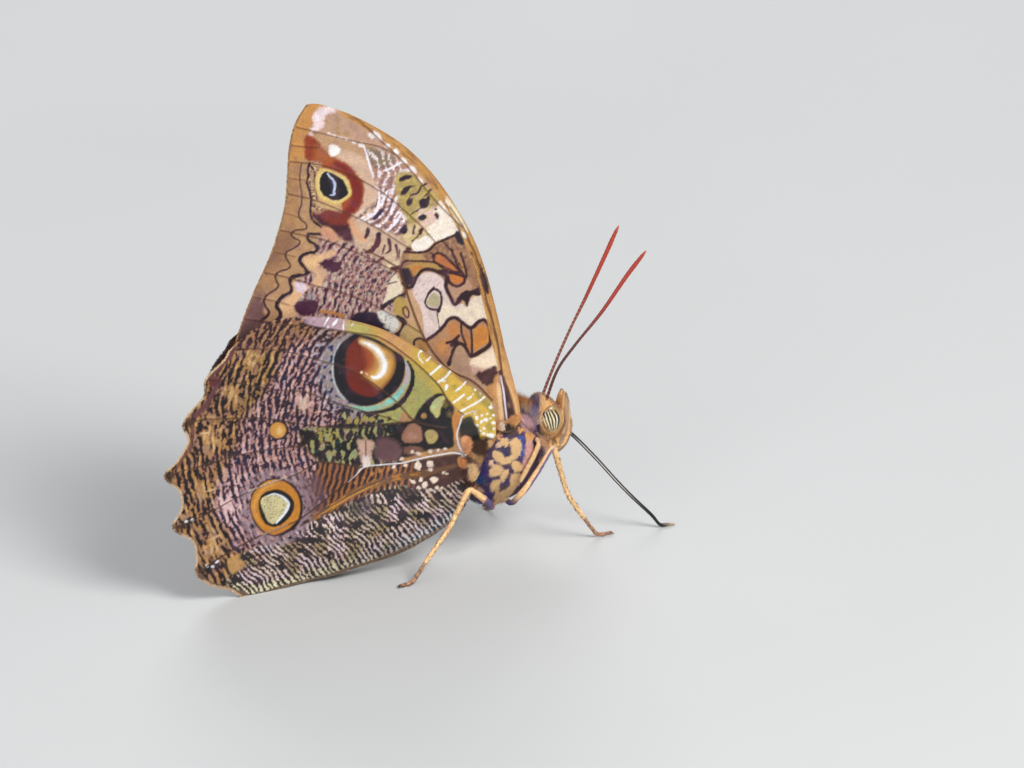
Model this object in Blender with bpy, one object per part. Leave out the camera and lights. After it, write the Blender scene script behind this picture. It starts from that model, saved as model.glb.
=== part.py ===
"""A brush-footed butterfly at rest with its wings closed over its back.

The insect faces +X and stands on the plane z = FLOOR. Its own middle plane is y = 0 while it
is modelled, and the right side, the one most often seen, faces -Y. Sizes below are millimetres
in that frame, with x = 0 beside the wing roots. The last step moves everything so that the
origin is the middle of the bounding box's underside.
"""

import math

import bmesh
import bpy
from mathutils import Vector
from mathutils.geometry import delaunay_2d_cdt

MM = 0.001
GAP = 0.3
FLOOR = -0.25

# Wings: how thick the membrane is, how high and wide its veins stand, and where the layers lie.
MEMBRANE = 0.5
VEIN_RISE = 0.18
VEIN_HALF_WIDTH = 0.4
FOREWING_OFF_MIDDLE = 0.15
LAYER_STEP = MEMBRANE + VEIN_RISE + GAP
VEIN_SPACING = 2.4
MARGIN_SPACING = 1.9
OPEN_GRID = 3.0
ROOT_GRID = 1.4
ROOT_ZONE = 7.0
# The grid that fills a wing covers this area, and keeps a share of its step off every line.
GRID_LEFT = -36.0
GRID_RIGHT = 4.0
GRID_TOP = 50.0
GRID_CLEARANCE = 0.38

# The wings part round the body: bulge height and reach at four places along its axis.
BODY_AXIS = [(1.4, 12.0), (-3.5, 8.2), (-10.0, 4.9), (-15.8, 3.1)]
BULGE_RISE = [2.0, 2.35, 2.4, 1.2]
BULGE_REACH = [9.0, 7.5, 6.0, 4.5]
FOREWING_HINGE = (0.5, 13.0)
HINDWING_HINGE = (-2.1, 10.9)
HINGE_DIP = 0.55
HINGE_DIP_REACH = 1.27
# Past the forewing's edge the hindwing turns in again, towards its twin.
COVER_BORDER = 0.8
TURN_IN = 5.5

# Body: centre in x and z, tilt, and half sizes along, across, above and below.
THORAX = dict(centre=(0.3, 8.8), tilt=math.radians(20), along=4.4, across=2.8,
              above=4.8, below=4.4, power=2.4)
HEAD = dict(centre=(5.05, 11.6), tilt=math.radians(10), along=1.4, across=1.45,
            above=2.2, below=2.2, power=2.2)
EYE = dict(centre=(5.2, 12.0), tilt=math.radians(10), along=1.05, across=0.65,
           above=1.45, below=1.45, power=2.0)
EYE_OUT = 1.3
ABDOMEN_ROUTE = [(-3.2, 7.0), (-6.5, 6.0), (-10.0, 4.9), (-13.0, 3.9), (-15.8, 3.1)]
ABDOMEN_GIRTH = [1.9, 2.0, 1.9, 1.5, 0.55]
ABDOMEN_SEGMENTS = 8
ABDOMEN_FLATTENING = 0.93
GROOVE = 0.92

LEG_SIDES = 8
FOOT = FLOOR + 0.22

# Outlines and veins of the wings, as x and z of the points that give each its shape.
FOREWING_FRONT = [(1.5, 12.9), (1.5, 14.4), (1.1, 17.5), (0.7, 20.0), (-0.3, 24.5), (-1.3, 28.3),
                  (-2.5, 31.6), (-4.4, 35.3), (-6.7, 38.9), (-9.7, 42.3), (-13.7, 45.4),
                  (-16.8, 47.2), (-18.2, 47.75)]
FOREWING_MARGIN = [(-19.0, 47.8), (-20.1, 46.1), (-20.7, 43.9), (-20.9, 40.9), (-21.2, 37.9),
                   (-22.5, 33.8), (-24.3, 30.1), (-25.6, 27.0), (-26.3, 24.6)]
FOREWING_REAR = [(-26.0, 23.7), (-23.0, 21.9), (-17.0, 18.8), (-11.0, 16.2), (-5.0, 13.9),
                 (-1.0, 12.6), (0.2, 12.3)]
FOREWING_VEINS = {
    "subcosta": [(0.1, 13.6), (0.2, 18.0), (-0.4, 22.4), (-1.7, 28.1), (-3.4, 32.2)],
    "radius": [(-0.3, 13.8), (-0.8, 18.5), (-2.3, 24.5), (-4.3, 30.2), (-5.7, 33.7),
               (-10.0, 41.0), (-13.0, 44.1)],
    "radial_fork": [(-10.0, 41.0), (-13.6, 43.0), (-17.5, 44.6), (-19.6, 45.5)],
    "media_1": [(-5.7, 33.7), (-8.9, 34.9), (-10.3, 36.5), (-14.4, 39.9), (-18.5, 41.9),
                (-20.2, 42.4)],
    "media_2": [(-8.0, 31.4), (-9.5, 32.1), (-13.3, 35.2), (-17.6, 37.9), (-20.4, 39.1)],
    "media_3": [(-9.7, 29.5), (-12.6, 31.2), (-17.2, 34.0), (-21.3, 35.7)],
    "cubitus": [(-0.6, 13.5), (-4.6, 18.5), (-7.4, 22.6), (-9.7, 29.5)],
    "cubitus_1": [(-7.7, 22.9), (-11.3, 25.8), (-18.5, 29.8), (-23.0, 31.7)],
    "cubitus_2": [(-5.4, 19.4), (-12.0, 22.2), (-19.0, 25.4), (-24.6, 27.9)],
    "anal": [(-1.4, 13.6), (-8.0, 16.4), (-16.0, 19.8), (-24.4, 24.0)],
    "cell_end": [(-5.7, 33.7), (-8.0, 31.4), (-9.7, 29.5)],
}
HINDWING_FRONT = [(-1.3, 13.3), (-1.4, 15.1), (-2.0, 16.1), (-4.8, 18.7), (-8.4, 21.9),
                  (-12.5, 24.8), (-17.9, 26.9), (-23.3, 27.4), (-26.5, 25.9)]
HINDWING_MARGIN = [(-27.6, 24.5), (-29.3, 22.7), (-29.4, 20.8), (-31.3, 18.5), (-30.8, 16.6),
                   (-31.9, 14.8), (-33.2, 13.5), (-31.7, 11.8), (-31.5, 9.9), (-32.4, 8.2),
                   (-30.4, 6.5), (-30.0, 4.7), (-30.1, 3.2), (-28.7, 1.8), (-26.7, 0.9)]
HINDWING_REST = [(-25.4, FLOOR)]
HINDWING_REAR = [(-23.9, FLOOR), (-21.8, 0.1), (-18.5, 0.3), (-14.8, 0.9), (-11.1, 1.6),
                 (-8.8, 2.5), (-6.7, 3.2), (-4.8, 4.4)]
HINDWING_ROOT = [(-3.8, 6.2), (-3.0, 8.7), (-2.4, 10.4), (-1.5, 11.7)]
HINDWING_VEINS = {
    "humeral": [(-2.2, 12.6), (-4.3, 14.1), (-5.2, 15.4), (-7.4, 19.1), (-10.0, 21.9),
                (-13.8, 24.7), (-17.6, 25.9)],
    "radial_sector": [(-2.2, 12.2), (-5.3, 13.6), (-9.1, 14.8), (-12.5, 19.1), (-16.9, 22.3),
                      (-22.0, 24.3), (-26.6, 25.0)],
    "media_1": [(-9.1, 14.8), (-14.8, 17.2), (-19.9, 19.5), (-25.8, 21.7), (-28.8, 22.4)],
    "media_2": [(-9.1, 14.8), (-13.7, 14.9), (-19.8, 16.8), (-27.5, 18.2), (-30.8, 18.5)],
    "cell_end": [(-18.9, 16.4), (-18.3, 15.3), (-19.3, 13.9)],
    "media_3": [(-19.3, 13.9), (-26.2, 14.3), (-29.8, 14.0), (-32.5, 13.6)],
    "cubitus": [(-2.8, 11.2), (-7.5, 11.1), (-13.4, 10.6), (-17.8, 12.0), (-19.3, 13.9)],
    "cubitus_1": [(-17.8, 12.0), (-22.4, 11.0), (-28.8, 9.2), (-31.7, 8.4)],
    "cubitus_2": [(-13.4, 10.6), (-16.0, 8.9), (-19.0, 6.7), (-23.6, 5.8), (-27.5, 4.6),
                  (-29.5, 3.7)],
    "anal": [(-3.2, 9.9), (-7.8, 7.8), (-13.6, 5.0), (-19.6, 2.5), (-24.8, 0.8)],
}

# Feelers and mouthparts, as x, y, z and radius along them. The left antenna leans forward more.
ANTENNA_RIGHT = [(4.9, -0.5, 12.9, 0.26), (5.08, -0.6, 13.9, 0.26), (5.96, -1.0, 16.7, 0.25),
                 (7.5, -1.5, 19.1, 0.25), (9.9, -2.0, 22.1, 0.27), (12.1, -2.5, 25.4, 0.34),
                 (13.3, -2.75, 27.0, 0.38), (13.9, -2.9, 27.8, 0.2)]
ANTENNA_LEFT = [(5.0, 0.5, 12.9, 0.26), (5.3, 0.6, 13.9, 0.26), (6.7, 0.95, 16.6, 0.25),
                (8.35, 1.35, 19.4, 0.25), (10.1, 1.8, 22.0, 0.27), (12.4, 2.45, 25.6, 0.34),
                (13.3, 2.75, 27.0, 0.38), (13.9, 2.9, 27.9, 0.2)]
PALP = [(4.9, -0.85, 9.9, 0.3), (5.4, -0.9, 8.95, 0.4), (6.3, -0.94, 9.0, 0.52),
        (6.95, -0.94, 10.0, 0.55), (7.15, -0.88, 11.3, 0.5), (7.1, -0.75, 12.6, 0.44),
        (6.98, -0.6, 13.9, 0.15)]
PALP_FLATTENING = 0.6
PROBOSCIS = [(5.6, 0.0, 10.4, 0.26), (6.6, 0.0, 10.1, 0.26), (7.6, -0.2, 9.6, 0.27),
             (9.7, -0.95, 7.1, 0.27), (11.3, -1.8, 4.95, 0.27), (12.7, -2.4, 3.2, 0.26),
             (14.5, -2.85, 1.15, 0.26), (15.3, -3.0, FOOT + 0.1, 0.25),
             (16.0, -3.1, FOOT, 0.25), (16.7, -3.2, FLOOR + 0.14, 0.16)]

# Legs, as x, y, z and radius at the root, the joints and the foot.
FORELEG = [(3.5, -0.9, 10.4, 0.25), (3.5, -2.35, 10.35, 0.26), (2.5, -2.95, 9.2, 0.27),
           (1.5, -3.15, 7.8, 0.25), (1.15, -3.2, 7.3, 0.14)]
MIDLEG_RIGHT = [(0.2, -0.9, 5.4, 0.42), (0.55, -2.45, 4.75, 0.42), (1.7, -3.15, 6.4, 0.42),
                (3.0, -3.3, 8.2, 0.4), (4.6, -2.9, 10.1, 0.36), (6.1, -2.7, 4.85, 0.28),
                (7.85, -2.6, 2.0, 0.25), (9.2, -2.5, FOOT, 0.25),
                (10.6, -2.5, FOOT, 0.2)]
MIDLEG_LEFT = [(0.2, -0.9, 5.4, 0.42), (0.6, -2.45, 4.8, 0.42), (2.4, -4.9, 7.9, 0.38),
               (2.9, -5.8, 4.3, 0.28), (2.8, -6.3, 1.9, 0.25), (2.7, -6.8, FOOT, 0.25),
               (2.6, -7.7, FOOT, 0.2)]
HINDLEG = [(-1.0, -0.9, 5.4, 0.42), (-1.4, -2.6, 4.9, 0.42), (-2.6, -3.75, 6.4, 0.4),
           (-4.4, -4.1, 8.1, 0.36), (-6.5, -4.15, 4.35, 0.29), (-9.0, -4.4, 1.6, 0.25),
           (-10.3, -4.6, FOOT, 0.25), (-11.6, -4.7, FOOT, 0.2)]
KNEE_ROUNDING = 0.55

COLOURS = {
    "forewing": (0.42, 0.27, 0.18), "hindwing": (0.36, 0.25, 0.16), "thorax": (0.3, 0.2, 0.26),
    "abdomen": (0.42, 0.31, 0.2), "head": (0.55, 0.36, 0.2), "eye": (0.09, 0.1, 0.04),
    "palp": (0.6, 0.4, 0.22), "antenna": (0.27, 0.05, 0.02), "proboscis": (0.03, 0.02, 0.015),
    "leg": (0.6, 0.42, 0.24),
}


def clear_scene():
    for old in list(bpy.data.objects):
        bpy.data.objects.remove(old, do_unlink=True)


def material(name):
    """One plain finish, shared by every piece of the same kind."""
    if name in bpy.data.materials:
        return bpy.data.materials[name]
    finish = bpy.data.materials.new(name)
    finish.use_nodes = True
    shader = finish.node_tree.nodes["Principled BSDF"]
    shader.inputs["Base Color"].default_value = (*COLOURS[name], 1.0)
    shader.inputs["Roughness"].default_value = 0.2 if name == "eye" else 0.6
    return finish


def face_outwards(shell):
    """Turn all faces of a closed surface outwards."""
    bmesh.ops.recalc_face_normals(shell, faces=shell.faces)
    if shell.calc_volume(signed=True) < 0:
        bmesh.ops.reverse_faces(shell, faces=shell.faces)


def solid(name, points, faces, finish):
    """A mesh object from points in millimetres, closed and with its faces turned outwards."""
    mesh = bpy.data.meshes.new(name)
    mesh.from_pydata([Vector(p) * MM for p in points], [], faces)
    shell = bmesh.new()
    shell.from_mesh(mesh)
    face_outwards(shell)
    shell.to_mesh(mesh)
    shell.free()
    mesh.materials.append(material(finish))
    piece = bpy.data.objects.new(name, mesh)
    bpy.context.scene.collection.objects.link(piece)
    return piece


def curve_through(knots, spacing):
    """Points about one spacing apart on a smooth curve through the knots."""
    path = [Vector(k) for k in knots]
    ends = [2 * path[0] - path[1]] + path + [2 * path[-1] - path[-2]]
    found = []
    for before, start, stop, after in zip(ends, ends[1:], ends[2:], ends[3:]):
        steps = max(1, round((stop - start).length / spacing))
        for step in range(steps):
            t = step / steps
            found.append(0.5 * (2 * start + (stop - before) * t
                                + (2 * before - 5 * start + 4 * stop - after) * t ** 2
                                + (3 * start - before - 3 * stop + after) * t ** 3))
    return found + [path[-1]]


def mirrored(knots):
    """The same route on the other side of the middle plane."""
    return [(x, -y, z, size) for x, y, z, size in knots]


def egg_point(egg, swell, lean, turn):
    """A point of a body form: lean runs from its front pole to its rear, turn goes round it."""
    ahead = math.cos(lean)
    aside = math.sin(lean) * math.cos(turn)
    up = math.sin(lean) * math.sin(turn)
    power = egg["power"]
    scale = (abs(ahead) ** power + abs(aside) ** power + abs(up) ** power) ** (-1 / power)
    height = egg["above"] if up > 0 else egg["below"]
    ahead *= scale * (egg["along"] + swell)
    up *= scale * (height + swell)
    aside *= scale * (egg["across"] + swell)
    tilt = egg["tilt"]
    x = egg["centre"][0] + ahead * math.cos(tilt) - up * math.sin(tilt)
    z = egg["centre"][1] + ahead * math.sin(tilt) + up * math.cos(tilt)
    return (x, aside, z)


def egg_solid(name, egg, finish, aside=0.0, swell=0.0, rings=12, sides=20):
    """A closed body form, such as a head, an eye or a thorax."""
    points = [egg_point(egg, swell, 0.0, 0.0)]
    for ring in range(1, rings):
        lean = math.pi * ring / rings
        points += [egg_point(egg, swell, lean, 2 * math.pi * side / sides)
                   for side in range(sides)]
    points.append(egg_point(egg, swell, math.pi, 0.0))
    points = [(x, y + aside, z) for x, y, z in points]
    last = len(points) - 1
    faces = []
    for side in range(sides):
        beside = (side + 1) % sides
        faces.append((0, 1 + side, 1 + beside))
        for ring in range(rings - 2):
            here = 1 + ring * sides
            there = here + sides
            faces.append((here + side, there + side, there + beside, here + beside))
        faces.append((last, last - sides + beside, last - sides + side))
    return solid(name, points, faces, finish)


def half_width(egg, x, z):
    """How far a body form reaches from the middle plane, beside the point x, z."""
    ahead = x - egg["centre"][0]
    up = z - egg["centre"][1]
    along = (ahead * math.cos(egg["tilt"]) + up * math.sin(egg["tilt"])) / egg["along"]
    rise = up * math.cos(egg["tilt"]) - ahead * math.sin(egg["tilt"])
    rise /= egg["above"] if rise > 0 else egg["below"]
    left = 1 - abs(along) ** egg["power"] - abs(rise) ** egg["power"]
    return egg["across"] * max(left, 0.0) ** (1 / egg["power"])


def rounded_route(knots, rounding):
    """Stations along a jointed route, with each joint rounded off."""
    stations = [Vector(knots[0])]
    for before, joint, after in zip(knots, knots[1:], knots[2:]):
        before, joint, after = Vector(before), Vector(joint), Vector(after)
        back = min(rounding / (before - joint).length, 0.45)
        ahead = min(rounding / (after - joint).length, 0.45)
        entry = joint.lerp(before, back)
        leave = joint.lerp(after, ahead)
        stations += [entry, (entry + 2 * joint + leave) / 4, leave]
    return stations + [Vector(knots[-1])]


def tube(name, stations, finish, sides=LEG_SIDES, flattening=1.0):
    """A closed limb along stations of x, y, z and radius, thinner from side to side if asked.

    Nothing of it reaches under the floor, so a foot gets a small flat there.
    """
    centres = [Vector(s[:3]) for s in stations]
    across = Vector((0, 1, 0))
    points = []
    for place, centre in enumerate(centres):
        ahead = centres[min(place + 1, len(centres) - 1)]
        behind = centres[max(place - 1, 0)]
        along = (ahead - behind).normalized()
        across = (across - along * across.dot(along)).normalized()
        up = along.cross(across)
        for side in range(sides):
            turn = 2 * math.pi * (side + 0.5) / sides
            reach = stations[place][3]
            point = centre + across * (reach * flattening * math.cos(turn))
            point += up * (reach * math.sin(turn))
            point.z = max(point.z, FLOOR)
            points.append(point)
    faces = [tuple(range(sides)), tuple(range(len(points) - sides, len(points)))]
    for ring in range(len(centres) - 1):
        for side in range(sides):
            here = ring * sides
            beside = (side + 1) % sides
            faces.append((here + side, here + beside, here + sides + beside,
                          here + sides + side))
    return solid(name, points, faces, finish)


def keep_largest(piece):
    """Leave only the largest closed surface of a piece."""
    shell = bmesh.new()
    shell.from_mesh(piece.data)
    unseen = set(shell.faces)
    groups = []
    while unseen:
        front = [unseen.pop()]
        group = list(front)
        while front:
            for edge in front.pop().edges:
                for face in edge.link_faces:
                    if face in unseen:
                        unseen.remove(face)
                        front.append(face)
                        group.append(face)
        groups.append(group)
    groups.sort(key=lambda group: sum(face.calc_area() for face in group))
    for group in groups[:-1]:
        bmesh.ops.delete(shell, geom=group, context="FACES")
    face_outwards(shell)
    shell.to_mesh(piece.data)
    shell.free()


def cut_clear(piece, *forms, gap=GAP):
    """Cut a piece back so that it ends one gap away from each body form that it grows from."""
    for egg, aside in forms:
        cutter = egg_solid("cutter", egg, "head", aside=aside, swell=gap)
        cutter.hide_render = True
        cutter.display_type = "WIRE"
        cut = piece.modifiers.new("clearance", "BOOLEAN")
        cut.operation = "DIFFERENCE"
        cut.solver = "EXACT"
        cut.object = cutter
        bpy.context.view_layer.update()
        graph = bpy.context.evaluated_depsgraph_get()
        trimmed = bpy.data.meshes.new_from_object(piece.evaluated_get(graph))
        piece.modifiers.clear()
        piece.data = trimmed
        bpy.data.objects.remove(cutter, do_unlink=True)
    keep_largest(piece)
    return piece


def distance_to(path, x, z):
    """The distance from a point to a run of straight pieces, and where along it that is."""
    best = (1e9, 0, 0.0)
    for place in range(len(path) - 1):
        ax, az = path[place][0], path[place][1]
        bx, bz = path[place + 1][0] - ax, path[place + 1][1] - az
        share = ((x - ax) * bx + (z - az) * bz) / max(bx * bx + bz * bz, 1e-12)
        share = min(max(share, 0.0), 1.0)
        away = math.hypot(x - ax - share * bx, z - az - share * bz)
        if away < best[0]:
            best = (away, place, share)
    return best


def bulge(x, z):
    """How far the closed wings are pushed out by the body between them."""
    away, place, share = distance_to(BODY_AXIS, x, z)
    rise = BULGE_RISE[place] * (1 - share) + BULGE_RISE[place + 1] * share
    reach = BULGE_REACH[place] * (1 - share) + BULGE_REACH[place + 1] * share
    return rise * (1 - min(away / reach, 1.0) ** 2) ** 2


def clear_of_thorax(x, z):
    """The nearest that a wing may lie to the middle plane beside the thorax."""
    flank = half_width(THORAX, x, z)
    return flank + GAP if flank > 0 else 0.0


def forewing_inner(x, z):
    """Distance of the forewing's inner face from the middle plane."""
    return max(FOREWING_OFF_MIDDLE + bulge(x, z), clear_of_thorax(x, z))


def hindwing_inner(x, z):
    """The hindwing lies outside the forewing, and dips to the thorax at its own hinge."""
    share = min(max((past_forewing(x, z) - COVER_BORDER) / TURN_IN, 0.0), 1.0)
    layer = LAYER_STEP * (1 - share * share * (3 - 2 * share))
    outside = FOREWING_OFF_MIDDLE + bulge(x, z) + layer
    away = math.hypot(x - HINDWING_HINGE[0], z - HINDWING_HINGE[1])
    outside -= HINGE_DIP * math.exp(-(away / HINGE_DIP_REACH) ** 2)
    return max(outside, clear_of_thorax(x, z))


def inside(outline, x, z):
    """Whether a point lies inside a closed outline."""
    hit = False
    for (ax, az), (bx, bz) in zip(outline, outline[1:] + outline[:1]):
        if (az > z) != (bz > z) and x < (bx - ax) * (z - az) / (bz - az) + ax:
            hit = not hit
    return hit


def outline_through(*runs):
    """One closed outline of smooth runs, with a corner where one run ends and the next starts."""
    outline = []
    for run, following in zip(runs, runs[1:] + runs[:1]):
        outline += curve_through(list(run) + [following[0]], MARGIN_SPACING)[:-1]
    return [tuple(point) for point in outline]


FOREWING_OUTLINE = outline_through(FOREWING_FRONT, FOREWING_MARGIN, FOREWING_REAR)
HINDWING_OUTLINE = outline_through(HINDWING_FRONT, HINDWING_MARGIN, HINDWING_REST,
                                   HINDWING_REAR, HINDWING_ROOT)


def past_forewing(x, z):
    """How far a point is outside the forewing's outline, or 0 where the forewing covers it."""
    if inside(FOREWING_OUTLINE, x, z):
        return 0.0
    return distance_to(FOREWING_OUTLINE + FOREWING_OUTLINE[:1], x, z)[0]


def vein_lines(centre_line):
    """A vein as three lines side by side, which meet at its ends."""
    lines = [[], list(centre_line), []]
    last = len(centre_line) - 1
    for place, point in enumerate(centre_line):
        along = centre_line[min(place + 1, last)] - centre_line[max(place - 1, 0)]
        aside = Vector((-along.y, along.x)).normalized() * VEIN_HALF_WIDTH
        if place in (0, last):
            aside *= 0
        lines[0].append(point + aside)
        lines[2].append(point - aside)
    return lines


def wing_net(outline, veins, hinge):
    """Triangles that fill a wing's outline, with edges along its veins."""
    points = [Vector(p) for p in outline]
    rim = list(range(len(points)))
    edges = []
    centre_lines = [curve_through(knots, VEIN_SPACING) for knots in veins.values()]
    for centre_line in centre_lines:
        for line in vein_lines(centre_line):
            first = len(points)
            points += line
            edges += [(first + n, first + n + 1) for n in range(len(line) - 1)]
    closed = outline + outline[:1]
    for grid, near, far in ((OPEN_GRID, ROOT_ZONE, 1e3), (ROOT_GRID, 0.0, ROOT_ZONE)):
        clearance = GRID_CLEARANCE * grid
        for row in range(int(GRID_TOP / grid)):
            for column in range(int(GRID_LEFT / grid), int(GRID_RIGHT / grid)):
                x = (column + 0.5 * (row % 2)) * grid
                z = row * grid
                if not near <= math.hypot(x - hinge[0], z - hinge[1]) < far:
                    continue
                if not inside(outline, x, z) or distance_to(closed, x, z)[0] < clearance:
                    continue
                if min(distance_to(v, x, z)[0] for v in centre_lines) < clearance + VEIN_HALF_WIDTH:
                    continue
                points.append(Vector((x, z)))
    made = delaunay_2d_cdt(points, edges, [rim], 1, 1e-4)
    return [(p.x, p.y) for p in made[0]], made[2], centre_lines


def wing(name, outline, veins, inner, hinge, side, finish):
    """A thin wing: one net of triangles on both faces, with its veins raised on the outer."""
    flat, triangles, centre_lines = wing_net(outline, veins, hinge)
    count = len(flat)
    near = []
    far = []
    for x, z in flat:
        depth = inner(x, z)
        off_vein = min(distance_to(line, x, z)[0] for line in centre_lines)
        rise = VEIN_RISE * max(0.0, 1 - off_vein / VEIN_HALF_WIDTH)
        near.append((x, side * depth, z))
        far.append((x, side * (depth + MEMBRANE + rise), z))
    faces = [tuple(t) for t in triangles]
    faces += [tuple(count + n for n in reversed(t)) for t in triangles]
    used = {}
    for a, b, c in triangles:
        for edge in ((a, b), (b, c), (c, a)):
            key = tuple(sorted(edge))
            used[key] = None if key in used else edge
    for edge in used.values():
        if edge:
            a, b = edge
            faces.append((b, a, a + count))
            faces.append((b, a + count, b + count))
    return solid(name, near + far, faces, finish)


def make_wings():
    for name, side in (("right", -1), ("left", 1)):
        wing("forewing_" + name, FOREWING_OUTLINE, FOREWING_VEINS, forewing_inner,
             FOREWING_HINGE, side, "forewing")
        wing("hindwing_" + name, HINDWING_OUTLINE, HINDWING_VEINS, hindwing_inner,
             HINDWING_HINGE, side, "hindwing")


def make_abdomen():
    """A tapering body of ringed segments, with a shallow groove between each and the next."""
    knots = [(x, 0.0, z, girth) for (x, z), girth in zip(ABDOMEN_ROUTE, ABDOMEN_GIRTH)]
    smooth = curve_through(knots, 0.1)
    stations = []
    for segment in range(ABDOMEN_SEGMENTS):
        for share, girth in ((0.0, GROOVE), (0.25, 1.0), (0.8, 1.0)):
            place = (segment + share) / ABDOMEN_SEGMENTS
            station = smooth[round(place * (len(smooth) - 1))].copy()
            station[3] *= girth
            stations.append(station)
    tip = smooth[-1].copy()
    tip[3] *= 0.5
    stations.append(tip)
    piece = tube("abdomen", stations, "abdomen", sides=16, flattening=ABDOMEN_FLATTENING)
    return cut_clear(piece, (THORAX, 0.0))


def make_head():
    head = egg_solid("head", HEAD, "head", rings=12, sides=18)
    cut_clear(head, (EYE, EYE_OUT), (EYE, -EYE_OUT))
    thorax = egg_solid("thorax", THORAX, "thorax", rings=14, sides=22)
    cut_clear(thorax, (HEAD, 0.0))
    for name, side in (("right", -1), ("left", 1)):
        egg_solid("eye_" + name, EYE, "eye", aside=side * EYE_OUT, rings=10, sides=16)
        antenna = ANTENNA_RIGHT if side < 0 else ANTENNA_LEFT
        feeler = tube("antenna_" + name, curve_through(antenna, 1.5), "antenna")
        cut_clear(feeler, (HEAD, 0.0))
        palp = PALP if side < 0 else mirrored(PALP)
        feeler = tube("palp_" + name, curve_through(palp, 0.7), "palp",
                      flattening=PALP_FLATTENING)
        cut_clear(feeler, (HEAD, 0.0), (THORAX, 0.0))
    tongue = tube("proboscis", curve_through(PROBOSCIS, 1.2), "proboscis")
    cut_clear(tongue, (HEAD, 0.0))


def make_legs():
    legs = {
        "foreleg_right": FORELEG, "foreleg_left": mirrored(FORELEG),
        "midleg_right": MIDLEG_RIGHT, "midleg_left": mirrored(MIDLEG_LEFT),
        "hindleg_right": HINDLEG, "hindleg_left": mirrored(HINDLEG),
    }
    for name, route in legs.items():
        leg = tube(name, rounded_route(route, KNEE_ROUNDING), "leg")
        cut_clear(leg, (THORAX, 0.0), (HEAD, 0.0))


def stand_on_origin():
    """Move the whole insect so that the origin is under the middle of its bounding box."""
    places = [v.co for piece in bpy.data.objects for v in piece.data.vertices]
    middle_x = (min(p.x for p in places) + max(p.x for p in places)) / 2
    middle_y = (min(p.y for p in places) + max(p.y for p in places)) / 2
    floor = min(p.z for p in places)
    for piece in bpy.data.objects:
        for vertex in piece.data.vertices:
            vertex.co -= Vector((middle_x, middle_y, floor))
        piece.data.update()


def main():
    clear_scene()
    make_head()
    make_abdomen()
    make_wings()
    make_legs()
    stand_on_origin()


main()
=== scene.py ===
# %% [markdown]
# A resting brush-footed butterfly, life size, with its wings closed over its back. The packed
# CAD model gives its size and its solids. Here each visible part gets the surface of the real
# insect: wings as thin as a membrane with the markings of their undersides, a furry body, banded
# eyes, ringed feelers and scaly legs. Lengths are millimetres in the frame in which the solids
# were modelled: x ahead of the wing roots, y = 0 in the middle, z up from near the floor.

import math

import bmesh
import bpy
import numpy as np
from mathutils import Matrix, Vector


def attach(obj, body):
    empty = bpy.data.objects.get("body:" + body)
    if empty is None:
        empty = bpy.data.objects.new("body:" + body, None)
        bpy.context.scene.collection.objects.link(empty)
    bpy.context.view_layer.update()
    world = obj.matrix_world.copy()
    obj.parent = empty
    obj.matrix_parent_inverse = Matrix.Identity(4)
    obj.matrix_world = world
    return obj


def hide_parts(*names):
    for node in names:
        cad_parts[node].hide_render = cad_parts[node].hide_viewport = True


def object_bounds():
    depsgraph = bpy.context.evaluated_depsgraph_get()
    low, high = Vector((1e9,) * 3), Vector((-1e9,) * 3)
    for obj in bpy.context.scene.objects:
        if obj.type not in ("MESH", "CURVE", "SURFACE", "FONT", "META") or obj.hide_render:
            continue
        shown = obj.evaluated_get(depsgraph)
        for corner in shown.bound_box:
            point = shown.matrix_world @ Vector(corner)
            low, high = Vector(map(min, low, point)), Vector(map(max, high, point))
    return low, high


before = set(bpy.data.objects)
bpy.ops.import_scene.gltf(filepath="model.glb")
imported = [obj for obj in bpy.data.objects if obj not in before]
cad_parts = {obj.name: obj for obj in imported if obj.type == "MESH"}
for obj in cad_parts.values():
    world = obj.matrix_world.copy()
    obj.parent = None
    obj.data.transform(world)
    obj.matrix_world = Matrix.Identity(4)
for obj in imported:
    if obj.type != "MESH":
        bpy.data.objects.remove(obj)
cad_low, cad_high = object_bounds()
print("solids, mm:", [round((b - a) * 1000, 1) for a, b in zip(cad_low, cad_high)])

MM = 0.001
TO_FRAME = np.array([8.23635825, -1.41113622, 0.25])
FLOOR = -0.25


def metres(places):
    """Places in modelling millimetres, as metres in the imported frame, within the solids' box."""
    return np.clip((np.asarray(places, float) + TO_FRAME) * MM, cad_low, cad_high)


# %% [markdown]
# The markings are drawn on a chart of the right side: a flat sheet with 11 units to a millimetre,
# u to the right and v down, on which the insect is seen a little from ahead and above. Every
# point of wing, skin, hair or leg looks up its own place on the chart, so that a pattern runs on
# from one piece to the next. It could be a painted image instead, but functions stay sharp at
# any size and need no picture file.

# %% The marking chart
CHART_ORIGIN = (493.96, 543.1)
CHART_SCALE = 11.0
CHART_ACROSS = (0.9063, -0.4226, 0.0)
CHART_UP = (0.1786, 0.3830, 0.9063)


def chart(x, y, z):
    """The chart place of points on the right side; the left side is its mirror image."""
    side = -np.abs(y)
    u = CHART_ORIGIN[0] + CHART_SCALE * (CHART_ACROSS[0] * x + CHART_ACROSS[1] * side)
    v = CHART_ORIGIN[1] - CHART_SCALE * (CHART_UP[0] * x + CHART_UP[1] * side + CHART_UP[2] * z)
    return u, v


# %% [markdown]
# Three small helpers serve every marking: a screen colour turned into light, smooth noise, and a
# soft step. Scales never lie evenly, so nearly every edge and field is shaken by the noise.

# %% Colour, noise and steps
def linear(code):
    """A colour from its six-figure screen code to the light values that a shader works in."""
    screen = np.array([int(code[n:n + 2], 16) / 255 for n in (0, 2, 4)])
    return np.where(screen <= 0.04045, screen / 12.92, ((screen + 0.055) / 1.055) ** 2.4)


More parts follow.
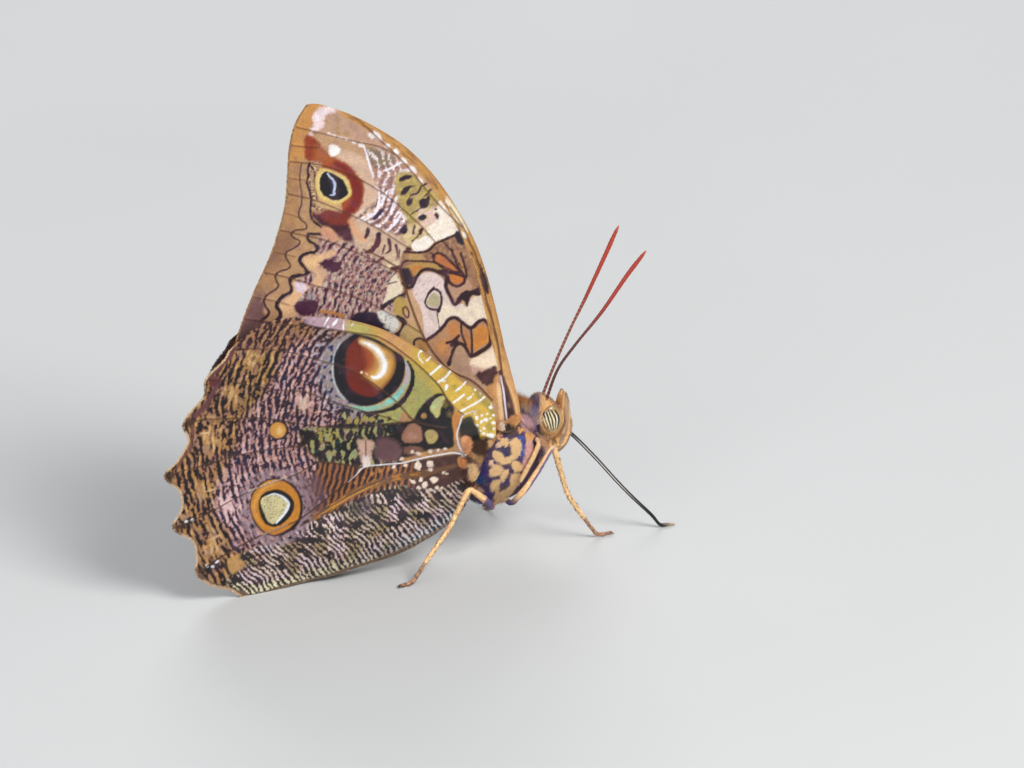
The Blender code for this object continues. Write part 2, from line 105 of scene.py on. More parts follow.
def noise(u, v, seed=0):
    """A smooth random field from about -1 to 1, with one bump to a unit."""
    iu, iv = np.floor(u), np.floor(v)
    fu, fv = u - iu, v - iv
    su, sv = fu * fu * (3 - 2 * fu), fv * fv * (3 - 2 * fv)
    total = 0.0
    for du in (0, 1):
        for dv in (0, 1):
            turn = np.sin((iu + du) * 127.1 + (iv + dv) * 311.7 + seed * 74.7) * 43758.5453
            turn = (turn - np.floor(turn)) * 2 * np.pi
            slope = np.cos(turn) * (fu - du) + np.sin(turn) * (fv - dv)
            total = total + slope * (su if du else 1 - su) * (sv if dv else 1 - sv)
    return total * 1.5


def step(low, high, x):
    """0 below low, 1 above high, and a smooth change between them."""
    t = np.clip((x - low) / (high - low), 0, 1)
    return t * t * (3 - 2 * t)


def points(text):
    return [tuple(float(n) for n in pair.split(",")) for pair in text.split()]


# %% [markdown]
# The edges of markings, veins and wings are curves, so a short list of points is made into a
# smooth run. The distance from it gives a stroke its width, a patch its soft edge and a vein its
# ridge.

# %% Lines and areas
def smooth(knots, closed=False, steps=5):
    """A smooth run of points through the knots."""
    k = np.array(knots, float)
    if closed:
        ends = np.vstack([k[-1:], k, k[:2]])
    else:
        ends = np.vstack([2 * k[:1] - k[1:2], k, 2 * k[-1:] - k[-2:-1]])
    t = (np.arange(steps) / steps)[:, None]
    out = []
    for a, b, c, d in zip(ends, ends[1:], ends[2:], ends[3:]):
        out.append(0.5 * (2 * b + (c - a) * t + (2 * a - 5 * b + 4 * c - d) * t ** 2
                          + (3 * b - a - 3 * c + d) * t ** 3))
    if not closed:
        out.append(k[-1:])
    return np.vstack(out)


def off_line(u, v, path):
    """Distance of every point from a path, and how far along the path it is, from 0 to 1."""
    best = np.full(u.shape, 1e9)
    where = np.zeros(u.shape)
    last = len(path) - 1
    for n in range(last):
        (au, av), (bu, bv) = path[n], path[n + 1]
        du, dv = bu - au, bv - av
        share = np.clip(((u - au) * du + (v - av) * dv) / max(du * du + dv * dv, 1e-12), 0, 1)
        away = np.hypot(u - au - share * du, v - av - share * dv)
        near = away < best
        best = np.where(near, away, best)
        where = np.where(near, (n + share) / last, where)
    return best, where


def within(u, v, path):
    """Whether each point lies inside a closed path."""
    hit = np.zeros(u.shape, bool)
    for (au, av), (bu, bv) in zip(path, np.roll(path, -1, axis=0)):
        if av != bv:
            cross = (bu - au) * (v - av) / (bv - av) + au
            hit ^= ((av > v) != (bv > v)) & (u < cross)
    return hit


# %% [markdown]
# A marking is laid on like paint: a ground first, then strokes, closed patches and ovals, each
# with a soft and slightly ragged edge, as the edges of coloured scales have. Noise gives the
# raggedness. A stroke can be broad at one end and narrow at the other, like most of the lines on
# the wings.

# %% Paint
class Paint:
    """Colours of a set of points on the marking chart, laid on coat by coat."""

    def __init__(self, u, v, ground):
        self.u, self.v = u, v
        self.colour = np.tile(linear(ground), (len(u), 1))
        self.wander = noise(u / 3.1, v / 3.1, 1) + 0.6 * noise(u / 1.4, v / 1.4, 2)

    def lay(self, code, share, where=None):
        where = slice(None) if where is None else where
        self.colour[where] += (linear(code) - self.colour[where]) * share[..., None]

    def reach(self, path, margin):
        low, high = path.min(axis=0) - margin, path.max(axis=0) + margin
        return np.nonzero((self.u > low[0]) & (self.u < high[0])
                          & (self.v > low[1]) & (self.v < high[1]))[0]

    def line(self, code, text, width=1.0, soft=0.9, rough=0.0, strength=1.0):
        """A stroke: its half width is one number, or several from its start to its end."""
        path = smooth(points(text))
        widths = np.atleast_1d(width)
        where = self.reach(path, widths.max() + soft + rough * 2 + 1)
        if not len(where):
            return
        away, along = off_line(self.u[where], self.v[where], path)
        half = np.interp(along, np.linspace(0, 1, len(widths)), widths)
        edge = half - away + rough * self.wander[where]
        self.lay(code, strength * np.clip(edge / soft + 0.5, 0, 1), where)

    def patch(self, code, text, soft=1.2, rough=0.0, strength=1.0, steps=5):
        """A closed shape filled with colour."""
        path = smooth(points(text), closed=True, steps=steps)
        where = self.reach(path, soft + rough * 2 + 1)
        if not len(where):
            return
        u, v = self.u[where], self.v[where]
        away = off_line(u, v, np.vstack([path, path[:1]]))[0]
        away = np.where(within(u, v, path), away, -away) + rough * self.wander[where]
        self.lay(code, strength * np.clip(away / soft + 0.5, 0, 1), where)

    def spots(self, code, text, soft=1.0, rough=0.3, strength=1.0):
        """Ovals, each given as centre u, centre v, half width, half height."""
        for spot in text.split(";"):
            numbers = [float(n) for n in spot.replace(",", " ").split()]
            cu, cv, ru, rv = numbers[:4]
            turn = math.radians(numbers[4]) if len(numbers) > 4 else 0.0
            where = self.reach(np.array([[cu, cv]]), max(ru, rv) + soft + rough * 2 + 1)
            if not len(where):
                continue
            du, dv = self.u[where] - cu, self.v[where] - cv
            a = (du * math.cos(turn) + dv * math.sin(turn)) / ru
            b = (dv * math.cos(turn) - du * math.sin(turn)) / rv
            edge = (1 - np.hypot(a, b)) * min(ru, rv) + rough * self.wander[where]
            self.lay(code, strength * np.clip(edge / soft + 0.5, 0, 1), where)

    def area(self, text, soft=6.0, rough=0.0):
        """How far each point is into a closed area, from 0 outside to 1 inside."""
        path = smooth(points(text), closed=True)
        share = np.zeros(len(self.u))
        where = self.reach(path, soft + rough * 2 + 1)
        u, v = self.u[where], self.v[where]
        away = off_line(u, v, np.vstack([path, path[:1]]))[0]
        away = np.where(within(u, v, path), away, -away) + rough * self.wander[where]
        share[where] = np.clip(away / soft + 0.5, 0, 1)
        return share


# %% [markdown]
# The underside is covered in short dark bars, like ripples round the wing root. Their phase
# grows with the distance from a centre, and noise bends, breaks and thins them.

# %% Ripples
def ripple(u, v, cu, cv, across, along, seed, broken=0.9, facing=1):
    """Broken ripples round a centre: a field whose high parts make short dark bars."""
    r = np.hypot(u - cu, v - cv)
    t = np.arctan2(v - cv, facing * (u - cu))
    bend = 2.2 * noise(u / 17, v / 17, seed + 5)
    jag = 1.1 * noise(u / 4.3, v / 4.3, seed + 6) + 0.7 * noise(u / 2.1, v / 2.1, seed + 7)
    bars = np.sin(2 * np.pi * (r + bend * 1.6 + jag) / across)
    breaks = noise((r + bend) / (across * 0.62), t * 190 / (along * 0.8), seed)
    fine = noise(r / 2.4, t * 190 / (along * 0.3), seed + 9)
    return 0.55 * bars + broken * breaks + 0.5 * fine


# %% [markdown]
# The forewing's underside, from the tip downwards: a plain ochre border, a small eye spot
# in a red-brown field, a belt of ripples, two ragged dark lines, and cream, olive and brown fields
# outlined in near-black in the cell by the front edge. The coats are laid in that order, and the
# veins come last. A noise pattern alone would give the right colours in the wrong places.
#
# The wing ends in a plain border without ripples, ochre at the tip and plum-brown lower down, with
# a white bow across the ochre. Large soft patches come first, as all the rest is laid over them.

# %% Forewing: border and tip
def forewing_border(p, u, v, fine):
    """The plain outer border, ochre at the tip and brown where it meets the hindwing."""
    p.patch("AE8258", "300,98 330,106 322,120 318,142 309,165 308,195 312,220 324,232 312,250 "
            "300,258 308,270 293,279 293,291 280,302 282,318 268,334 225,356 222,330 250,288 "
            "268,250 282,205 284,150 292,115", soft=2)
    p.patch("C98F4E", "292,98 326,103 323,112 316,119 312,132 309,150 308,162 286,162 290,130",
            soft=6)
    p.patch("B98A58", "286,160 308,160 306,180 302,205 305,225 292,236 280,250 270,262 262,280 "
            "255,275 276,225 284,190", soft=8, strength=0.35)
    p.patch("8B6248", "290,232 296,245 282,262 270,270 262,262 272,240", soft=10, strength=0.8)
    p.patch("75504E", "262,292 272,308 264,330 242,358 228,352 238,322 250,300", soft=14)
    p.patch("5A4440", "262,322 262,336 240,360 228,350 242,330", soft=10, strength=0.8)
    p.lay("8E6248", 0.55 * step(0.1, 0.9, noise(u / 6, v / 6, 8)) * p.area(
        "286,160 306,165 300,215 296,250 282,275 268,300 260,335 232,350 255,290 278,225", 4))


def forewing_tip(p, u, v, fine):
    """Soft fields of the tip and its white bow."""
    p.patch("C39A80", "331,112 352,117 374,133 390,150 362,143 340,137 321,134 325,122", soft=5)
    p.lay("A98953", 0.7 * step(-0.1, 0.6, noise(u / 7, v / 7, 11)) * p.area(
        "330,114 346,117 356,130 350,137 330,135 324,126", 4))
    p.patch("C39A74", "314,137 340,140 366,147 372,160 366,172 350,168 338,160 328,150 318,144",
            soft=4)
    p.patch("DDB89C", "342,152 360,156 372,170 378,190 378,212 366,222 352,220 362,205 364,186 "
            "356,172 340,160", soft=5)
    # white bow inside the ochre tip
    p.line("F6DDDC", "334,111.5 325,113 320,119 319.5,126 314,131", [3.0, 4.5, 6.2, 5.2, 2.2],
           soft=3, rough=1.1)
    p.line("FFEDEE", "330,112 323,115 319.5,120", [1.5, 2.5, 2.0], soft=2, rough=1.0)
    p.spots("F4D8D0", "312,136,2.4,2.2", soft=2, rough=0.8)


# %% [markdown]
# An eye spot is a ring in a ring: a pale rim, a black disc and a blue-white streak. The red-brown
# field round it and the two wavy lines beside it make it stand out, so they are drawn with it.

# %% Forewing: eye spot and its field
def forewing_red_field(p, u, v, fine):
    """Red-brown field that wraps the eye spot."""
    p.patch("A34820", "306.5,138 312,137 319,143 323,149 334,158 348,165 357,175 364,184 364,196 "
            "361,208 352,216 344,216 340,200 320,166 307,162 306,150", soft=2.4, rough=1.0)
    p.patch("7E221A", "336,162 348,167 357,176 363,186 363,197 360,207 351,215 340,214 350,205 "
            "352,190 345,175 336,168", soft=5, rough=0.8)
    p.patch("8A3019", "306.5,139 318,142 321,150 314,160 307,161", soft=4, rough=0.8, strength=0.7)
    p.patch("B06A34", "318,146 330,154 336,160 326,164 316,160", soft=7, strength=0.6)
    # dark field under the eye spot
    p.patch("7E2E20", "312,214 325,208 340,213 354,215 360,222 358,234 350,240 340,235 328,228 "
            "318,224", soft=3, rough=1.4)
    p.patch("431A26", "312,218 318,216 330,224 342,226 352,224 358,228 356,236 350,241 341,238 "
            "330,230 318,226", soft=4, rough=2.0)
    p.spots("51222E", "350,238,8,5,20", soft=3, rough=2.0)


def forewing_waves(p, u, v, fine):
    """Cream bars and dark wavy lines left of the eye spot."""
    p.patch("DDB67E", "303,165 309,165 308,195 310,214 302,210 301,190", soft=2)
    p.patch("B98F6C", "311,164 322,164 322,172 318,186 320,200 326,210 316,214 311,200 309,182",
            soft=3)
    mottle = p.area("311,164 322,164 320,172 317,186 319,200 326,208 320,214 311,204 309,182", 2)
    p.lay("5F3440", mottle * 0.85 * step(0.0, 0.3, noise(u / 2.4, v / 2.0, 14)))
    p.lay("E8CF9C", mottle * 0.8 * step(0.1, 0.5, noise(u / 2.6, v / 2.0, 15)))
    wave_a = ("303,164 301.5,172 301,180 302,190 303,196 302.5,205 300.5,211 299.7,215 301.3,219.8 "
              "306.9,224.6 307.4,229 303,230.4 297.3,231 292.4,233.7 294.1,238.1 300.3,241.3 "
              "299.7,245.3 294.1,249.3 287.8,252.5 286.2,255.7 288.6,261.3 291.4,266 288.6,269.6 "
              "281,272 276.6,275.6 277.4,281.2 279.5,286 276.6,290 270,294 266,298 265,302 "
              "267,307.5 270,312 268,316.5 262,321")
    wave_b = ("310.5,164 309,171 309.5,177 308,183 310.5,192 312,200 311.5,208 311.7,215 "
              "313.3,220.6 318.9,225.4 323.6,229.4 326.4,233.5 322.8,235.2 315,234.5 309.3,235.3 "
              "308.7,239.5 311.5,242.5 316.5,245.3 319.3,249 315.7,252.5 310,253.6 304.5,255.4 "
              "300.5,259.5 302.3,264 306.1,268.4 308.9,272.2 305.3,275.6 298.1,276 291.9,278.6 "
              "291.2,283.6 293.1,289.2 290.6,293.4 283.5,297.1 278.5,302.7 277.6,307 281.4,312.3 "
              "280.6,317.9 275,323")
    p.line("2A1220", "309,165 315.5,172 316,184 318,198 315.5,208", 0.7, soft=1, rough=0.7)
    p.lay("B88E64", p.area("303,165 310,165 309,195 313,217 325,232 312,250 300,258 308,270 "
            "293,280 293,291 280,302 280,318 268,320 266,300 280,286 278,274 291,266 288,252 "
            "300,246 296,238 306,230 300,214", 2.5))
    p.lay("C79C6C", 0.6 * step(0.0, 0.6, noise(u / 7, v / 7, 16)) * p.area(
        "300,165 310,165 309,195 313,217 325,232 300,258 293,280 280,302 268,318 262,300 276,280 "
        "286,255 296,230 300,200", 4))
    p.line("3E1C26", wave_a, [0.6, 0.8, 0.85, 0.85, 0.9, 1.5], soft=0.9, rough=0.2)
    p.line("2A1224", wave_b, [1.2, 1.2, 1.2, 1.5, 1.4, 1.8, 1.9, 2.1, 1.9, 2.0], soft=0.9,
           rough=0.6)
    p.spots("24101F", "325.5,233.5,3.6,2.2,-10; 318,247.6,3.4,2.6,40; 308.5,272.5,3.8,2.6,-20; "
            "279,305,2,3", soft=1.2, rough=0.8)


def forewing_eye_spot(p, u, v, fine):
    """The eye spot itself."""
    p.patch("DDB868", "316,184 317,177 320,171 326,169.5 334,172 342,175.5 349,181 351.5,188 "
            "352.5,195 348,200 341,204.5 335,206 327,203 320,198 317,191", soft=1.2, rough=0.45)
    p.patch("F0DFA0", "318,180 322,173 328,171 336,174 345,178 349,186 350,194 344,200 336,204 "
            "328,201 321,196 318,188", soft=4, strength=0.5)
    p.patch("14101A", "321,180 323,175.5 327,172.5 332,174 338,177 344,181 347.5,188 349,194 "
            "345,198 339.5,201 334,201 327,198 322,193 320.5,186", soft=1.0, rough=0.5)
    p.line("3C5FB8", "333,180 334.5,186 334,193 332.5,196", 0.8, soft=1.0, strength=0.8)
    p.line("D6E2F6", "328.5,174.5 331,178 334,181 336,186 335,192 335,195.5 331,196",
           [0.5, 0.8, 1.1, 0.9, 0.5], soft=0.8, rough=0.3)
    p.patch("D8B27C", "316,200 326,205 336,208 338,211 328,210 318,206", soft=2, rough=1.2)


# %% [markdown]
# Ripples nearly hide the ground here. Two fields of them, fine and wide, are added up before they
# are cut into darks, which breaks them as unevenly as the real ones.

# %% Forewing: ripples of the middle
def forewing_middle(p, u, v, fine):
    """Middle of the wing: fine broken ripples on cream, pink and grey-green."""
    middle = p.area("318,238 330,240 345,243 360,240 366,224 380,222 396,234 410,246 406,262 "
            "396,272 404,292 404,304 398,310 384,312 374,322 352,326 330,330 300,338 268,342 "
            "262,330 285,322 286,300 298,292 300,280 314,274 310,262 322,250", 4)
    p.lay("B08A80", middle)
    p.lay("CF988A", middle * 0.8 * step(-0.3, 0.4, noise(u / 5, v / 7, 21)))
    p.lay("B4B09C", middle * 0.85 * step(-0.05, 0.35, noise(u / 2.4, v / 4, 22)))
    p.lay("E2CDB8", middle * 0.75 * step(0.15, 0.5, noise(u / 2.2, v / 3.6, 23)))
    bars = ripple(u - 0.25 * v, v, 430, 395, 5.8, 9.0, 31) + 0.25 * fine
    wide = ripple(u - 0.25 * v, v, 430, 395, 10.5, 13.0, 32)
    p.lay("8A5460", middle * 0.9 * step(-0.15, 0.2, bars))
    p.lay("4A2440", middle * step(0.25, 0.6, bars + 0.35 * wide))
    p.lay("2C1636", middle * step(0.8, 1.1, bars + 0.4 * wide))
    warm = p.area("345,262 372,256 395,268 402,290 385,302 360,300 345,285", 10)
    p.lay("C07A64", warm * 0.55 * step(-0.1, 0.35, noise(u / 2.6, v / 3.4, 24)))
    p.lay("B0AA98", warm * 0.5 * step(0.15, 0.4, noise(u / 2.0, v / 2.6, 26)))
    p.lay("3E2448", warm * 0.9 * step(0.22, 0.45, noise((u + 0.5 * v) / 2.2, (v - 0.5 * u) / 3.6,
                                                        25)))


def forewing_flushes(p, u, v, fine):
    """Orange flushes and maroon spots between the veins."""
    p.patch("DDB088", "304.5,260 310.1,258 319.7,255.5 332.4,250 336,255 328,259 322,262.5 326,269 "
            "327.5,274 320.5,287 312.5,285 316.5,275 309.3,270 306,264.4", soft=2.5, rough=1.0)
    p.patch("EDBE88", "305,260.5 312,258 322,256.5 321,262 316,267 309,268", soft=4, strength=0.8)
    p.patch("D89C78", "322.8,227.8 330.8,228.6 338,237.3 336,242 327.6,239 322,234", soft=2.5,
            rough=1.0)
    p.patch("EBB98A", "293.3,282.8 306.9,284.5 307.7,290 301.3,297.9 295.5,306.7 298.1,314.9 "
            "286.2,319.7 283,311 280.5,304 291.9,295.5 294.5,289", soft=2, rough=0.9)
    p.patch("E6CFDA", "297,282.5 305,284 307.5,288 304,293 298,292 296,287", soft=2.5, rough=1.2)
    p.patch("431430", "320,262.8 330.8,259.7 339.6,262.8 342,269.2 335.6,272.8 327.6,270.6 "
            "321.3,266", soft=2, rough=1.6)
    p.patch("471C36", "294.5,306.9 302.9,300.8 314.9,300 320,308.5 313.8,314.3 304,316 298,312.8",
            soft=2, rough=1.6)
    p.line("D08A4E", "322,311.8 332,313 339,315 344,317", 1.6, soft=1.6, rough=0.6)
    p.spots("8D8A90", "312,297,4,3", soft=3, rough=1.5, strength=0.7)
    # bars under the second median vein, right of the dark field
    upper = p.area("352,216 366,222 384,230 402,238 412,248 409,262 400,269 388,266 372,256 "
            "356,246", 3)
    p.lay("DDBC9C", upper * 0.85)
    p.line("E6A57C", "352,222 356,232 364,240", 3, soft=3, rough=1.0, strength=0.8)
    p.line("5C2A34", "379.5,235 378,243 373,250 366,253", [2.2, 3.2, 2.6, 1.2], soft=1, rough=0.9)
    p.line("6B3038", "369,230 366,238", [1.8, 1.6], soft=1, rough=0.8)
    p.line("5A3040", "389,240 391,250 386,254", [1.8, 1.3, 0.6], soft=1, rough=0.6)
    p.line("5A3040", "396.5,246 398,256 396,264", [1.6, 0.9, 0.6], soft=1, rough=0.5)
    p.line("6A3A40", "383,258 378,262 372,262", [1.5, 1.5, 0.8], soft=1, rough=0.8)
    p.line("6A3A40", "385,246 383,254", [1.0, 1.2], soft=1, rough=0.8)
    p.line("E9CDA8", "402,246 402,258 397,265 389,267", 3.0, soft=2.5, rough=0.5)
    p.line("704048", "400,250 399.5,260", 0.7, soft=0.8, rough=0.4)
    p.line("4A1A2A", "409,248 407,260 401,267 392,269", [2.6, 2.8, 2.4, 1.6], soft=1.2, rough=0.5)


# %% [markdown]
# Near the front edge lie curved white streaks, partly pale scales and partly painted highlights of
# glare, and below them is an olive field with black-brown bars. The long streaks are single
# strokes, because each one is seen by itself.

# %% Forewing: white streaks and olive field
def forewing_streaks(p, u, v, fine):
    """Glare field: white streaks on mauve brown, partly pale scales and partly painted highlights.
    """
    glare = p.area("378,150 392,155 404,168 404,182 396,196 404,212 410,226 404,238 388,230 "
            "372,222 376,208 379,192 372,170 366,152", 6)
    p.lay("B0857A", glare * 0.9)
    p.lay("CF9C7C", glare * 0.7 * step(-0.1, 0.4, noise(u / 4, v / 5, 41)))
    p.lay("7A5560", glare * 0.6 * step(0.2, 0.5, noise(u / 3.4, v / 3.4, 42)))
    p.patch("8A7E58", "366,149 376,149 388,155 396,161 390,167 379,168 370,160", soft=5,
            strength=0.75, rough=1.5)
    arcs = 1.25 * ripple(u, v, 340, 178, 7.6, 15, 43, broken=0.5) + 0.1 * fine
    low = p.area("356,218 372,206 380,198 398,196 408,206 410,224 404,236 392,234 374,226", 5)
    p.lay("4C3450", np.maximum(glare * 0.35, low * 0.8) * step(0.35, 0.7, -arcs))
    p.lay("FFF4FA", np.maximum(glare * 0.75, low * 0.95) * step(0.3, 0.6, arcs))
    # white strokes: painted highlights of glare over pale scales
    for stroke, width in (
            ("376,188 379.5,191 379.8,198 379,206 376,213.5 370,218 363.5,221.5", 1.3),
            ("393,190 388,192 384.5,199 382.5,207", 1.2),
            ("400,196 396,201 393,209 391.5,213", 1.6),
            ("403,175 399.5,175.5 405,172.5 411,170 417,168.5", 2.0),
            ("403,163 397,166 391,169.5 384,172", 1.1),
            ("362,143.5 365.5,150 369,161 372,172 374,178", 1.1),
            ("390,229.5 397,222 402,214", 1.5)):
        p.line("FFF4FA", stroke, [width * 0.6, width, width * 0.7], soft=1.1, rough=0.5)
    p.line("3E2A4A", "375,219.5 380,214 382.5,211.5", 1.8, soft=1, rough=0.6)
    p.spots("3A2238", "368.4,233.6,1.8,3.6,15; 378.5,236,2.2,3.2,20", soft=1, rough=0.7)


def forewing_olive_field(p, u, v, fine):
    """Olive field with dark patches, and the white bar inside it."""
    streak = noise((u + v) / 2.2, (u - v) / 9.0, 4)
    olive = p.area("396,178 404,172 416,178 430,190 440,202 434,210 428,222 430,236 420,240 "
            "410,246 402,238 408,224 402,210 398,196", 4)
    p.lay("B39A5A", olive)
    p.lay("CDB07A", olive * 0.7 * step(0, 0.6, noise(u / 5, v / 5, 51)))
    p.patch("E2C49A", "404,228 414,224 424,224 428,230 424,240 414,244 406,246", soft=4, rough=1)
    p.patch("EBC8B8", "416,212 424,208 436,208 442,216 436,226 426,228 420,222", soft=4, rough=1)
    p.patch("FBEBD8", "440,201 448,205 455,219 460,230 452,236 442,240 433,241 429,236 427,228 "
            "436,222 434,212 438,206", soft=1.6, rough=0.6)
    p.patch("FCEFE2", "412,246 417,240 424,237 432,236 435,240 431,246 424,251 416,252", soft=1.4,
            rough=0.6)
    p.lay("C9B45C", olive * 0.8 * step(0.0, 0.5, noise(u / 4, v / 4, 52)))
    for bar in ("398.8,181.5 401,178.5 404.5,176.5 408.5,175.5 412.5,177 409.5,180 405.5,181 "
                "401.5,182.5", "400.8,195.5 402.8,190 407,187 415.5,186.2 411,189.2 407.5,193.5 "
                "404,195.5", "407,205.5 408,200.5 412.7,198.8 412.6,204 410,206.4",
                "420,201 426.5,198 429,194.5 430,200.4 427.5,207.6 421.5,208.6",
                "399.3,231 406.6,224.6 407.8,231.8 403.6,234.6"):
        p.patch("2E1E2E", bar, soft=1.1, rough=0.6)
    for stroke, width in (("409.5,200 411.5,196 417,194.2 420.4,189.7 422,186.5 427.5,184", 0.9),
                          ("411.8,214.5 417.3,211.2 423,207", 0.8),
                          ("425,197 428.5,193 431,190", 0.8), ("421,232 417,238 412,242", 0.8),
                          ("415,226 413.5,234", 0.9)):
        p.line("3A2230", stroke, width, soft=0.9, rough=0.6)
    p.spots("2A2234", "422.8,218,4.4,3,-25", soft=1.1, rough=0.7)
    p.spots("4A2430", "437,216.5,2.3,3.4,-20; 436,209.5,1.2,0.9; 421,231.5,2,4,10", soft=1.1,
            rough=0.8)
    p.lay("FFFFFF", 0.5 * step(0.1, 0.6, streak)
          * p.area("432,224 452,214 460,230 446,238 434,236", 4))


# %% [markdown]
# The cell between the main veins has the boldest drawing: brown loops, then a cream field round a
# closed drop. Each form is a soft patch first, and gets its near-black outline after that.

# %% Forewing: loops and cream field
def forewing_loops(p, u, v, fine):
    """Brown loops of the inner half."""
    inner = p.area("404,252 418,253 430,250 438,243 456,236 468,244 480,262 488,282 488,292 "
            "470,296 456,306 446,296 444,282 430,272 418,276 410,290 402,292 400,270", 2)
    p.lay("A07454", inner)
    p.lay("7C5244", inner * 0.7 * step(-0.1, 0.5, noise(u / 5, v / 5, 61)))
    p.lay("C09A7A", inner * 0.5 * step(0.1, 0.5, noise(u / 2.4, v / 4, 64)))
    p.patch("BD9560", "411,252 420,254 426,260 416,262 409,260", soft=1.5)
    p.patch("B8904F", "405,268 416,263 428,262 440,266 446,274 440,275 430,269 418,273 408,282 "
            "402,278", soft=1.6)
    p.patch("C87838", "411,268 420,265 424,268 416,272 410,277", soft=3, strength=0.7)
    p.patch("C2733E", "434,256 440,254 450,262 457,270 454,274 444,268 436,262", soft=1.4)
    p.patch("B98555", "454,252 459,252 464,266 465,275 460,271 456,262", soft=1.4)
    p.patch("CC7838", "450,275 455,272.5 462,275 463,281 457,284.5 451,281", soft=1.4)
    p.patch("C09478", "448,284 454,286 462,286 468,280 472,288 470,294 462,292 458,302 453,300",
            soft=1.6)
    for stroke, width in (
            ("400,271 405,262 418,261.5 430,262 440,265 452,271 461,273", 1.0),
            ("433,257 437,253.5 443,255 450,261 456,267 461,272", 1.3),
            ("433,257 436,263 444,269 452,273.5", 1.1),
            ("452,250 455,259 459,268 464,275", 1.3), ("461,254 464,263 467,275", 1.2),
            ("405,252 417,253 428,251 436,244 447,239 456,235 463,230", 1.3),
            ("448,277 450,283 457,286.5 464,283 465,277", 1.5), ("440,271 452,273 466,277", 1.6),
            ("428,250 436,258", 0.6), ("443,241 452,252 462,268", 0.7)):
        p.line("3B1A22", stroke, width, soft=0.9, rough=0.45)
    p.patch("252430", "455,233 463,231 467,240 463,246 457,242", soft=1.5, rough=0.8)
    p.patch("2C1D2A", "400,270 408,268 412,274 414,282 408,286 402,280", soft=1.8, rough=1.0)


def forewing_cream_field(p, u, v, fine):
    """The cream field in the cell."""
    p.patch("E8D0C8", "413,288 419,277 428,272.5 437,274.5 444,281 446,292 451,302 455,306 462,304 "
            "467,308 471,300 480,296 484,290 490,300 492,313 493.5,327 487,321 480,320 471,326 "
            "463,321 455,317 447,321 440,330 426,338 424,325 421,308 415,298", soft=1.2, rough=0.3)
    p.patch("F0DDC2", "447,300 455,308 470,306 474,298 484,292 490,304 492,322 480,318 470,324 "
            "456,315 444,320 436,328 438,312 444,306", soft=5)
    p.lay("C2A0A4", 0.55 * step(0.1, 0.6, noise((u + v) / 2.2, (u - v) / 9, 62)) * p.area(
        "414,290 420,278 432,275 440,282 438,292 424,300 416,300", 3))
    for stroke, width in (
            ("403,284 409,288 413,286 417,277 423,270.5 431,269.5 440,273 447,276.5 446,287 "
             "451,298 455,305 460,297 466,292", [1.6, 1.8, 1.6, 1.7, 2.0, 1.9, 1.5, 1.3]),
            ("434,288.5 440.5,293 441.5,303 438.5,311.5", [1.3, 1.2, 1.2, 1.8]),
            ("434,288.5 428.5,294.5 425.5,303.5 430.5,309 438,310", [1.6, 1.1, 1.1, 1.6]),
            ("437,311 438.5,322 440,330", 0.5)):
        p.line("33161F", stroke, width, soft=0.9, rough=0.4)
    p.patch("B9AA86", "434,293 439,296 440,304 436,308 430,306 427,303 430,296", soft=1.4)
    p.patch("2B141C", "455,305 459,297 466,291 474,290 480,285 484,278 488,282 486,291 479,296 "
            "472,296 469,303 467,307 463,300 459,304", soft=1.2, rough=0.5)


# %% [markdown]
# Two orange-brown lobes close the cell towards the root. Their outline swells and thins, so its
# stroke has a width at each of its points.

# %% Forewing: lobes beside the front edge
def forewing_lobes(p, u, v, fine):
    """Brown and orange lobes outlined in dark."""
    p.patch("B78660", "427,340 438,333 447,326 451,319 458,318 464,323 471,328 479,321 486,321 "
            "491,330 491,343 484,351 473,356 468,354 465,347 459,343 455,349 452,358 449,364 "
            "442,362 434,352", soft=1)
    p.patch("CC8A4E", "436,345 444,340 449,341 448,350 446,357 440,354", soft=5)
    p.patch("C4804A", "448,329 452,323 458,323.5 460,331 458,339 452,339", soft=2.5)
    p.patch("BE7C46", "463,331 468,333 471,343 470,351 466,346", soft=1.5)
    p.patch("CF8432", "474.5,331 483,325.5 488.5,331 489,341 482,345.5 474.5,349", soft=1.6)
    for stroke, width in (
            ("427,340 437,333 444,326 449,319.5 456,318 463,323 471,328 479,321.5 485,320.5 "
             "490,328 491,341 488,347 481,351.5 473,356 469,354.5 465.5,347.5 460,343.5 455,348 "
             "452,357 449,364", [1.6, 1.7, 1.8, 1.9, 1.9, 1.8, 2.0, 1.8, 1.9, 2.2, 2.2, 2.3, 2.3,
                                 2.2, 1.9, 2.0, 2.0, 2.3, 2.4]),
            ("461,324 462,334 466,345", 1.2), ("471,329 472,340 472,354", 1.2),
            ("447,343 453,341 459,336", 1.5), ("452,345 457,342", 2.2)):
        p.line("35151B", stroke, width, soft=0.9, rough=0.35)
    # below the lobes
    p.patch("B48E70", "455,351 460,346 466,352 470,360 474,372 482,384 488,392 478,388 464,376 "
            "452,366", soft=1.8)
    p.patch("F2D9BC", "470,361 480,356 489,350 494,345 497,357 497,368 489,370 480,369 474,371",
            soft=2.2, rough=0.8)
    p.patch("C9A08C", "472,366 482,368 490,370 484,374 474,374", soft=4)
    p.patch("43201A", "475,374 485,370 495,366 498,371 498,382 492,388 482,383", soft=2.5,
            rough=1.2)
    p.patch("C58A55", "486,388 494,384 500,390 502,404 496,404 488,396", soft=3)


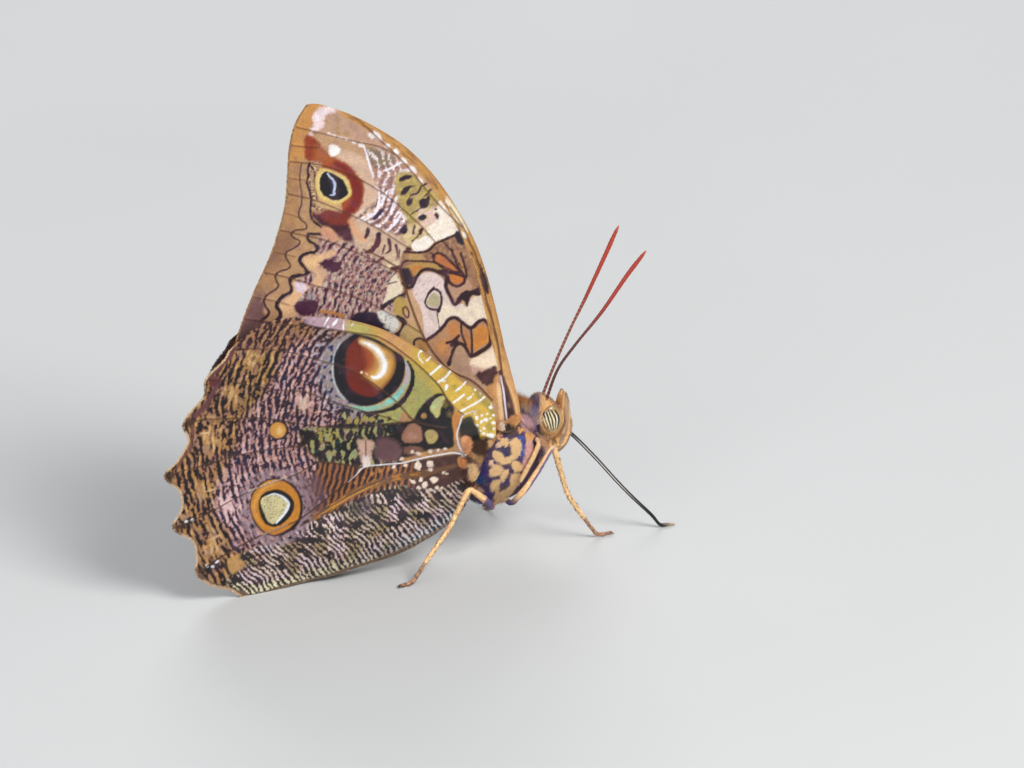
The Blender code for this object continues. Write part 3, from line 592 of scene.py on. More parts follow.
def forewing_below_cell(p, u, v, fine):
    """Left of the cell's lower vein."""
    p.patch("EBD8BC", "396,275 401,283 403,291 397,296 390,300 383,304 387,293 389,284", soft=1.5,
            rough=0.8)
    p.line("6B5060", "389,284 397,282", 0.7, soft=0.8, rough=0.5)
    p.line("231520", "383,307 391,302 400,297 405,294", [2.2, 2.0, 1.6, 1.2], soft=1, rough=0.7)
    p.patch("BC9A50", "395,300 402,297 407,301 408,308 405,315 399,318 394,312", soft=1.6,
            rough=0.4)
    p.line("54242A", "403,309 406,307 409,312 408,318 404,314 403,309", 0.9, soft=0.9)
    p.patch("E3DED2", "378,312 386,311 394,316 399,323 396,331 389,333 383,326 379,318", soft=1.5,
            rough=0.8)
    p.lay("7C7488", 0.8 * step(0.2, 0.4, noise(u / 2.2, v / 2.2, 63)) * p.area(
        "379,313 390,315 392,326 384,326", 2))
    p.line("1E1620", "398,317 404,322 403.5,329 398,335 392,336", [2.0, 3.0, 3.0, 2.6, 1.2],
           soft=1, rough=0.6)
    p.patch("C29F68", "405,326 412,322 420,330 424,340 418,346 408,342 400,337", soft=1.8)
    p.patch("B98745", "417,341 423,339 428,345 427,352 420,350", soft=1.4)
    p.line("3A1C20", "414,345 415,340.5 420,338.5 425,341", 1.2, soft=0.9)
    p.patch("2A1930", "352,318 362,312 374,312 382,322 392,334 400,342 388,338 372,334 356,328",
            soft=3, rough=1.6)


# %% [markdown]
# The front edge is a strong tube under tan scales with fine dark streaks. Distance from one line
# and the share along it place the streaks, so that they follow the curve of the edge.

# %% Forewing: front edge and root
def forewing_front_edge(p, u, v, fine):
    """Fore edge: tan strips with fine dark streaks along them, and white glints painted as
    highlights.
    """
    costa = ("521,424 517,396 512,373 504,345 494,302 484,266 472,235 453,202 430,172 400,143 "
             "379,130 360,120 345,113")
    path = smooth(points(costa))
    away, along = off_line(u, v, path)
    strip = step(0, 1, np.interp(along, [0, 0.5, 0.8, 1], [13, 10.5, 8, 5]) - away)
    p.lay("CB9654", strip)
    p.lay("E0B07A", strip * step(0.35, 0.0, along) * 0.8)
    p.lay("8F5C2E", strip * 0.75 * step(0.05, 0.5, noise(away / 1.5, along * 30, 71))
          * step(0.12, 0.3, along))
    p.lay("3E2016", strip * 0.8 * step(0.2, 0.5, noise(away / 1.1, along * 45, 72))
          * step(0.28, 0.4, along) * step(2.5, 5, away) * step(0.7, 0.6, along))
    p.lay("B77F45", strip * 0.7 * step(2.4, 1.0, away))
    p.patch("F8E6C0", "446,197 452,203 459,213 466,226 468,233 462,228 456,220 450,209", soft=2.5)
    p.patch("2A1A20", "479,262 484,272 489,284 488,294 483,288 480,276", soft=2, rough=1.0)
    p.spots("FFF2E0", "464,235,4,1.5,60; 447,203,3,1,60", soft=1.2, rough=0.5)
    # white spots and strokes along the veins near the tip: painted highlights where the veins glint
    p.spots("FFF4EE", "378,137,5.5,2.6,42; 388,146.5,3,1.8,30; 396.5,152.5,3,2.2,45; "
            "404,161.5,4,2.2,35; 413,170,4.5,2.4,50; 421,181,3,1.4,50; 372,137,3.5,2.2,40",
            soft=1.6, rough=0.7)
    p.line("FFF2F2", "329,135 335,137 341,138.8 347,140.5 353,142", 0.8, soft=1.2, rough=1.0,
           strength=0.8)
    p.spots("FFF6F0", "347,140.5,1.6,1.2; 355,143.5,2.4,1.4,30; 361,146.5,2.4,1.8,40", soft=1,
            rough=0.5)
    # white dot between eye spot and tip
    p.patch("FFF8F0", "330,147 334,146 339,148 341,152 338,156 332,157.5 330,153", soft=2.2,
            rough=0.8)


def forewing_root(p, u, v, fine):
    """The wing's root."""
    p.patch("D29A5E", "494,380 506,376 515,386 519,405 521,424 519,434 508,434 498,428", soft=3,
            strength=0.85)
    p.patch("EDC490", "497,384 501.5,388 503,402 503.5,416 500,420 498,402", soft=1.6, rough=0.5)
    p.patch("5A3A2C", "503.5,376 508,385 512,399 516,416 517.5,426 512,428 508.5,420 506.4,405 "
            "504.6,392", soft=2.0, rough=0.6)
    p.patch("33201A", "506,392 510,402 514.5,417 515,425 511,424 508,414 506,402", soft=2.2,
            rough=0.8, strength=0.9)
    p.spots("8A6A44", "509,405,1,2.6,-15;512,417,1,2.4,-15", soft=1.5, rough=0.8)
    p.line("E8B47A", "506,380 512,392 516,406 518.6,422", [0.4, 1.0, 1.2, 1.0], soft=1.6, rough=0.4)
    p.line("5A1A26", "500.5,372 503.4,390 504.6,404 506.6,420", 2.0, soft=1.0)
    p.patch("3E2A22", "500,427 506,425 512,427 516,431 512,436 503,435", soft=2.2, rough=1.0,
            strength=0.9)


# %% [markdown]
# Veins come last, over everything. A little noise on the finished colour stands for single scales
# that are lighter or darker than their neighbours.

# %% The whole forewing
FOREWING_VEINS = (
    ("505.9,420 504.4,395.6 501.3,368.9 497.5,342.8 492.9,323 486.4,300 480,268.6 470,243 "
     "463.6,227.8 450,207", [1.3, 0.9, 0.6]),
    ("492,400 474,382 450.8,370.6 435.5,355.3 422.8,334.9 412.5,309.4 404.9,286.4 399.8,270 "
     "392,264 378,256 364,250", [0.9, 1.1, 1.2, 1.0, 0.8]),
    ("463,228 446,212 430,194.6 412,172 397.2,156.3 382,142.3 364,125.7 348.8,115.5",
     [0.6, 0.7, 0.6]),
    ("296.5,128.3 313,132 338.6,138.5 361.5,143.6 379.4,147.4 397,156", 0.55),
    ("290.5,146.3 300,147.4 310,148 318,148.5", 0.45),
    ("291.4,162.7 313,164.7 333.5,169 353.9,176.7 376.8,189.5 394.7,202.2 420.2,225.2 436,243",
     0.6),
    ("288.4,194.5 309,199 321.3,202.9 338.6,209.9 364,221.4 384.5,232.9 402.3,244.3 412,250", 0.6),
    ("278.6,230.3 302.9,235.4 325.8,240.5 348.8,249.4 371.7,259.6 389.6,268.6 399.8,272.4", 0.6),
    ("262,272.4 287.6,277.5 313,285 338.6,291.5 364,300.5 384.5,310.7 402.3,320.9 420.2,332.3",
     0.6),
    ("288.8,179 298,180 308,181", 0.3),
    ("284,213 294,216 304,219", 0.3),
    ("273,252 284,254 296,257", 0.3),
    ("254,297 264,299 276,301 290,305", 0.35),
    ("246,319 256,320 268,322", 0.35),
)


def forewing_colours(u, v):
    """The forewing's underside at places on the chart."""
    p = Paint(u, v, "CDA27A")
    fine = noise(u / 1.7, v / 1.7, 3)
    for part in (forewing_border, forewing_tip, forewing_red_field, forewing_waves,
                 forewing_eye_spot, forewing_middle, forewing_flushes, forewing_streaks,
                 forewing_olive_field, forewing_loops, forewing_cream_field, forewing_lobes,
                 forewing_below_cell, forewing_front_edge, forewing_root):
        part(p, u, v, fine)
    # scales are never quite even
    p.colour *= (1 + 0.13 * noise(u / 1.3, v / 1.3, 81) + 0.09 * noise(u / 5, v / 5, 82))[:, None]
    p.lay("7C5068", 0.16 * step(0.0, 0.6, noise(u / 11, v / 11, 83)))
    # veins
    for vein, width in FOREWING_VEINS:
        p.line("5A3018", vein, width, soft=0.9, strength=0.92)
    # white line along the root vein: a painted highlight
    p.line("F4EAFA", "500.5,376 503.6,392 505,406 507.4,424", [0.5, 0.75, 0.75, 0.6], soft=0.8)
    return np.clip(p.colour, 0, 1)


# %% [markdown]
# The hindwing's underside carries the large eye spot near its front edge and a smaller ringed one
# near the rear corner. Ripples fill the ground between them, finer in the rear part.
#
# The ground is ochre outside and pink in the middle, and ripples cross both. A round place without
# them lies between each two veins: there the ripple field is lowered, and nothing is painted over.

# %% Hindwing: ground and ripples
def hindwing_ground(p, u, v, fine):
    """Ground: ochre outside, pink in the middle, brown at the top, mauve along the outer border."""
    p.lay("B4844A", step(-0.6, 0.4, noise(u / 12, v / 12, 101)))
    p.lay("C9955A", 0.8 * step(0.0, 0.5, noise(u / 6, v / 11, 105)))
    p.lay("9A7C30", 0.75 * p.area("250,352 282,346 284,366 266,396 262,418 240,424 244,392 "
            "256,372", 9)
          * step(-0.5, 0.3, noise(u / 7, v / 9, 104)))
    pink = p.area("302,338 286,350 279,370 266,394 250,412 243,420 238,445 230,462 219,485 214,512 "
            "230,530 234,550 262,548 300,538 332,500 322,466 306,446 330,430 350,412 338,398 "
            "328,372 332,345", 8)
    p.lay("C29284", pink * 0.95)
    p.lay("D8ABA2", pink * 0.8 * step(-0.2, 0.4, noise(u / 6, v / 9, 106)))
    p.lay("B7A0B4", pink * 0.6 * step(0.1, 0.5, noise(u / 8, v / 8, 107)))
    p.lay("E6BFC0", pink * 0.9 * p.area("222,488 238,478 246,492 244,520 234,534 224,520", 9))
    upper = p.area("240,344 250,332 270,323 300,318 342,324 338,338 300,344 282,350 262,356", 6)
    p.lay("A07452", upper * 0.9)
    p.lay("9C9CA8", 0.8 * p.area("318,330 334,334 336,352 330,372 336,396 350,408 366,414 350,420 "
            "326,412 318,392 314,356", 10))
    # broken ripples all over it, closer and darker towards the border
    coarse = ripple(u, v, 448, 432, 7.4, 9.5, 111, facing=-1)
    bars = ripple(u, v, 448, 432, 4.9, 6.5, 114, facing=-1) + 0.18 * fine
    bars = 0.72 * coarse + 0.66 * bars + 0.2 * noise(u / 26, v / 26, 112) + 0.1
    plain = 0.0
    for spot in ("254,361,8,10", "232,394,8,9", "212,441,7,14,10", "200,489,7,8",
                 "213,543,6,14,-10", "236,565,8,8", "304,404,7,8", "226,505,6,9"):
        cu, cv, ru, rv = [float(n) for n in spot.split(",")[:4]]
        plain = np.maximum(plain, np.exp(-((u - cu) / ru) ** 2 - ((v - cv) / rv) ** 2))
    bars = bars - 1.15 * plain
    outer = step(352, 336, u - 0.25 * np.maximum(0, 440 - v)) * step(600, 590, v)
    p.lay("8A5E40", outer * (1 - pink) * 0.8 * step(-0.4, -0.05, bars))
    p.lay("8E6468", outer * pink * 0.8 * step(-0.4, -0.05, bars))
    p.lay("46292A", outer * step(0.0, 0.16, bars))
    p.lay("1A110F", outer * (1 - pink) * step(0.1, 0.35, bars))
    p.lay("2A1A2E", outer * pink * step(0.1, 0.4, bars))
    # blue tinge on the darkest bars: a painted iridescent sheen
    p.lay("1B2748", outer * pink * 0.7 * step(0.3, 0.6, bars)
          * step(-0.1, 0.3, noise(u / 12, v / 12, 108)))
    p.lay("E9C892", outer * (1 - pink) * 0.5 * step(-0.8, -1.2, bars))
    p.lay("F0D2CC", outer * pink * 0.6 * step(-0.7, -1.1, bars))
    p.lay("3A1420", upper * 0.6 * step(0.1, 0.4, bars))


# %% [markdown]
# The rim has maroon crescents between its teeth, and the teeth have dark tips. A small ochre spot
# lies further in.

# %% Hindwing: toothed rim
def hindwing_rim(p, u, v, fine):
    """White speckled upper edge."""
    for spot in ("262,322,3,1.4,-20", "284,318.6,4,1.2", "306,317.5,5,1"):
        p.spots("C9A0A0", spot, soft=2, rough=1.5, strength=0.6)
    # outer border: maroon strips and pale fringe between the teeth
    p.line("6B3F3E", "236,347 231,355 224,363 217,371 210,379", [2.5, 3.5, 3.0, 2.0], soft=2.2,
           rough=0.9)
    p.line("6B3F3E", "212,376 219,381 215,391 211,399 205,408 196,416",
           [1.0, 3.0, 2.2, 2.5, 3.2, 2.0], soft=2.2, rough=0.9)
    p.patch("62271E", "210,379 217,378 221,381 217,386 211,386", soft=2, rough=0.8)
    p.line("7A4C3C", "190,420 194,428 193,440 191,448 184,458 178,468",
           [2.4, 1.8, 1.0, 1.4, 1.4, 1.2], soft=1.6, rough=0.8)
    p.spots("6A3A2C", "254,359,1.6,3,20;211,437,1.2,4,10", soft=2, rough=1, strength=0.8)
    p.patch("CC9C5A", "228,560 238,555 244,560 244,570 236,576 229,571", soft=1.8, rough=0.8,
            strength=0.8)
    p.line("3A2C1E", "226,560 227,568 231,576", 1.4, soft=1, rough=0.5)
    p.spots("E4C08C", "206,433,4,1; 212,490,5,0.8,-15; 216,537,5,0.8,-25", soft=1)
    # dark tips of the teeth and white dots on black near the rear corner
    for spot in ("190,423,6,3.5,-20", "172,476,5,4,-30", "180,527,5,3,-30", "202,572,5,4,60"):
        p.spots("3A2218", spot, soft=3, rough=1.2, strength=0.85)
    p.spots("1C1820", "190,521,6,3,-20; 212,566,8,3.6,-35", soft=1.5, rough=0.8)
    p.spots("F4F0F0", "187,521.5,1.6,1.5; 193,520,1.6,1.4; 207.5,566,1.6,1.5; 213,566.5,1.7,1.5; "
            "217.5,561.5,2.4,1.2,-40", soft=1, rough=0.3)
    # small ochre spot
    p.spots("2A1822", "279.5,430.5,10,9.6", soft=1.2, rough=0.8)
    p.spots("DC9C48", "278.5,430.3,8,8", soft=1.4, rough=0.3)
    p.spots("F2C47A", "280.5,431,3,4", soft=3)
    p.spots("D9BCA4", "304,404,3.5,5,20", soft=4, rough=2, strength=0.8)


# %% [markdown]
# The large spot has a halo, a black ring, a red-brown disc and a cream crescent with a white edge.
# From the outside inwards each lies over the last, so no edge has to be fitted to another.

# %% Hindwing: large eye spot
def hindwing_large_eye_spot(p, u, v, fine):
    """Big eye spot and what frames it."""
    halo = p.area("325,352 336,340 352,334 360,352 356,400 384,408 372,414 350,412 336,404 328,392 "
            "322,372", 4)
    p.lay("A8989C", halo * 0.75)
    p.lay("8C8C6A", halo * 0.5 * step(0.0, 0.4, noise(u / 4, v / 4, 121)))
    p.lay("22305C", halo * step(0.15, 0.4, noise(u / 4.4, v / 5, 122)))
    p.line("C9D2D4", "340,344 335.5,354 333.5,366 334,378 338,390 345,399", 0.9, soft=1,
           strength=0.8)
    green = p.area("404,356 414,364 428,374 440,388 452,404 456,412 444,420 430,420 418,421 "
            "404,412 396,424 380,424 362,416 384,408 400,398 410,384 408,368", 2)
    p.lay("ACA65C", green)
    p.lay("8FA06A", green * 0.6 * step(0.0, 0.5, noise(u / 5, v / 5, 123)))
    p.lay("A97C68", green * 0.5 * step(0.1, 0.5, noise(u / 2.4, v / 2.4, 124)))
    from_band = off_line(u, v, smooth(points("404,354 415,362 428,374 440,387 447,400")))[0]
    p.lay("C3A94E", green * 0.8 * step(0.0, 1.0, step(14, 3, from_band)))
    p.line("1C1519", "407.5,362 411,368 413,376 411.5,386 406,397 397,406 386,410.5 374,412.5 "
           "362,412", [1.4, 2.0, 2.2, 2.4, 2.4, 2.6, 1.8, 1.6, 0.8], soft=1, rough=0.6)
    p.line("A8B89A", "405,362 408,370 407.5,380 402,390 394,399 384,405 372,408.5 360,408.5 "
           "350,406", [1.6, 2.2, 2.6, 3.0, 3.0, 2.8, 2.4, 2.0, 1.0], soft=1, rough=0.3)
    p.line("BDA6AE", "406.5,366 408,374 406,382", 2.0, soft=1.6)
    p.line("86CDBE", "401,391 394,398.5 388,402", 2.4, soft=2, rough=0.3)
    p.line("8CBFA6", "378,407.5 366,409 356,408", 1.8, soft=2)
    p.patch("16121A", "334,370 335,356 341,345 350,337 359,333.5 370,332.5 382,336 394,345 402,355 "
            "405.5,366 403,380 396,391 386,399 374,405 362,406 350,402 342,394 336,383", soft=1.1,
            rough=0.25)
    p.spots("5A4A34", "338,350,1,0.6;344,360,1,0.6;341,393,1,0.7;340,373,0.8,0.6;386,343,2,0.5,30;"
            "374,340,1.6,0.5,20", soft=0.8, strength=0.8)
    p.patch("6A2014", "346,361 348,350 353,342 359,337.8 366,340 378,345 388,350 394,354.5 396,364 "
            "394,374 388,384 381,391 375,396.5 366,396 356,392 349,384 346.5,372", soft=1.3,
            rough=0.3)
    p.patch("CF9A48", "361,338.5 368,341 380,346 389,351 393.5,356 394.5,366 391,376 384,385 "
            "379,388 370,381 364,375 372,366 373,357 366,348 360,342", soft=5)
    p.patch("A9502A", "366,344 374,354 375,364 368,374 362,376 366,364 364,352", soft=8,
            strength=0.9)
    p.patch("7C2A16", "348,352 354,344 360,350 366,362 360,374 352,374 348,364", soft=6,
            strength=0.8)
    p.patch("741E12", "347,378 356,382 366,388 375,392 372,396 362,395 352,389", soft=4,
            strength=0.8)
    p.line("F6DDB4", "362,342 369,344.5 376,349 381,356 384,364 383,371 379,376 374,378.5",
           [1.5, 3.0, 3.6, 3.8, 4.0, 4.0, 3.2, 1.6], soft=4)
    p.line("FFFFFF", "364.5,343 370,345 377,349.5 382,356 385,364 384,371 380,376 375,378 "
           "371.5,376.5", [0.7, 1.4, 1.7, 1.8, 2.0, 2.0, 1.8, 1.4, 0.8], soft=1.3)
    p.spots("FFE9C8", "362,372.5,1.3,1.2;367,374,1.6,0.6,40", soft=0.9)


# %% [markdown]
# A yellow band runs along the front edge and widens into a knee at the root. Its white glints are
# painted highlights, where light catches raised scales, and are drawn one by one.

# %% Hindwing: yellow front edge
def hindwing_front_edge(p, u, v, fine):
    """Ochre fore edge with white glints painted as highlights."""
    band = p.area("296,319 323,317 349,320 377,327 400,337.5 418,348 430,358 453,373 468,385 "
            "485,396.5 494,407 498,425 497,436 478,438 470,430 462,414 452,403 447,396 438,384 "
            "425,372 411,361 394,350 376,339 357,333.5 340,331 318,327", 1.5)
    p.lay("C9A24E", band * step(325, 352, u))
    p.lay("D9B24A", band * step(395, 430, u))
    p.lay("BBAE62", band * step(340, 352, u) * step(378, 362, u))
    p.lay("D79C66", band * step(372, 390, u) * step(418, 405, u) * 0.8)
    p.line("B07A44", "345,320.5 377,328 400,338.5 418,349 430,359 453,374 468,386", 0.9, soft=1.2,
           strength=0.8)
    p.lay("8F8A3A", band * 0.5 * step(0.1, 0.7, noise(u / 9, v / 9, 131)) * step(420, 440, u))
    p.lay("9A8A40", 0.8 * p.area("470,384 486,397 494,408 496,420 488,410 478,398", 4))
    p.lay("C7A6B4", band * step(300, 312, u) * step(352, 340, u) * 0.8)
    p.lay("FFF8FA", band * step(322, 328, u) * step(356, 350, u)
          * step(0.2, 0.4, noise((u + 0.4 * v) / 3.2, v / 8, 132)))
    # white glints: painted highlights where light catches raised scales
    for glint, width in (
            ("420.5,351 418.5,356 423,363", 0.6), ("432,356 427,361", 0.8),
            ("441,366 436,370 430,375", 1.05), ("451,371 446,377 439,382", 1.0),
            ("447,386 446,389", 1.6), ("466,382 460,388 456,391", 0.8),
            ("464,395 459,399 454,402.5", 1.0), ("485,397 478,402 470,406.5 461,411", 0.95),
            ("440,381 445,381", 0.9), ("471,397 468,399", 0.9)):
        p.line("FFFDF6", glint, width, soft=0.9, rough=0.4)
    p.spots("FFFDF6", "422,351,1.8,1.4;475.5,389.6,1.5,1.3;473,394.5,0.9,0.7;481.5,393,0.9,0.7;"
            "492.5,404,1.4,1;491,407.5,2.4,1.6;471.5,420,1.6,1.6;477,418,1.8,1.8,20;"
            "482,415.5,1.3,1.1;486,420,2.4,1.8;481.5,422,1.7,1.5;476.5,426,2.4,1.7,-20;"
            "484,428.5,1.3,1.2;494,429,1.2,1.2;494.5,415.5,2.4,1.2;494,423,2.6,1.3;479.5,431,1.8,1;"
            "484,433.5,1.8,1.4;488,435,1.6,1.4;491.5,436,3,2.6;475,414,1,0.8;487.5,414,0.8,0.8;"
            "490,418.5,1,0.8", soft=0.9, rough=0.4)


# %% [markdown]
# Dark and tan blotches fill the root, and the cell behind it is black with olive and mauve
# islands. Noise stretched along the wing makes the islands, single patches the larger blotches.

# %% Hindwing: root and inner cell
def hindwing_root(p, u, v, fine):
    """Blotches at the root."""
    p.patch("3A3726", "464,418 472,417 476,426 480,434 476,442 466,436 460,438 460,426", soft=3,
            rough=1.0)
    p.patch("C98438", "453,411 460,415 458,424 456,434 455,440 451,432 452,420", soft=2)
    p.patch("4A3226", "470,440 480,437 490,438 494,444 488,454 478,455 470,450", soft=3, rough=1.2)
    p.patch("26241E", "459,424 470,422 478,428 478,438 470,440 462,436", soft=2.5, rough=1.2)
    p.patch("E19B69", "462,438 467,436 471,440 470,448 467,452 464,452 463,448", soft=1.6,
            rough=0.6)
    p.patch("D7A56E", "487,441 492,440.5 494,445 490,449 486,447", soft=1.8, rough=0.6)


def hindwing_inner_cell(p, u, v, fine):
    """Black, olive and mauve blotches of the inner cell."""
    black = p.area("440,393 448,399 454,408 452,420 454,436 452,448 430,450 404,458 380,452 "
            "372,440 362,430 346,434 332,444 318,444 306,444 316,430 344,424 378,424 396,422 "
            "412,420 420,408 430,398", 2, rough=0.6)
    p.lay("1E191C", black)
    p.patch("C0B876", "430,409 433,402 438,397.5 444,396 446,401 441,408 440,414 437,418 434,415",
            soft=1.2, rough=0.5)
    p.patch("B9D090", "431,408 434,402 438,399 440,404 434,410", soft=2, strength=0.6)
    p.spots("6A5A30", "446,404,3,4;449,414,2,3", soft=2, rough=1.8)
    p.spots("A97E4C", "424,416,3,2.8", soft=1.2)
    p.patch("A4745C", "402,436 408,426 414,423.5 421,428 422,436 421,442 412,443 404,442",
            soft=1.6, rough=0.7)
    p.spots("C08E7C", "412,436,5,3.5,10", soft=3, rough=1.2, strength=0.7)
    p.patch("B7A062", "425,433 429,430 434,430.5 438,435 437,440 433,443.5 428,443 426,438",
            soft=1.3, rough=0.4)
    p.patch("7A5442", "404,450 408,446.5 418,447 424,450 420,454 408,455", soft=2, rough=1)
    p.line("A08060", "401,451 398,456 392,462", 1.2, soft=1.5, rough=0.8, strength=0.6)
    p.line("AEB070", "344,413 346,422", 1.5, soft=1, rough=0.7)
    cell = p.area("300,430 320,428 352,428 380,424 400,423 398,432 372,440 384,452 400,458 398,464 "
            "364,468 322,463 306,446", 2)
    p.lay("211B1C", cell)
    blobs = noise(u / 4.2 + 0.3 * noise(u / 9, v / 9, 141), v / 8.5, 142) + 0.2 * fine
    p.lay("A9A06A", cell * step(0.05, 0.3, blobs) * step(402, 380, u))
    p.lay("8FA87A", cell * step(0.1, 0.4, blobs) * step(0.0, 0.5, noise(u / 7, v / 7, 143)))
    p.lay("C9A58E", cell * step(0.1, 0.4, blobs) * step(0.1, 0.5, noise(u / 8, v / 8, 144)))
    p.lay("1E5050", cell * 0.5 * step(0.15, 0.4, noise(u / 3, v / 3, 145))
          * step(0.05, -0.1, blobs))
    p.lay("B5A24E", 0.9 * step(-0.1, 0.2, noise(u / 3.2, v / 3.2, 146))
          * p.area("316,430 328,428 338,432 334,442 322,444", 3))
    p.patch("6E4E50", "378,440 386,438 398,442 402,452 396,462 382,462 374,452", soft=5, rough=1.5)
    p.patch("D9B09C", "358,441 364,440 374,442 372,452 370,464 364,467 361,458", soft=2.5,
            rough=1.2)
    p.patch("F2DDD6", "363,456 369,456 370,466 364,468", soft=2)
    p.line("5A3A34", "366,441 366,456", 0.6, soft=0.9)
    p.lay("2A2430", p.area("343,408 362,412 378,414 392,418 380,424 350,425 334,420", 2)
          * step(-0.15, 0.05, noise(u / 3.8, v / 7, 147)))
    p.spots("A8924E", "372,419.5,3.2,2.8;357,421,2,4,15;349,420,2,4,15;364,418,1.6,3.4,15",
            soft=1.2, rough=0.7)
    p.patch("1A1517", "300,430 316,432 306,445 296,447 303,438", soft=2.4, rough=1.4)


# %% [markdown]
# A brown fold runs from the root to the ringed spot, with cream dots above and dark dashes below
# it. The dashes are a sine wave across the fold.

# %% Hindwing: brown fold
def hindwing_fold(p, u, v, fine):
    """Stem of the rear veins, the brown fold behind it and the marks between."""
    rear = p.area("322,463 364,468 400,463 456,454 470,456 478,470 470,496 456,514 430,500 400,500 "
            "372,505 340,520 312,530 300,520 330,496 312,492", 3)
    p.lay("4A2E28", rear)
    p.lay("6E4A3E", rear * 0.5 * step(0.0, 0.6, noise(u / 8, v / 8, 151)))
    dashes = np.sin(2 * np.pi * (u + 0.25 * v + 1.5 * noise(u / 9, v / 9, 152)) / 5.8) + 0.5 * fine
    p.lay("A5683A", rear * 0.9 * step(0.1, 0.5, dashes) * step(424, 400, u)
          * step(520, 505, v + 0.0 * u))
    p.lay("261A18", rear * 0.8 * step(-0.2, -0.6, dashes) * step(424, 400, u))
    fold = "312,518 325,511 340,502 354,493 370,486 388,480 405,476 422,474 440,470 455,466"
    p.line("6B4A2E", fold, [2.0, 3.4, 3.6, 3.4, 3.0, 2.6, 2.0], soft=2.4)
    off, along = off_line(u, v, smooth(points(fold)))
    p.lay("B5772E", step(5, 2, off) * step(0.0, 0.35, noise(off / 1.3 + 2, along * 14, 153))
          * step(440, 400, u))
    p.line("C58A3A", "318,516 330,509 345,500 362,491 380,483", [0.4, 0.8, 0.8, 0.9, 0.4], soft=1,
           rough=0.5)
    for spot in ("406,465.5,2,1.8;418,466,3.4,4.6;430,464,3.6,3.4;430.5,470,2.4,1.6;"
            "413,452,1.8,1.6;418.5,454,2.6,1.8;430,451.5,2.2,2;438,450.5,1.6,1.2;446,449,2,1;"
            "402,459,2,1.6;394,467,1.8,1.6;443,473,2,0.9,-30;446.5,474,1.4,0.8", "434,480,3.8,3.4;"
            "421,480,2.2,2.4;413,482,3,1.4,40;425,485,2.6,3.2;419,488,2,2;430,491,3.4,2;"
            "424,494,4,1.6;437,488,1.8,1.8;442,489,2,2;439,493,2.8,1.2,20;447,495,3,2;"
            "455,488,2,1.2"):
        p.spots("F0D9C4", spot, soft=1.1, rough=0.9)
    for spot in ("380,471,1.6,2;372,474,1.6,2;388,469,1.6,2;396,470,1.4,1.8;364,478,1.6,1.6;"
            "356,483,1.6,1.4",):
        p.spots("C08850", spot, soft=1.4, rough=1.0, strength=0.8)
    p.patch("D18A50", "459,457 463,456.5 465,461 463,467 459,466 457.5,461", soft=1.6, rough=0.6)
    p.patch("E6BC86", "466,462.7 471,461.3 475.3,463.4 476.7,471 476.7,474.6 473.9,477.5 467,477.5 "
            "467.5,469.7", soft=1.4, rough=0.7)
    p.patch("2A2A5C", "478,463 487,464 488,476 480,482 473,484 477,474", soft=2.4, rough=1.0,
            strength=0.9)
    p.spots("E0B07C", "474,487,3,2.4,30;470,491,2,1.6", soft=1.6, rough=0.8)


# %% [markdown]
# Pale stripes cross the rear part down to the margin. They are a sine wave of the distance along
# the wing, leaned over by a curve and shaken by noise, which also blots some of them out.

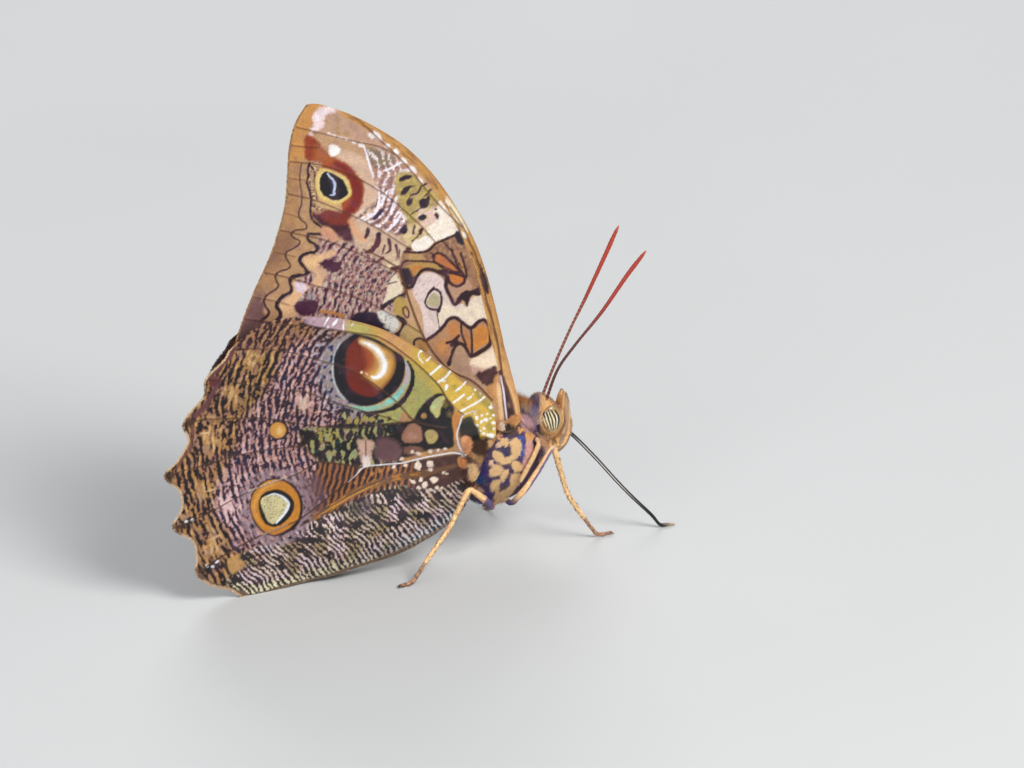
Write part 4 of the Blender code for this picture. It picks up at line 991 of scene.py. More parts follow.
# %% Hindwing: rear stripes
def hindwing_stripes(p, u, v, fine):
    """Fine pale stripes of the rear part."""
    anal = p.area("310,523 330,514 352,502 376,492 400,486 416,490 440,490 462,480 470,500 455,520 "
            "420,542 380,560 330,578 280,590 252,598 232,590 228,578 246,566 240,556 262,545 "
            "290,534", 3)
    p.lay("2A2426", anal)
    p.lay("1E2030", anal * p.area("380,548 400,530 440,506 462,496 462,516 430,540 400,556 350,574 "
            "330,574", 10))
    down = v - 518 + (u - 312) * 0.364
    lean = np.interp(down, [-30, 0, 12, 26, 44, 62, 90], [0, 1, 5, 16, 30.5, 40, 52])
    sway = 2.0 * noise(u / 16, v / 16, 161) + 1.1 * noise(u / 5, v / 5, 162)
    across = (u - lean + sway + 0.9 * noise(u / 2.6, v / 2.2, 167)) / 4.8
    blotch = noise(u / 12, v / 8, 166) * step(60, 20, down)
    pale = (np.sin(2 * np.pi * across) + 0.6 * noise(across * 1.1, v / 5, 163) + 0.4 * fine
            + 0.6 * noise(u / 1.6, v / 1.6, 165) - 1.3 * step(0.05, 0.4, blotch))
    hue = noise(u / 15, v / 15, 164)
    p.lay("7A6258", anal * 0.85 * step(-0.2, 0.15, pale))
    p.lay("C9A894", anal * step(0.1, 0.4, pale))
    p.lay("E6D0C4", anal * step(0.4, 0.8, pale))
    p.lay("EAD2E2", anal * 0.9 * step(0.3, 0.7, pale) * step(0.0, 0.5, hue) * step(0, 12, down))
    p.lay("9C8C54", anal * 0.9 * step(0.1, 0.6, pale) * step(-0.05, -0.4, hue))
    p.lay("C08A70", anal * 0.5 * step(0.0, 0.5, pale) * step(0.15, 0.6, noise(u / 12, v / 10, 168)))
    edge_pale = p.area("232,592 262,596 320,580 390,556 440,530 456,516 452,510 430,526 380,548 "
            "320,568 260,584 236,582", 5)
    p.lay("EFE6BE", anal * edge_pale * step(0.2, 0.6, pale) * step(400, 330, u))
    p.lay("F2F4FA", anal * edge_pale * step(0.2, 0.6, pale) * step(370, 420, u))
    p.lay("241A1C", anal * 0.85 * p.area("404,481 416,486 418,500 410,508 400,496", 5))
    p.lay("8E8456", anal * 0.7 * step(0.25, 0.6, pale)
          * p.area("340,505 372,500 380,520 360,530 342,520", 8))
    p.lay("2A2230", anal * 0.6 * p.area("352,500 366,494 372,508 360,516 350,512", 6))
    p.line("8A7258", "251,597.5 263,594 280,588.4 313,580.6 351,568 389.6,555 415,542 435,532 "
           "453,519", [1.6, 1.4, 1.0, 0.9, 0.8], soft=1.4)
    p.line("7B5F4C", "198,573 206,581 217,587 231,590 243,594 252,597.5", [2.0, 2.4, 2.6, 2.0],
           soft=1.6, rough=0.6)


# %% [markdown]
# The smaller spot has an orange ring, a black one and a yellow-grey core with dark specks. A white
# crescent follows the outer side of the core.

# %% Hindwing: ringed spot
def hindwing_ringed_spot(p, u, v, fine):
    """Lower eye spot."""
    p.lay("A58A92", 0.85 * p.area("240,508 242,490 252,478 270,470 290,470 306,480 314,496 312,520 "
            "300,536 280,546 258,544 244,530", 6) * step(-0.5, 0.2, noise(u / 5, v / 5, 171)))
    p.lay("6E5058", 0.6 * p.area("300,478 318,474 326,490 322,508 310,516 306,496", 8))
    ring = ("250,508 252.5,494.5 259,484.5 269,479 280,478.4 291.5,483.2 299.5,492 303,503 "
            "302.3,516 296.5,526.5 286.5,533.5 274,536.5 262,531.5 254,521.5")
    p.patch("1E1416", ring, soft=1.2, rough=0.3)
    p.patch("CC8428", "251,508 253.5,495 260,486 269.5,480.3 280,480 290,485 297,493 300,503 "
            "299.5,515 294,524 285,531 273.5,534.8 263,530 255,520", soft=1.1, rough=0.25)
    p.patch("E0A04A", "253,508 256,497 262,489 270,484 279,483.5 272,486 262,493 257,504 257,516 "
            "264,526 258,520", soft=3)
    p.patch("16110F", "259,507 260,499 264,493.5 271,490.5 279,489.5 287,493 293,499 294.5,506 "
            "292,514 286,521 280,525.5 273,527 266,524 261.5,517", soft=1.0, rough=0.3)
    p.patch("D8CC96", "261.5,499.5 267,495.5 274,495 282,497.5 287.5,502 287.5,508 283,515 277,521 "
            "272.5,524 267.5,520 264.5,513 262,507", soft=1.0, rough=0.35)
    core = p.area("261.5,499.5 267,495.5 274,495 282,497.5 287.5,502 287.5,508 283,515 277,521 "
            "272.5,524 267.5,520 264.5,513 262,507", 1.5)
    p.lay("5A5030", core * 0.8 * step(0.35, 0.6, noise(u / 1.3, v / 1.3, 172)))
    p.line("EEF2FA", "268,496 274,494 281,496 286,499.5 288.8,504 287,510 282,517 276.5,523",
           [0.4, 0.7, 0.9, 1.1, 1.3, 1.3, 1.2, 0.8], soft=0.8)


# %% [markdown]
# As on the forewing, the scales are made a little uneven and the veins come last. The lowest vein
# and the one at the root get a second, thinner white stroke, a painted highlight where they catch
# the light.

# %% The whole hindwing
HINDWING_VEINS = (
    ("453,410 447,400 440,387 428,374 415,362 402,352 390,343 376,336 357,333 338,330 318,327 "
     "300,325 278,325", [0.9, 0.8, 0.7, 0.4]),
    ("232.7,349 244,348.5 262,349 282.4,351 300,354.5 313,358.5 333.5,364 340,366 352,371 365,378 "
     "376.8,386 394.7,400 404,410 415,421 435.5,427 446,428", [0.6, 0.6, 0.9]),
    ("207.4,379.7 225,380 244,384 274.8,389.3 302.9,391.5 323.3,398 340,404 353.9,408 370,413 "
     "386,417", [0.5, 0.7, 0.7]),
    ("386,417 400,422 412,421.5", 0.5),
    ("186,423 205,419.5 223.8,418.6 262,418 285,421 302.9,424 320,426 345,428 364,427.6 385,424 "
     "404.9,423", 0.6),
    ("167,477 182,471 200.8,465.8 218,460.5 236.5,455.6 253,452 269.7,449.2 285,447.5 295.2,446.7 "
     "305.4,445.4", 0.6),
    ("305.4,445.4 312,453 320.7,462", 0.5), ("305,445 311,438 317,432 320,430", 0.4),
    ("174.9,528.7 192,520.5 211,511.7 230,501 249.3,491.3 262,486 274.8,481 287,477 297.8,473.5 "
     "310.5,465.8 320.7,462 342,464 364,467.5", 0.6),
    ("197.3,573.5 210,564 223.8,555 243,544 262,534.7 275,529.5 287.6,524.5 298,520 308,513 "
     "322,502 338.6,488.8 346,483 353.9,476.6 359,472 366,468", 0.8),
)


def hindwing_colours(u, v):
    """The hindwing's underside at places on the chart."""
    p = Paint(u, v, "A67F66")
    fine = noise(u / 1.6, v / 1.6, 103)
    for part in (hindwing_ground, hindwing_rim, hindwing_large_eye_spot, hindwing_front_edge,
                 hindwing_root, hindwing_inner_cell, hindwing_fold, hindwing_stripes,
                 hindwing_ringed_spot):
        part(p, u, v, fine)
    p.colour *= (1 + 0.13 * noise(u / 1.3, v / 1.3, 181) + 0.09 * noise(u / 5, v / 5, 182))[:, None]
    p.lay("7C5068", 0.14 * step(0.0, 0.6, noise(u / 11, v / 11, 183)))
    for vein, width in HINDWING_VEINS:
        p.line("4A2E1C", vein, width, soft=0.9, strength=0.9)
    p.line("B08A68", "262,534.7 275,529.5 287.6,524.5", 0.7, soft=0.8)
    p.line("C9B8A0", "249,491 262,486 274.8,481 287,477", 0.5, soft=0.8, rough=0.5)
    # white strokes on the stem of the rear veins and on the root vein: painted highlights
    p.line("F4F4F8", "348,482 356,475 364,467 380,465 400,463.5 415,460 427.9,457 440,455 453,453 "
           "463,454.5", [0.2, 0.5, 0.5, 0.6, 0.6, 0.6], soft=0.8)
    p.line("E8E4EC", "477,411 470,412.5 463,416 460,424 457,434 458.5,444 461,450 464,453.5",
           [0.3, 0.5, 0.6, 0.6, 0.5], soft=0.8)
    p.line("4A2E24", "459,411 464,415", 0.6, soft=0.8)
    return np.clip(p.colour, 0, 1)


# %% [markdown]
# The closed wings part round the body and meet again behind it, so each wing is a sheet that
# lies at its own distance from the middle plane. The solids use the same rule with a thick
# membrane; the real one is thinner than paper. The sheet is a fine square grid cut off at the
# wing's outline, with its rim drawn onto the outline itself: a triangulated outline would be
# lighter, but an even grid carries the veins, the pleats between them and the markings.

# %% Measures of wings and body
FOREWING_OFF_MIDDLE = 0.15
LAYER_STEP = 0.98
SOLID_MEMBRANE = 0.5
BODY_AXIS = np.array([(1.4, 12.0), (-3.5, 8.2), (-10.0, 4.9), (-15.8, 3.1)])
BULGE_RISE = [2.0, 2.35, 2.4, 1.2]
BULGE_REACH = [9.0, 7.5, 6.0, 4.5]
HINDWING_HINGE = (-2.1, 10.9)
HINGE_DIP = 0.55
HINGE_DIP_REACH = 1.27
COVER_BORDER = 0.8
TURN_IN = 5.5
WING_GAP = 0.3
THORAX = dict(centre=(0.3, 8.8), tilt=math.radians(20), along=4.4, across=2.8,
              above=4.8, below=4.4, power=2.4)
HEAD = dict(centre=(5.05, 11.6), tilt=math.radians(10), along=1.4, across=1.45,
            above=2.2, below=2.2, power=2.2)
EYE = dict(centre=(5.2, 12.0), tilt=math.radians(10), along=1.05, across=0.65,
           above=1.45, below=1.45, power=2.0)
EYE_OUT = 1.3


# %% [markdown]
# Seen from the side, a wing is a few smooth runs that meet in corners: front edge, outer margin
# and the edge towards the root, which the other wing covers. The hindwing's margin is toothed.
# The solids are cut by the same lines.

# %% Outlines of the wings
def outline_through(*runs):
    """One closed outline of smooth runs that meet in corners."""
    pieces = []
    for run, following in zip(runs, runs[1:] + runs[:1]):
        pieces.append(smooth(list(run) + [following[0]], steps=7)[:-1])
    return np.vstack(pieces)


FOREWING_OUTLINE = outline_through(
    points("1.5,12.9 1.5,14.4 1.1,17.5 0.7,20 -0.3,24.5 -1.3,28.3 -2.5,31.6 -4.4,35.3 -6.7,38.9 "
           "-9.7,42.3 -13.7,45.4 -16.8,47.2 -18.2,47.75"),
    points("-19,47.8 -20.1,46.1 -20.7,43.9 -20.9,40.9 -21.2,37.9 -22.5,33.8 -24.3,30.1 -25.6,27 "
           "-26.3,24.6"),
    points("-26,23.7 -23,21.9 -17,18.8 -11,16.2 -5,13.9 -1,12.6 0.2,12.3"))
HINDWING_OUTLINE = outline_through(
    points("-1.3,13.3 -1.4,15.1 -2,16.1 -4.8,18.7 -8.4,21.9 -12.5,24.8 -17.9,26.9 -23.3,27.4 "
           "-26.5,25.9"),
    points("-27.6,24.5 -29.3,22.7 -29.4,20.8 -31.3,18.5 -30.8,16.6 -31.9,14.8 -33.2,13.5 "
           "-31.7,11.8 -31.5,9.9 -32.4,8.2 -30.4,6.5 -30,4.7 -30.1,3.2 -28.7,1.8 -26.7,0.9"),
    points("-25.4,-0.25"),
    points("-23.9,-0.25 -21.8,0.1 -18.5,0.3 -14.8,0.9 -11.1,1.6 -8.8,2.5 -6.7,3.2 -4.8,4.4"),
    points("-3.8,6.2 -3,8.7 -2.4,10.4 -1.5,11.7"))


def closed(path):
    """The same path, back to its first point."""
    return np.vstack([path, path[:1]])


# %% [markdown]
# The closed wings lie flat against each other except where the body is between them. The push of
# the body fades out over a few millimetres, and near the hinge the chest itself sets the limit.
# Leaning flat sheets would be simpler, but they would cut into the chest.

# %% Where the wings lie
def bulge(x, z):
    """How far the closed wings are pushed out by the body between them."""
    away, along = off_line(x, z, BODY_AXIS)
    place = along * (len(BODY_AXIS) - 1)
    stations = np.arange(len(BODY_AXIS))
    reach = np.interp(place, stations, BULGE_REACH)
    return np.interp(place, stations, BULGE_RISE) * (1 - np.minimum(away / reach, 1) ** 2) ** 2


def half_width(egg, x, z):
    """How far a body form reaches from the middle plane, beside the points x, z."""
    ahead, up = x - egg["centre"][0], z - egg["centre"][1]
    along = (ahead * math.cos(egg["tilt"]) + up * math.sin(egg["tilt"])) / egg["along"]
    rise = up * math.cos(egg["tilt"]) - ahead * math.sin(egg["tilt"])
    rise = rise / np.where(rise > 0, egg["above"], egg["below"])
    left = 1 - np.abs(along) ** egg["power"] - np.abs(rise) ** egg["power"]
    return egg["across"] * np.maximum(left, 0) ** (1 / egg["power"])


def forewing_inner(x, z):
    """Distance of the forewing's inner face from the middle plane."""
    flank = half_width(THORAX, x, z)
    return np.maximum(FOREWING_OFF_MIDDLE + bulge(x, z), np.where(flank > 0, flank + WING_GAP, 0))


def hindwing_inner(x, z):
    """The hindwing lies outside the forewing, and turns in past the forewing's edge."""
    beyond = off_line(x, z, closed(FOREWING_OUTLINE))[0]
    beyond = np.where(within(x, z, FOREWING_OUTLINE), 0, beyond)
    outside = FOREWING_OFF_MIDDLE + bulge(x, z)
    outside = outside + LAYER_STEP * (1 - step(0, 1, (beyond - COVER_BORDER) / TURN_IN))
    hinge = np.hypot(x - HINDWING_HINGE[0], z - HINDWING_HINGE[1])
    outside = outside - HINGE_DIP * np.exp(-(hinge / HINGE_DIP_REACH) ** 2)
    flank = half_width(THORAX, x, z)
    return np.maximum(outside, np.where(flank > 0, flank + WING_GAP, 0))


# %% [markdown]
# A vein is a stiff tube in the membrane. On the real wing it shows as a fine ridge, and the
# membrane dips a little between two veins. Both are moves of the grid's own points, by their
# distance from the same lines that colour the veins, so ridge and colour always agree.

# %% A wing's grid
FINE_GRID = 0.092
COARSE_GRID = 0.3
SHEET_OUT = 0.15
SHEET_THICKNESS = 0.12
PLEAT = 0.035


def cut_grid(outline, pitch):
    """A square grid inside an outline, its rim points moved onto the outline."""
    low, high = outline.min(axis=0), outline.max(axis=0)
    columns = int((high[0] - low[0]) / pitch) + 2
    rows = int((high[1] - low[1]) / pitch) + 2
    x, z = np.meshgrid(low[0] + (np.arange(columns) - 0.5) * pitch,
                       low[1] + (np.arange(rows) - 0.5) * pitch)
    inner = within(x.ravel(), z.ravel(), outline).reshape(x.shape)
    cell = inner[:-1, :-1] & inner[1:, :-1] & inner[:-1, 1:] & inner[1:, 1:]
    number = np.arange(x.size).reshape(x.shape)
    r, c = np.nonzero(cell)
    quads = np.stack([number[r, c], number[r, c + 1], number[r + 1, c + 1], number[r + 1, c]], 1)
    used, packed = np.unique(quads, return_inverse=True)
    quads = packed.reshape(quads.shape)
    shared = np.bincount(quads.ravel(), minlength=len(used))
    px, pz = x.ravel()[used].copy(), z.ravel()[used].copy()
    rim = np.nonzero(shared < 4)[0]
    path = closed(outline)
    best = np.full(len(rim), 1e9)
    on_x, on_z = px[rim].copy(), pz[rim].copy()
    for (ax, az), (bx, bz) in zip(path, path[1:]):
        dx, dz = bx - ax, bz - az
        reach = (px[rim] - ax) * dx + (pz[rim] - az) * dz
        share = np.clip(reach / (dx * dx + dz * dz + 1e-12), 0, 1)
        qx, qz = ax + share * dx, az + share * dz
        away = np.hypot(px[rim] - qx, pz[rim] - qz)
        near = away < best
        best = np.where(near, away, best)
        on_x, on_z = np.where(near, qx, on_x), np.where(near, qz, on_z)
    px[rim], pz[rim] = on_x, on_z
    return px, pz, quads


def rim_share(x, z, outline, width=0.35):
    """0 on the outline, rising to 1 a little way inside it."""
    return np.clip(off_line(x, z, closed(outline))[0] / width, 0, 1)


# %% [markdown]
# Every piece is a mesh made from arrays, with one colour stored at each point. The map named
# OFBake gives each point its own place, so that the colours can be kept when the scene is
# exported.

# %% Meshes and maps
def coloured_piece(name, mesh, colours, finish):
    """An object of a mesh, with one colour stored at each point."""
    marks = mesh.color_attributes.new("markings", "FLOAT_COLOR", "POINT")
    rgba = np.ones((len(colours), 4), np.float32)
    rgba[:, :3] = colours
    marks.data.foreach_set("color", rgba.ravel())
    mesh.materials.append(finish)
    piece = bpy.data.objects.new(name, mesh)
    bpy.context.scene.collection.objects.link(piece)
    return piece


def face_outward(mesh, merge=0.0):
    """Turn a mesh's faces outward, after joining points that lie closer than merge."""
    shell = bmesh.new()
    shell.from_mesh(mesh)
    if merge:
        bmesh.ops.remove_doubles(shell, verts=shell.verts, dist=merge)
    bmesh.ops.recalc_face_normals(shell, faces=shell.faces)
    shell.to_mesh(mesh)
    shell.free()


def mesh_object(name, places, faces, colours, finish):
    """A mesh from arrays: places in modelling millimetres, and one colour to a point."""
    mesh = bpy.data.meshes.new(name)
    places, faces = metres(places), np.asarray(faces)
    sides = faces.shape[1]
    mesh.vertices.add(len(places))
    mesh.vertices.foreach_set("co", places.astype(np.float32).ravel())
    mesh.loops.add(faces.size)
    mesh.loops.foreach_set("vertex_index", faces.astype(np.int32).ravel())
    mesh.polygons.add(len(faces))
    mesh.polygons.foreach_set("loop_start", np.arange(0, faces.size, sides, dtype=np.int32))
    mesh.update(calc_edges=True)
    mesh.validate()
    mesh.polygons.foreach_set("use_smooth", np.ones(len(mesh.polygons), bool))
    return coloured_piece(name, mesh, colours, finish)


def set_map(piece, places):
    """The map on which the exported colours are kept: one place of it to a point."""
    mesh = piece.data
    layer = mesh.uv_layers.new(name="OFBake")
    corner = np.zeros(len(mesh.loops), np.int32)
    mesh.loops.foreach_get("vertex_index", corner)
    layer.data.foreach_set("uv", np.asarray(places, np.float32)[corner].ravel())


# %% [markdown]
# Wings, skin and coat are all covered in scales or hair so fine that one is hardly a pixel.
# The material takes its colour from the markings stored on the points, breaks it up with noise
# at the size of a scale, and adds a bump of the same size. A flat satin finish would look like
# printed card; the small bumps scatter the gloss as the real dust of scales does.

# %% Finishes
def scaled_finish(name, grain, vary, bump, roughness, sheen=0.0, gloss=0.35, stretch=(1, 1, 1)):
    """A material coloured by the markings, broken up at the size of a scale or hair."""
    finish = bpy.data.materials.new(name)
    finish.use_nodes = True
    tree = finish.node_tree
    shader = tree.nodes["Principled BSDF"]
    marks = tree.nodes.new("ShaderNodeAttribute")
    marks.attribute_name = "markings"
    place = tree.nodes.new("ShaderNodeTexCoord")
    squash = tree.nodes.new("ShaderNodeMapping")
    squash.inputs["Scale"].default_value = stretch
    tree.links.new(place.outputs["Object"], squash.inputs["Vector"])
    speckle = tree.nodes.new("ShaderNodeTexNoise")
    speckle.inputs["Scale"].default_value = 1 / (grain * MM)
    speckle.inputs["Detail"].default_value = 2.0
    tree.links.new(squash.outputs["Vector"], speckle.inputs["Vector"])
    spread = tree.nodes.new("ShaderNodeMapRange")
    spread.inputs["From Min"].default_value = 0.3
    spread.inputs["From Max"].default_value = 0.7
    spread.inputs["To Min"].default_value = 1 - vary
    spread.inputs["To Max"].default_value = 1 + vary
    tree.links.new(speckle.outputs["Fac"], spread.inputs["Value"])
    shaded = tree.nodes.new("ShaderNodeVectorMath")
    shaded.operation = "SCALE"
    tree.links.new(marks.outputs["Color"], shaded.inputs[0])
    tree.links.new(spread.outputs["Result"], shaded.inputs["Scale"])
    tree.links.new(shaded.outputs["Vector"], shader.inputs["Base Color"])
    rough = tree.nodes.new("ShaderNodeMapRange")
    rough.inputs["To Min"].default_value = roughness - 0.1
    rough.inputs["To Max"].default_value = roughness + 0.1
    tree.links.new(speckle.outputs["Fac"], rough.inputs["Value"])
    tree.links.new(rough.outputs["Result"], shader.inputs["Roughness"])
    dust = tree.nodes.new("ShaderNodeBump")
    dust.inputs["Strength"].default_value = bump
    dust.inputs["Distance"].default_value = grain * MM
    tree.links.new(speckle.outputs["Fac"], dust.inputs["Height"])
    tree.links.new(dust.outputs["Normal"], shader.inputs["Normal"])
    shader.inputs["Specular IOR Level"].default_value = gloss
    shader.inputs["Sheen Weight"].default_value = sheen
    shader.inputs["Sheen Roughness"].default_value = 0.4
    return finish


forewing_scales = scaled_finish("forewing_scales", 0.11, 0.14, 0.35, 0.62, sheen=0.06)
hindwing_scales = scaled_finish("hindwing_scales", 0.11, 0.14, 0.35, 0.58, sheen=0.06)
print("finishes:", forewing_scales.name, hindwing_scales.name)


# %% [markdown]
# A vein stands out from the membrane by less than a tenth of a millimetre, enough to catch the
# light. The upperside is hidden in a resting insect, so it has only its broad colours: dark brown
# with an orange band on the forewing.

# %% Veins and uppersides
VEIN_RISE = 0.075
VEIN_REACH = 1.9


def vein_relief(u, v, veins):
    """Height of the veins' ridges above the membrane, in millimetres."""
    height = np.zeros(len(u))
    for text, _ in veins:
        path = smooth(points(text))
        low, high = path.min(axis=0) - 4, path.max(axis=0) + 4
        where = np.nonzero((u > low[0]) & (u < high[0]) & (v > low[1]) & (v < high[1]))[0]
        away = off_line(u[where], v[where], path)[0]
        ridge = VEIN_RISE * (1 - step(0, VEIN_REACH, away))
        height[where] = np.maximum(height[where], ridge)
    return height


def upperside_forewing(x, z):
    """Dark brown above, with a slanting orange band from the front edge to the rear corner."""
    shade = np.tile(linear("33211A"), (len(x), 1))
    away, along = off_line(x, z, smooth([(-4.2, 33.5), (-9.5, 30.5), (-16, 27.0), (-21.5, 24.5)]))
    band = np.clip((np.interp(along, [0, 0.5, 1], [2.8, 3.6, 2.2]) - away) / 0.5 + 0.5, 0, 1)
    shade += (linear("D0702A") - shade) * band[:, None]
    spots = np.zeros(len(x))
    for cx, cz in ((-12.5, 43.5), (-15.5, 42.6), (-17.5, 40.6)):
        spots = np.maximum(spots, np.clip((0.7 - np.hypot(x - cx, z - cz)) / 0.3, 0, 1))
    return shade + (linear("EFE3D2") - shade) * spots[:, None]


def upperside_hindwing(x, z):
    """Dark brown above, warmer towards the root, with a dull orange rear border."""
    root = np.hypot(x + 3, z - 11)
    dark, warm = linear("2E1D17"), linear("5E4330")
    shade = dark + (warm - dark) * (1 - step(2, 16, root))[:, None]
    border = off_line(x, z, closed(HINDWING_OUTLINE))[0]
    edge = step(2.6, 1.6, border) * step(-19, -26, x)
    return shade + (linear("9A5526") - shade) * (0.7 * edge)[:, None]


# %% [markdown]
# Each wing is one closed piece: the fine outer sheet with the markings, and a coarser inner sheet
# with the plain colours of the upperside, which only shows from above and behind. A narrow rim has
# the colours of the underside on both, darkened on the inner sheet as painted shade, and both run
# out to nothing there. The wings of the left side are mirror images. They are set a third of a
# millimetre lower and one to two thirds further forward, and the hindwing's upper corner is tucked
# in, so that they stay hidden behind the near ones.

# %% Making the wings
WING_BRIGHT = 0.83
RIM_PAINTED_SHADE = 0.7
RIM_BAND = (1.6, 0.8)
CORNER_TUCK = 0.6
NEAR_SHIFT = (0.16, -0.18)
FAR_SHIFT = {"forewing": (0.44, -0.49), "hindwing": (0.8, -0.49)}


def on_side(kind, side, x, away, z, clearance=0.01):
    """Places on the right or left wing; the far hindwing's upper corner is tucked in a little."""
    shift = NEAR_SHIFT if side < 0 else FAR_SHIFT[kind]
    tucked = side > 0 and kind == "hindwing"
    tuck = CORNER_TUCK * step(-18, -27, x) * step(14, 22, z) if tucked else 0
    up = np.maximum(z + shift[1], FLOOR + clearance)
    return np.stack([x + shift[0] + tuck, side * away, up], 1)


def make_wing_pair(kind, outline, inner_face, colours, upperside, veins, finish):
    """The right and left wing of one pair."""
    x, z, quads = cut_grid(outline, FINE_GRID)
    inner = inner_face(x, z)
    u, v = chart(x, -(inner + SOLID_MEMBRANE), z)
    marks = WING_BRIGHT * colours(u, v)
    share = rim_share(x, z, outline)
    relief = vein_relief(u, v, veins) - PLEAT * (0.5 + 0.5 * noise(x / 2.6, z / 2.6, 7))
    outer = inner + SHEET_OUT - SHEET_THICKNESS * 0.5 * (1 - share) + relief * share
    cx, cz, back_quads = cut_grid(outline, COARSE_GRID)
    back = inner_face(cx, cz)
    back_share = rim_share(cx, cz, outline)
    under = back + SHEET_OUT - SHEET_THICKNESS * (0.5 + 0.5 * back_share)
    back_marks = upperside(cx, cz)
    # the inner sheet's rim takes the underside's colours, darkened as painted shade between the
    # wings
    rim_marks = RIM_PAINTED_SHADE * colours(*chart(cx, -(back + SOLID_MEMBRANE), cz))
    by_rim = step(*RIM_BAND, off_line(cx, cz, closed(outline))[0])
    back_marks += (rim_marks - back_marks) * by_rim[:, None]
    low, high = outline.min(axis=0), outline.max(axis=0)
    span = max(high - low)
    front_map = np.stack([(x - low[0]), (z - low[1])], 1) / span * 0.7 + 0.005
    back_map = np.stack([(cx - low[0]), (cz - low[1])], 1) / span * 0.28 + [0.715, 0.005]
    for side, name in ((-1, "right"), (1, "left")):
        front = on_side(kind, side, x, outer, z)
        rear = on_side(kind, side, cx, under, cz)
        outside = quads if side < 0 else quads[:, ::-1]
        inside = back_quads[:, ::-1] if side < 0 else back_quads
        piece = mesh_object(kind + "_" + name + "_sheet", np.vstack([front, rear]),
                            np.vstack([outside, inside + len(x)]),
                            np.vstack([marks, back_marks]), finish)
        set_map(piece, np.vstack([front_map, back_map]))
        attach(piece, "root")
        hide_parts(kind + "_" + name)
    triangles = 2 * (len(quads) + len(back_quads))
    print(kind, "points:", len(x), "+", len(cx), " triangles:", triangles)


make_wing_pair("forewing", FOREWING_OUTLINE, forewing_inner, forewing_colours,
               upperside_forewing, FOREWING_VEINS, forewing_scales)
make_wing_pair("hindwing", HINDWING_OUTLINE, hindwing_inner, hindwing_colours,
               upperside_hindwing, HINDWING_VEINS, hindwing_scales)


# %% [markdown]
# The body carries the boldest pattern: cream-orange patches on dark violet, with a blue and mauve
# collar. It is drawn on the same chart as the wings, and both the skin and each tuft of
# hair on it ask for their colour there.

# %% Chest markings
ABDOMEN_FRONT = 3.2
ABDOMEN_RING = 1.55


def chest_markings(p, u, v, x, hairs):
    """Cream patches with orange and blue between them, on violet."""
    p.lay("38305C", step(-0.1, 0.5, noise(u / 9, v / 9, 202)))
    p.lay("6A5058", 0.5 * step(0.1, 0.6, hairs))
    for blue in ("530,412 533,418 535,424 535.5,430 532,432 530,426 528,418",
                 "522,441 525,446 524.5,453 522.5,461 520.5,457 521,448",
                 "518,436 524,437 523,441 517,440"):
        p.patch("3D4E8E", blue, soft=2, rough=0.8)
    p.patch("3A2F60", "478,463 486.5,464 487,477 479,478", soft=3, rough=1)
    p.patch("2A4474", "473,477 484,477 484,484 475,484", soft=3, rough=1)
    p.line("CE9C98", "523,419 529,422 531,428", 3.4, soft=2.5, rough=0.8)
    p.patch("D2A6AC", "521,419 526,417 531,421 531,430 526,430.5 522,426", soft=2.5, rough=0.8)
    p.line("CE9A92", "528,440 529,447 528,456 526,464 524,470", [2.4, 4.0, 3.6, 3.2, 2.0], soft=2,
           rough=0.9)
    p.patch("4A3A36", "506.5,427 513,425.5 518.5,428 518,434 512,436 507,434", soft=2, rough=0.8)
    p.patch("3E3A52", "498,447 505,446.5 509,451 508,456.5 502,455 497,451", soft=2, rough=0.6)
    p.patch("4C3C70", "483,495 490,493 494,499 488,505 482,503", soft=3, rough=1)
    p.patch("5A5060", "468,504 478,503 481,512 474,516 468,513", soft=3, rough=1)
    p.patch("C79A86", "477,489 483,490 483,496 478,497", soft=2, rough=1)
    cream = "E6BC86"
    for patch in ("513.2,438.5 518,438.8 520.8,442 521,449 518.8,456.4 513.2,460.4 506.1,464.6 "
            "499.1,463.6 494.6,458.5 493.5,452 497.7,450.8 501.9,454.3 506.4,457.6 511.2,454.5 "
            "510.8,448.7 509.4,444.5 511.2,440",
                  "500.5,439.5 506,438 509.5,441 508,445.5 503,446 500.5,443",
                  "512,463 517.5,461.5 522.3,465 521.5,471 515,471.5 512,468",
                  "490,471 493,465.5 499,465 503.5,468.5 502,474 496,476.5 491,476",
                  "502.5,474 506,469 509,471 507,477 503.5,482 500.5,480",
                  "511.8,474.6 521.6,474 521.4,480.3 516,488.7 510.4,495.7 503.3,502.7 497.7,505.6 "
                  "494.2,501.6 494.9,495.7 491.6,490.8 490.8,483.8 494.9,480.3 500,480.8 "
                  "499.1,489.4 501.5,492.9 506,490.5 509.6,485.2 510.4,479.6",
                  "466.1,462.7 471,461.3 475.3,463.4 476.7,471.1 476.7,474.6 473.9,477.5 "
                  "466.8,477.5 467.5,469.7"):
        p.patch(cream, patch, soft=1.1, rough=0.7)
    p.lay("F0CF9E", 0.5 * step(0.1, 0.6, hairs) * step(0.35, 0.5, p.colour[:, 0]))
    p.spots("D9A070", "474,486.6,4,4.2", rough=0.9)
    p.spots("E2BC98", "498.6,444.6,2.4,3;491.4,463.4,2.6,2.6", rough=0.8)
    p.patch("E0A468", "525.5,433 529,431 533.5,434.5 533,439.5 528.5,440.5 525.5,437.5", soft=1,
            rough=0.5)
    p.spots("DFA062", "521,429.7,3.4,2.8", rough=0.6)
    p.patch("DFA070", "499,427 503.5,428.5 502.5,434 500,439 496.5,438 497,432", soft=1.2,
            rough=0.5)
    p.line("D29458", "494,505.5 487,510 480,513.5 468,517 456,523", [2.6, 2.6, 2.0, 2.6, 2.2],
           soft=1.6, rough=1.0)


# %% [markdown]
# The neck has an orange-brown collar with dark lines. The head is ochre, with a violet and blue
# crest behind the feelers and a cream stripe behind the eye. The face is left plain, because
# palps and hair hide it.

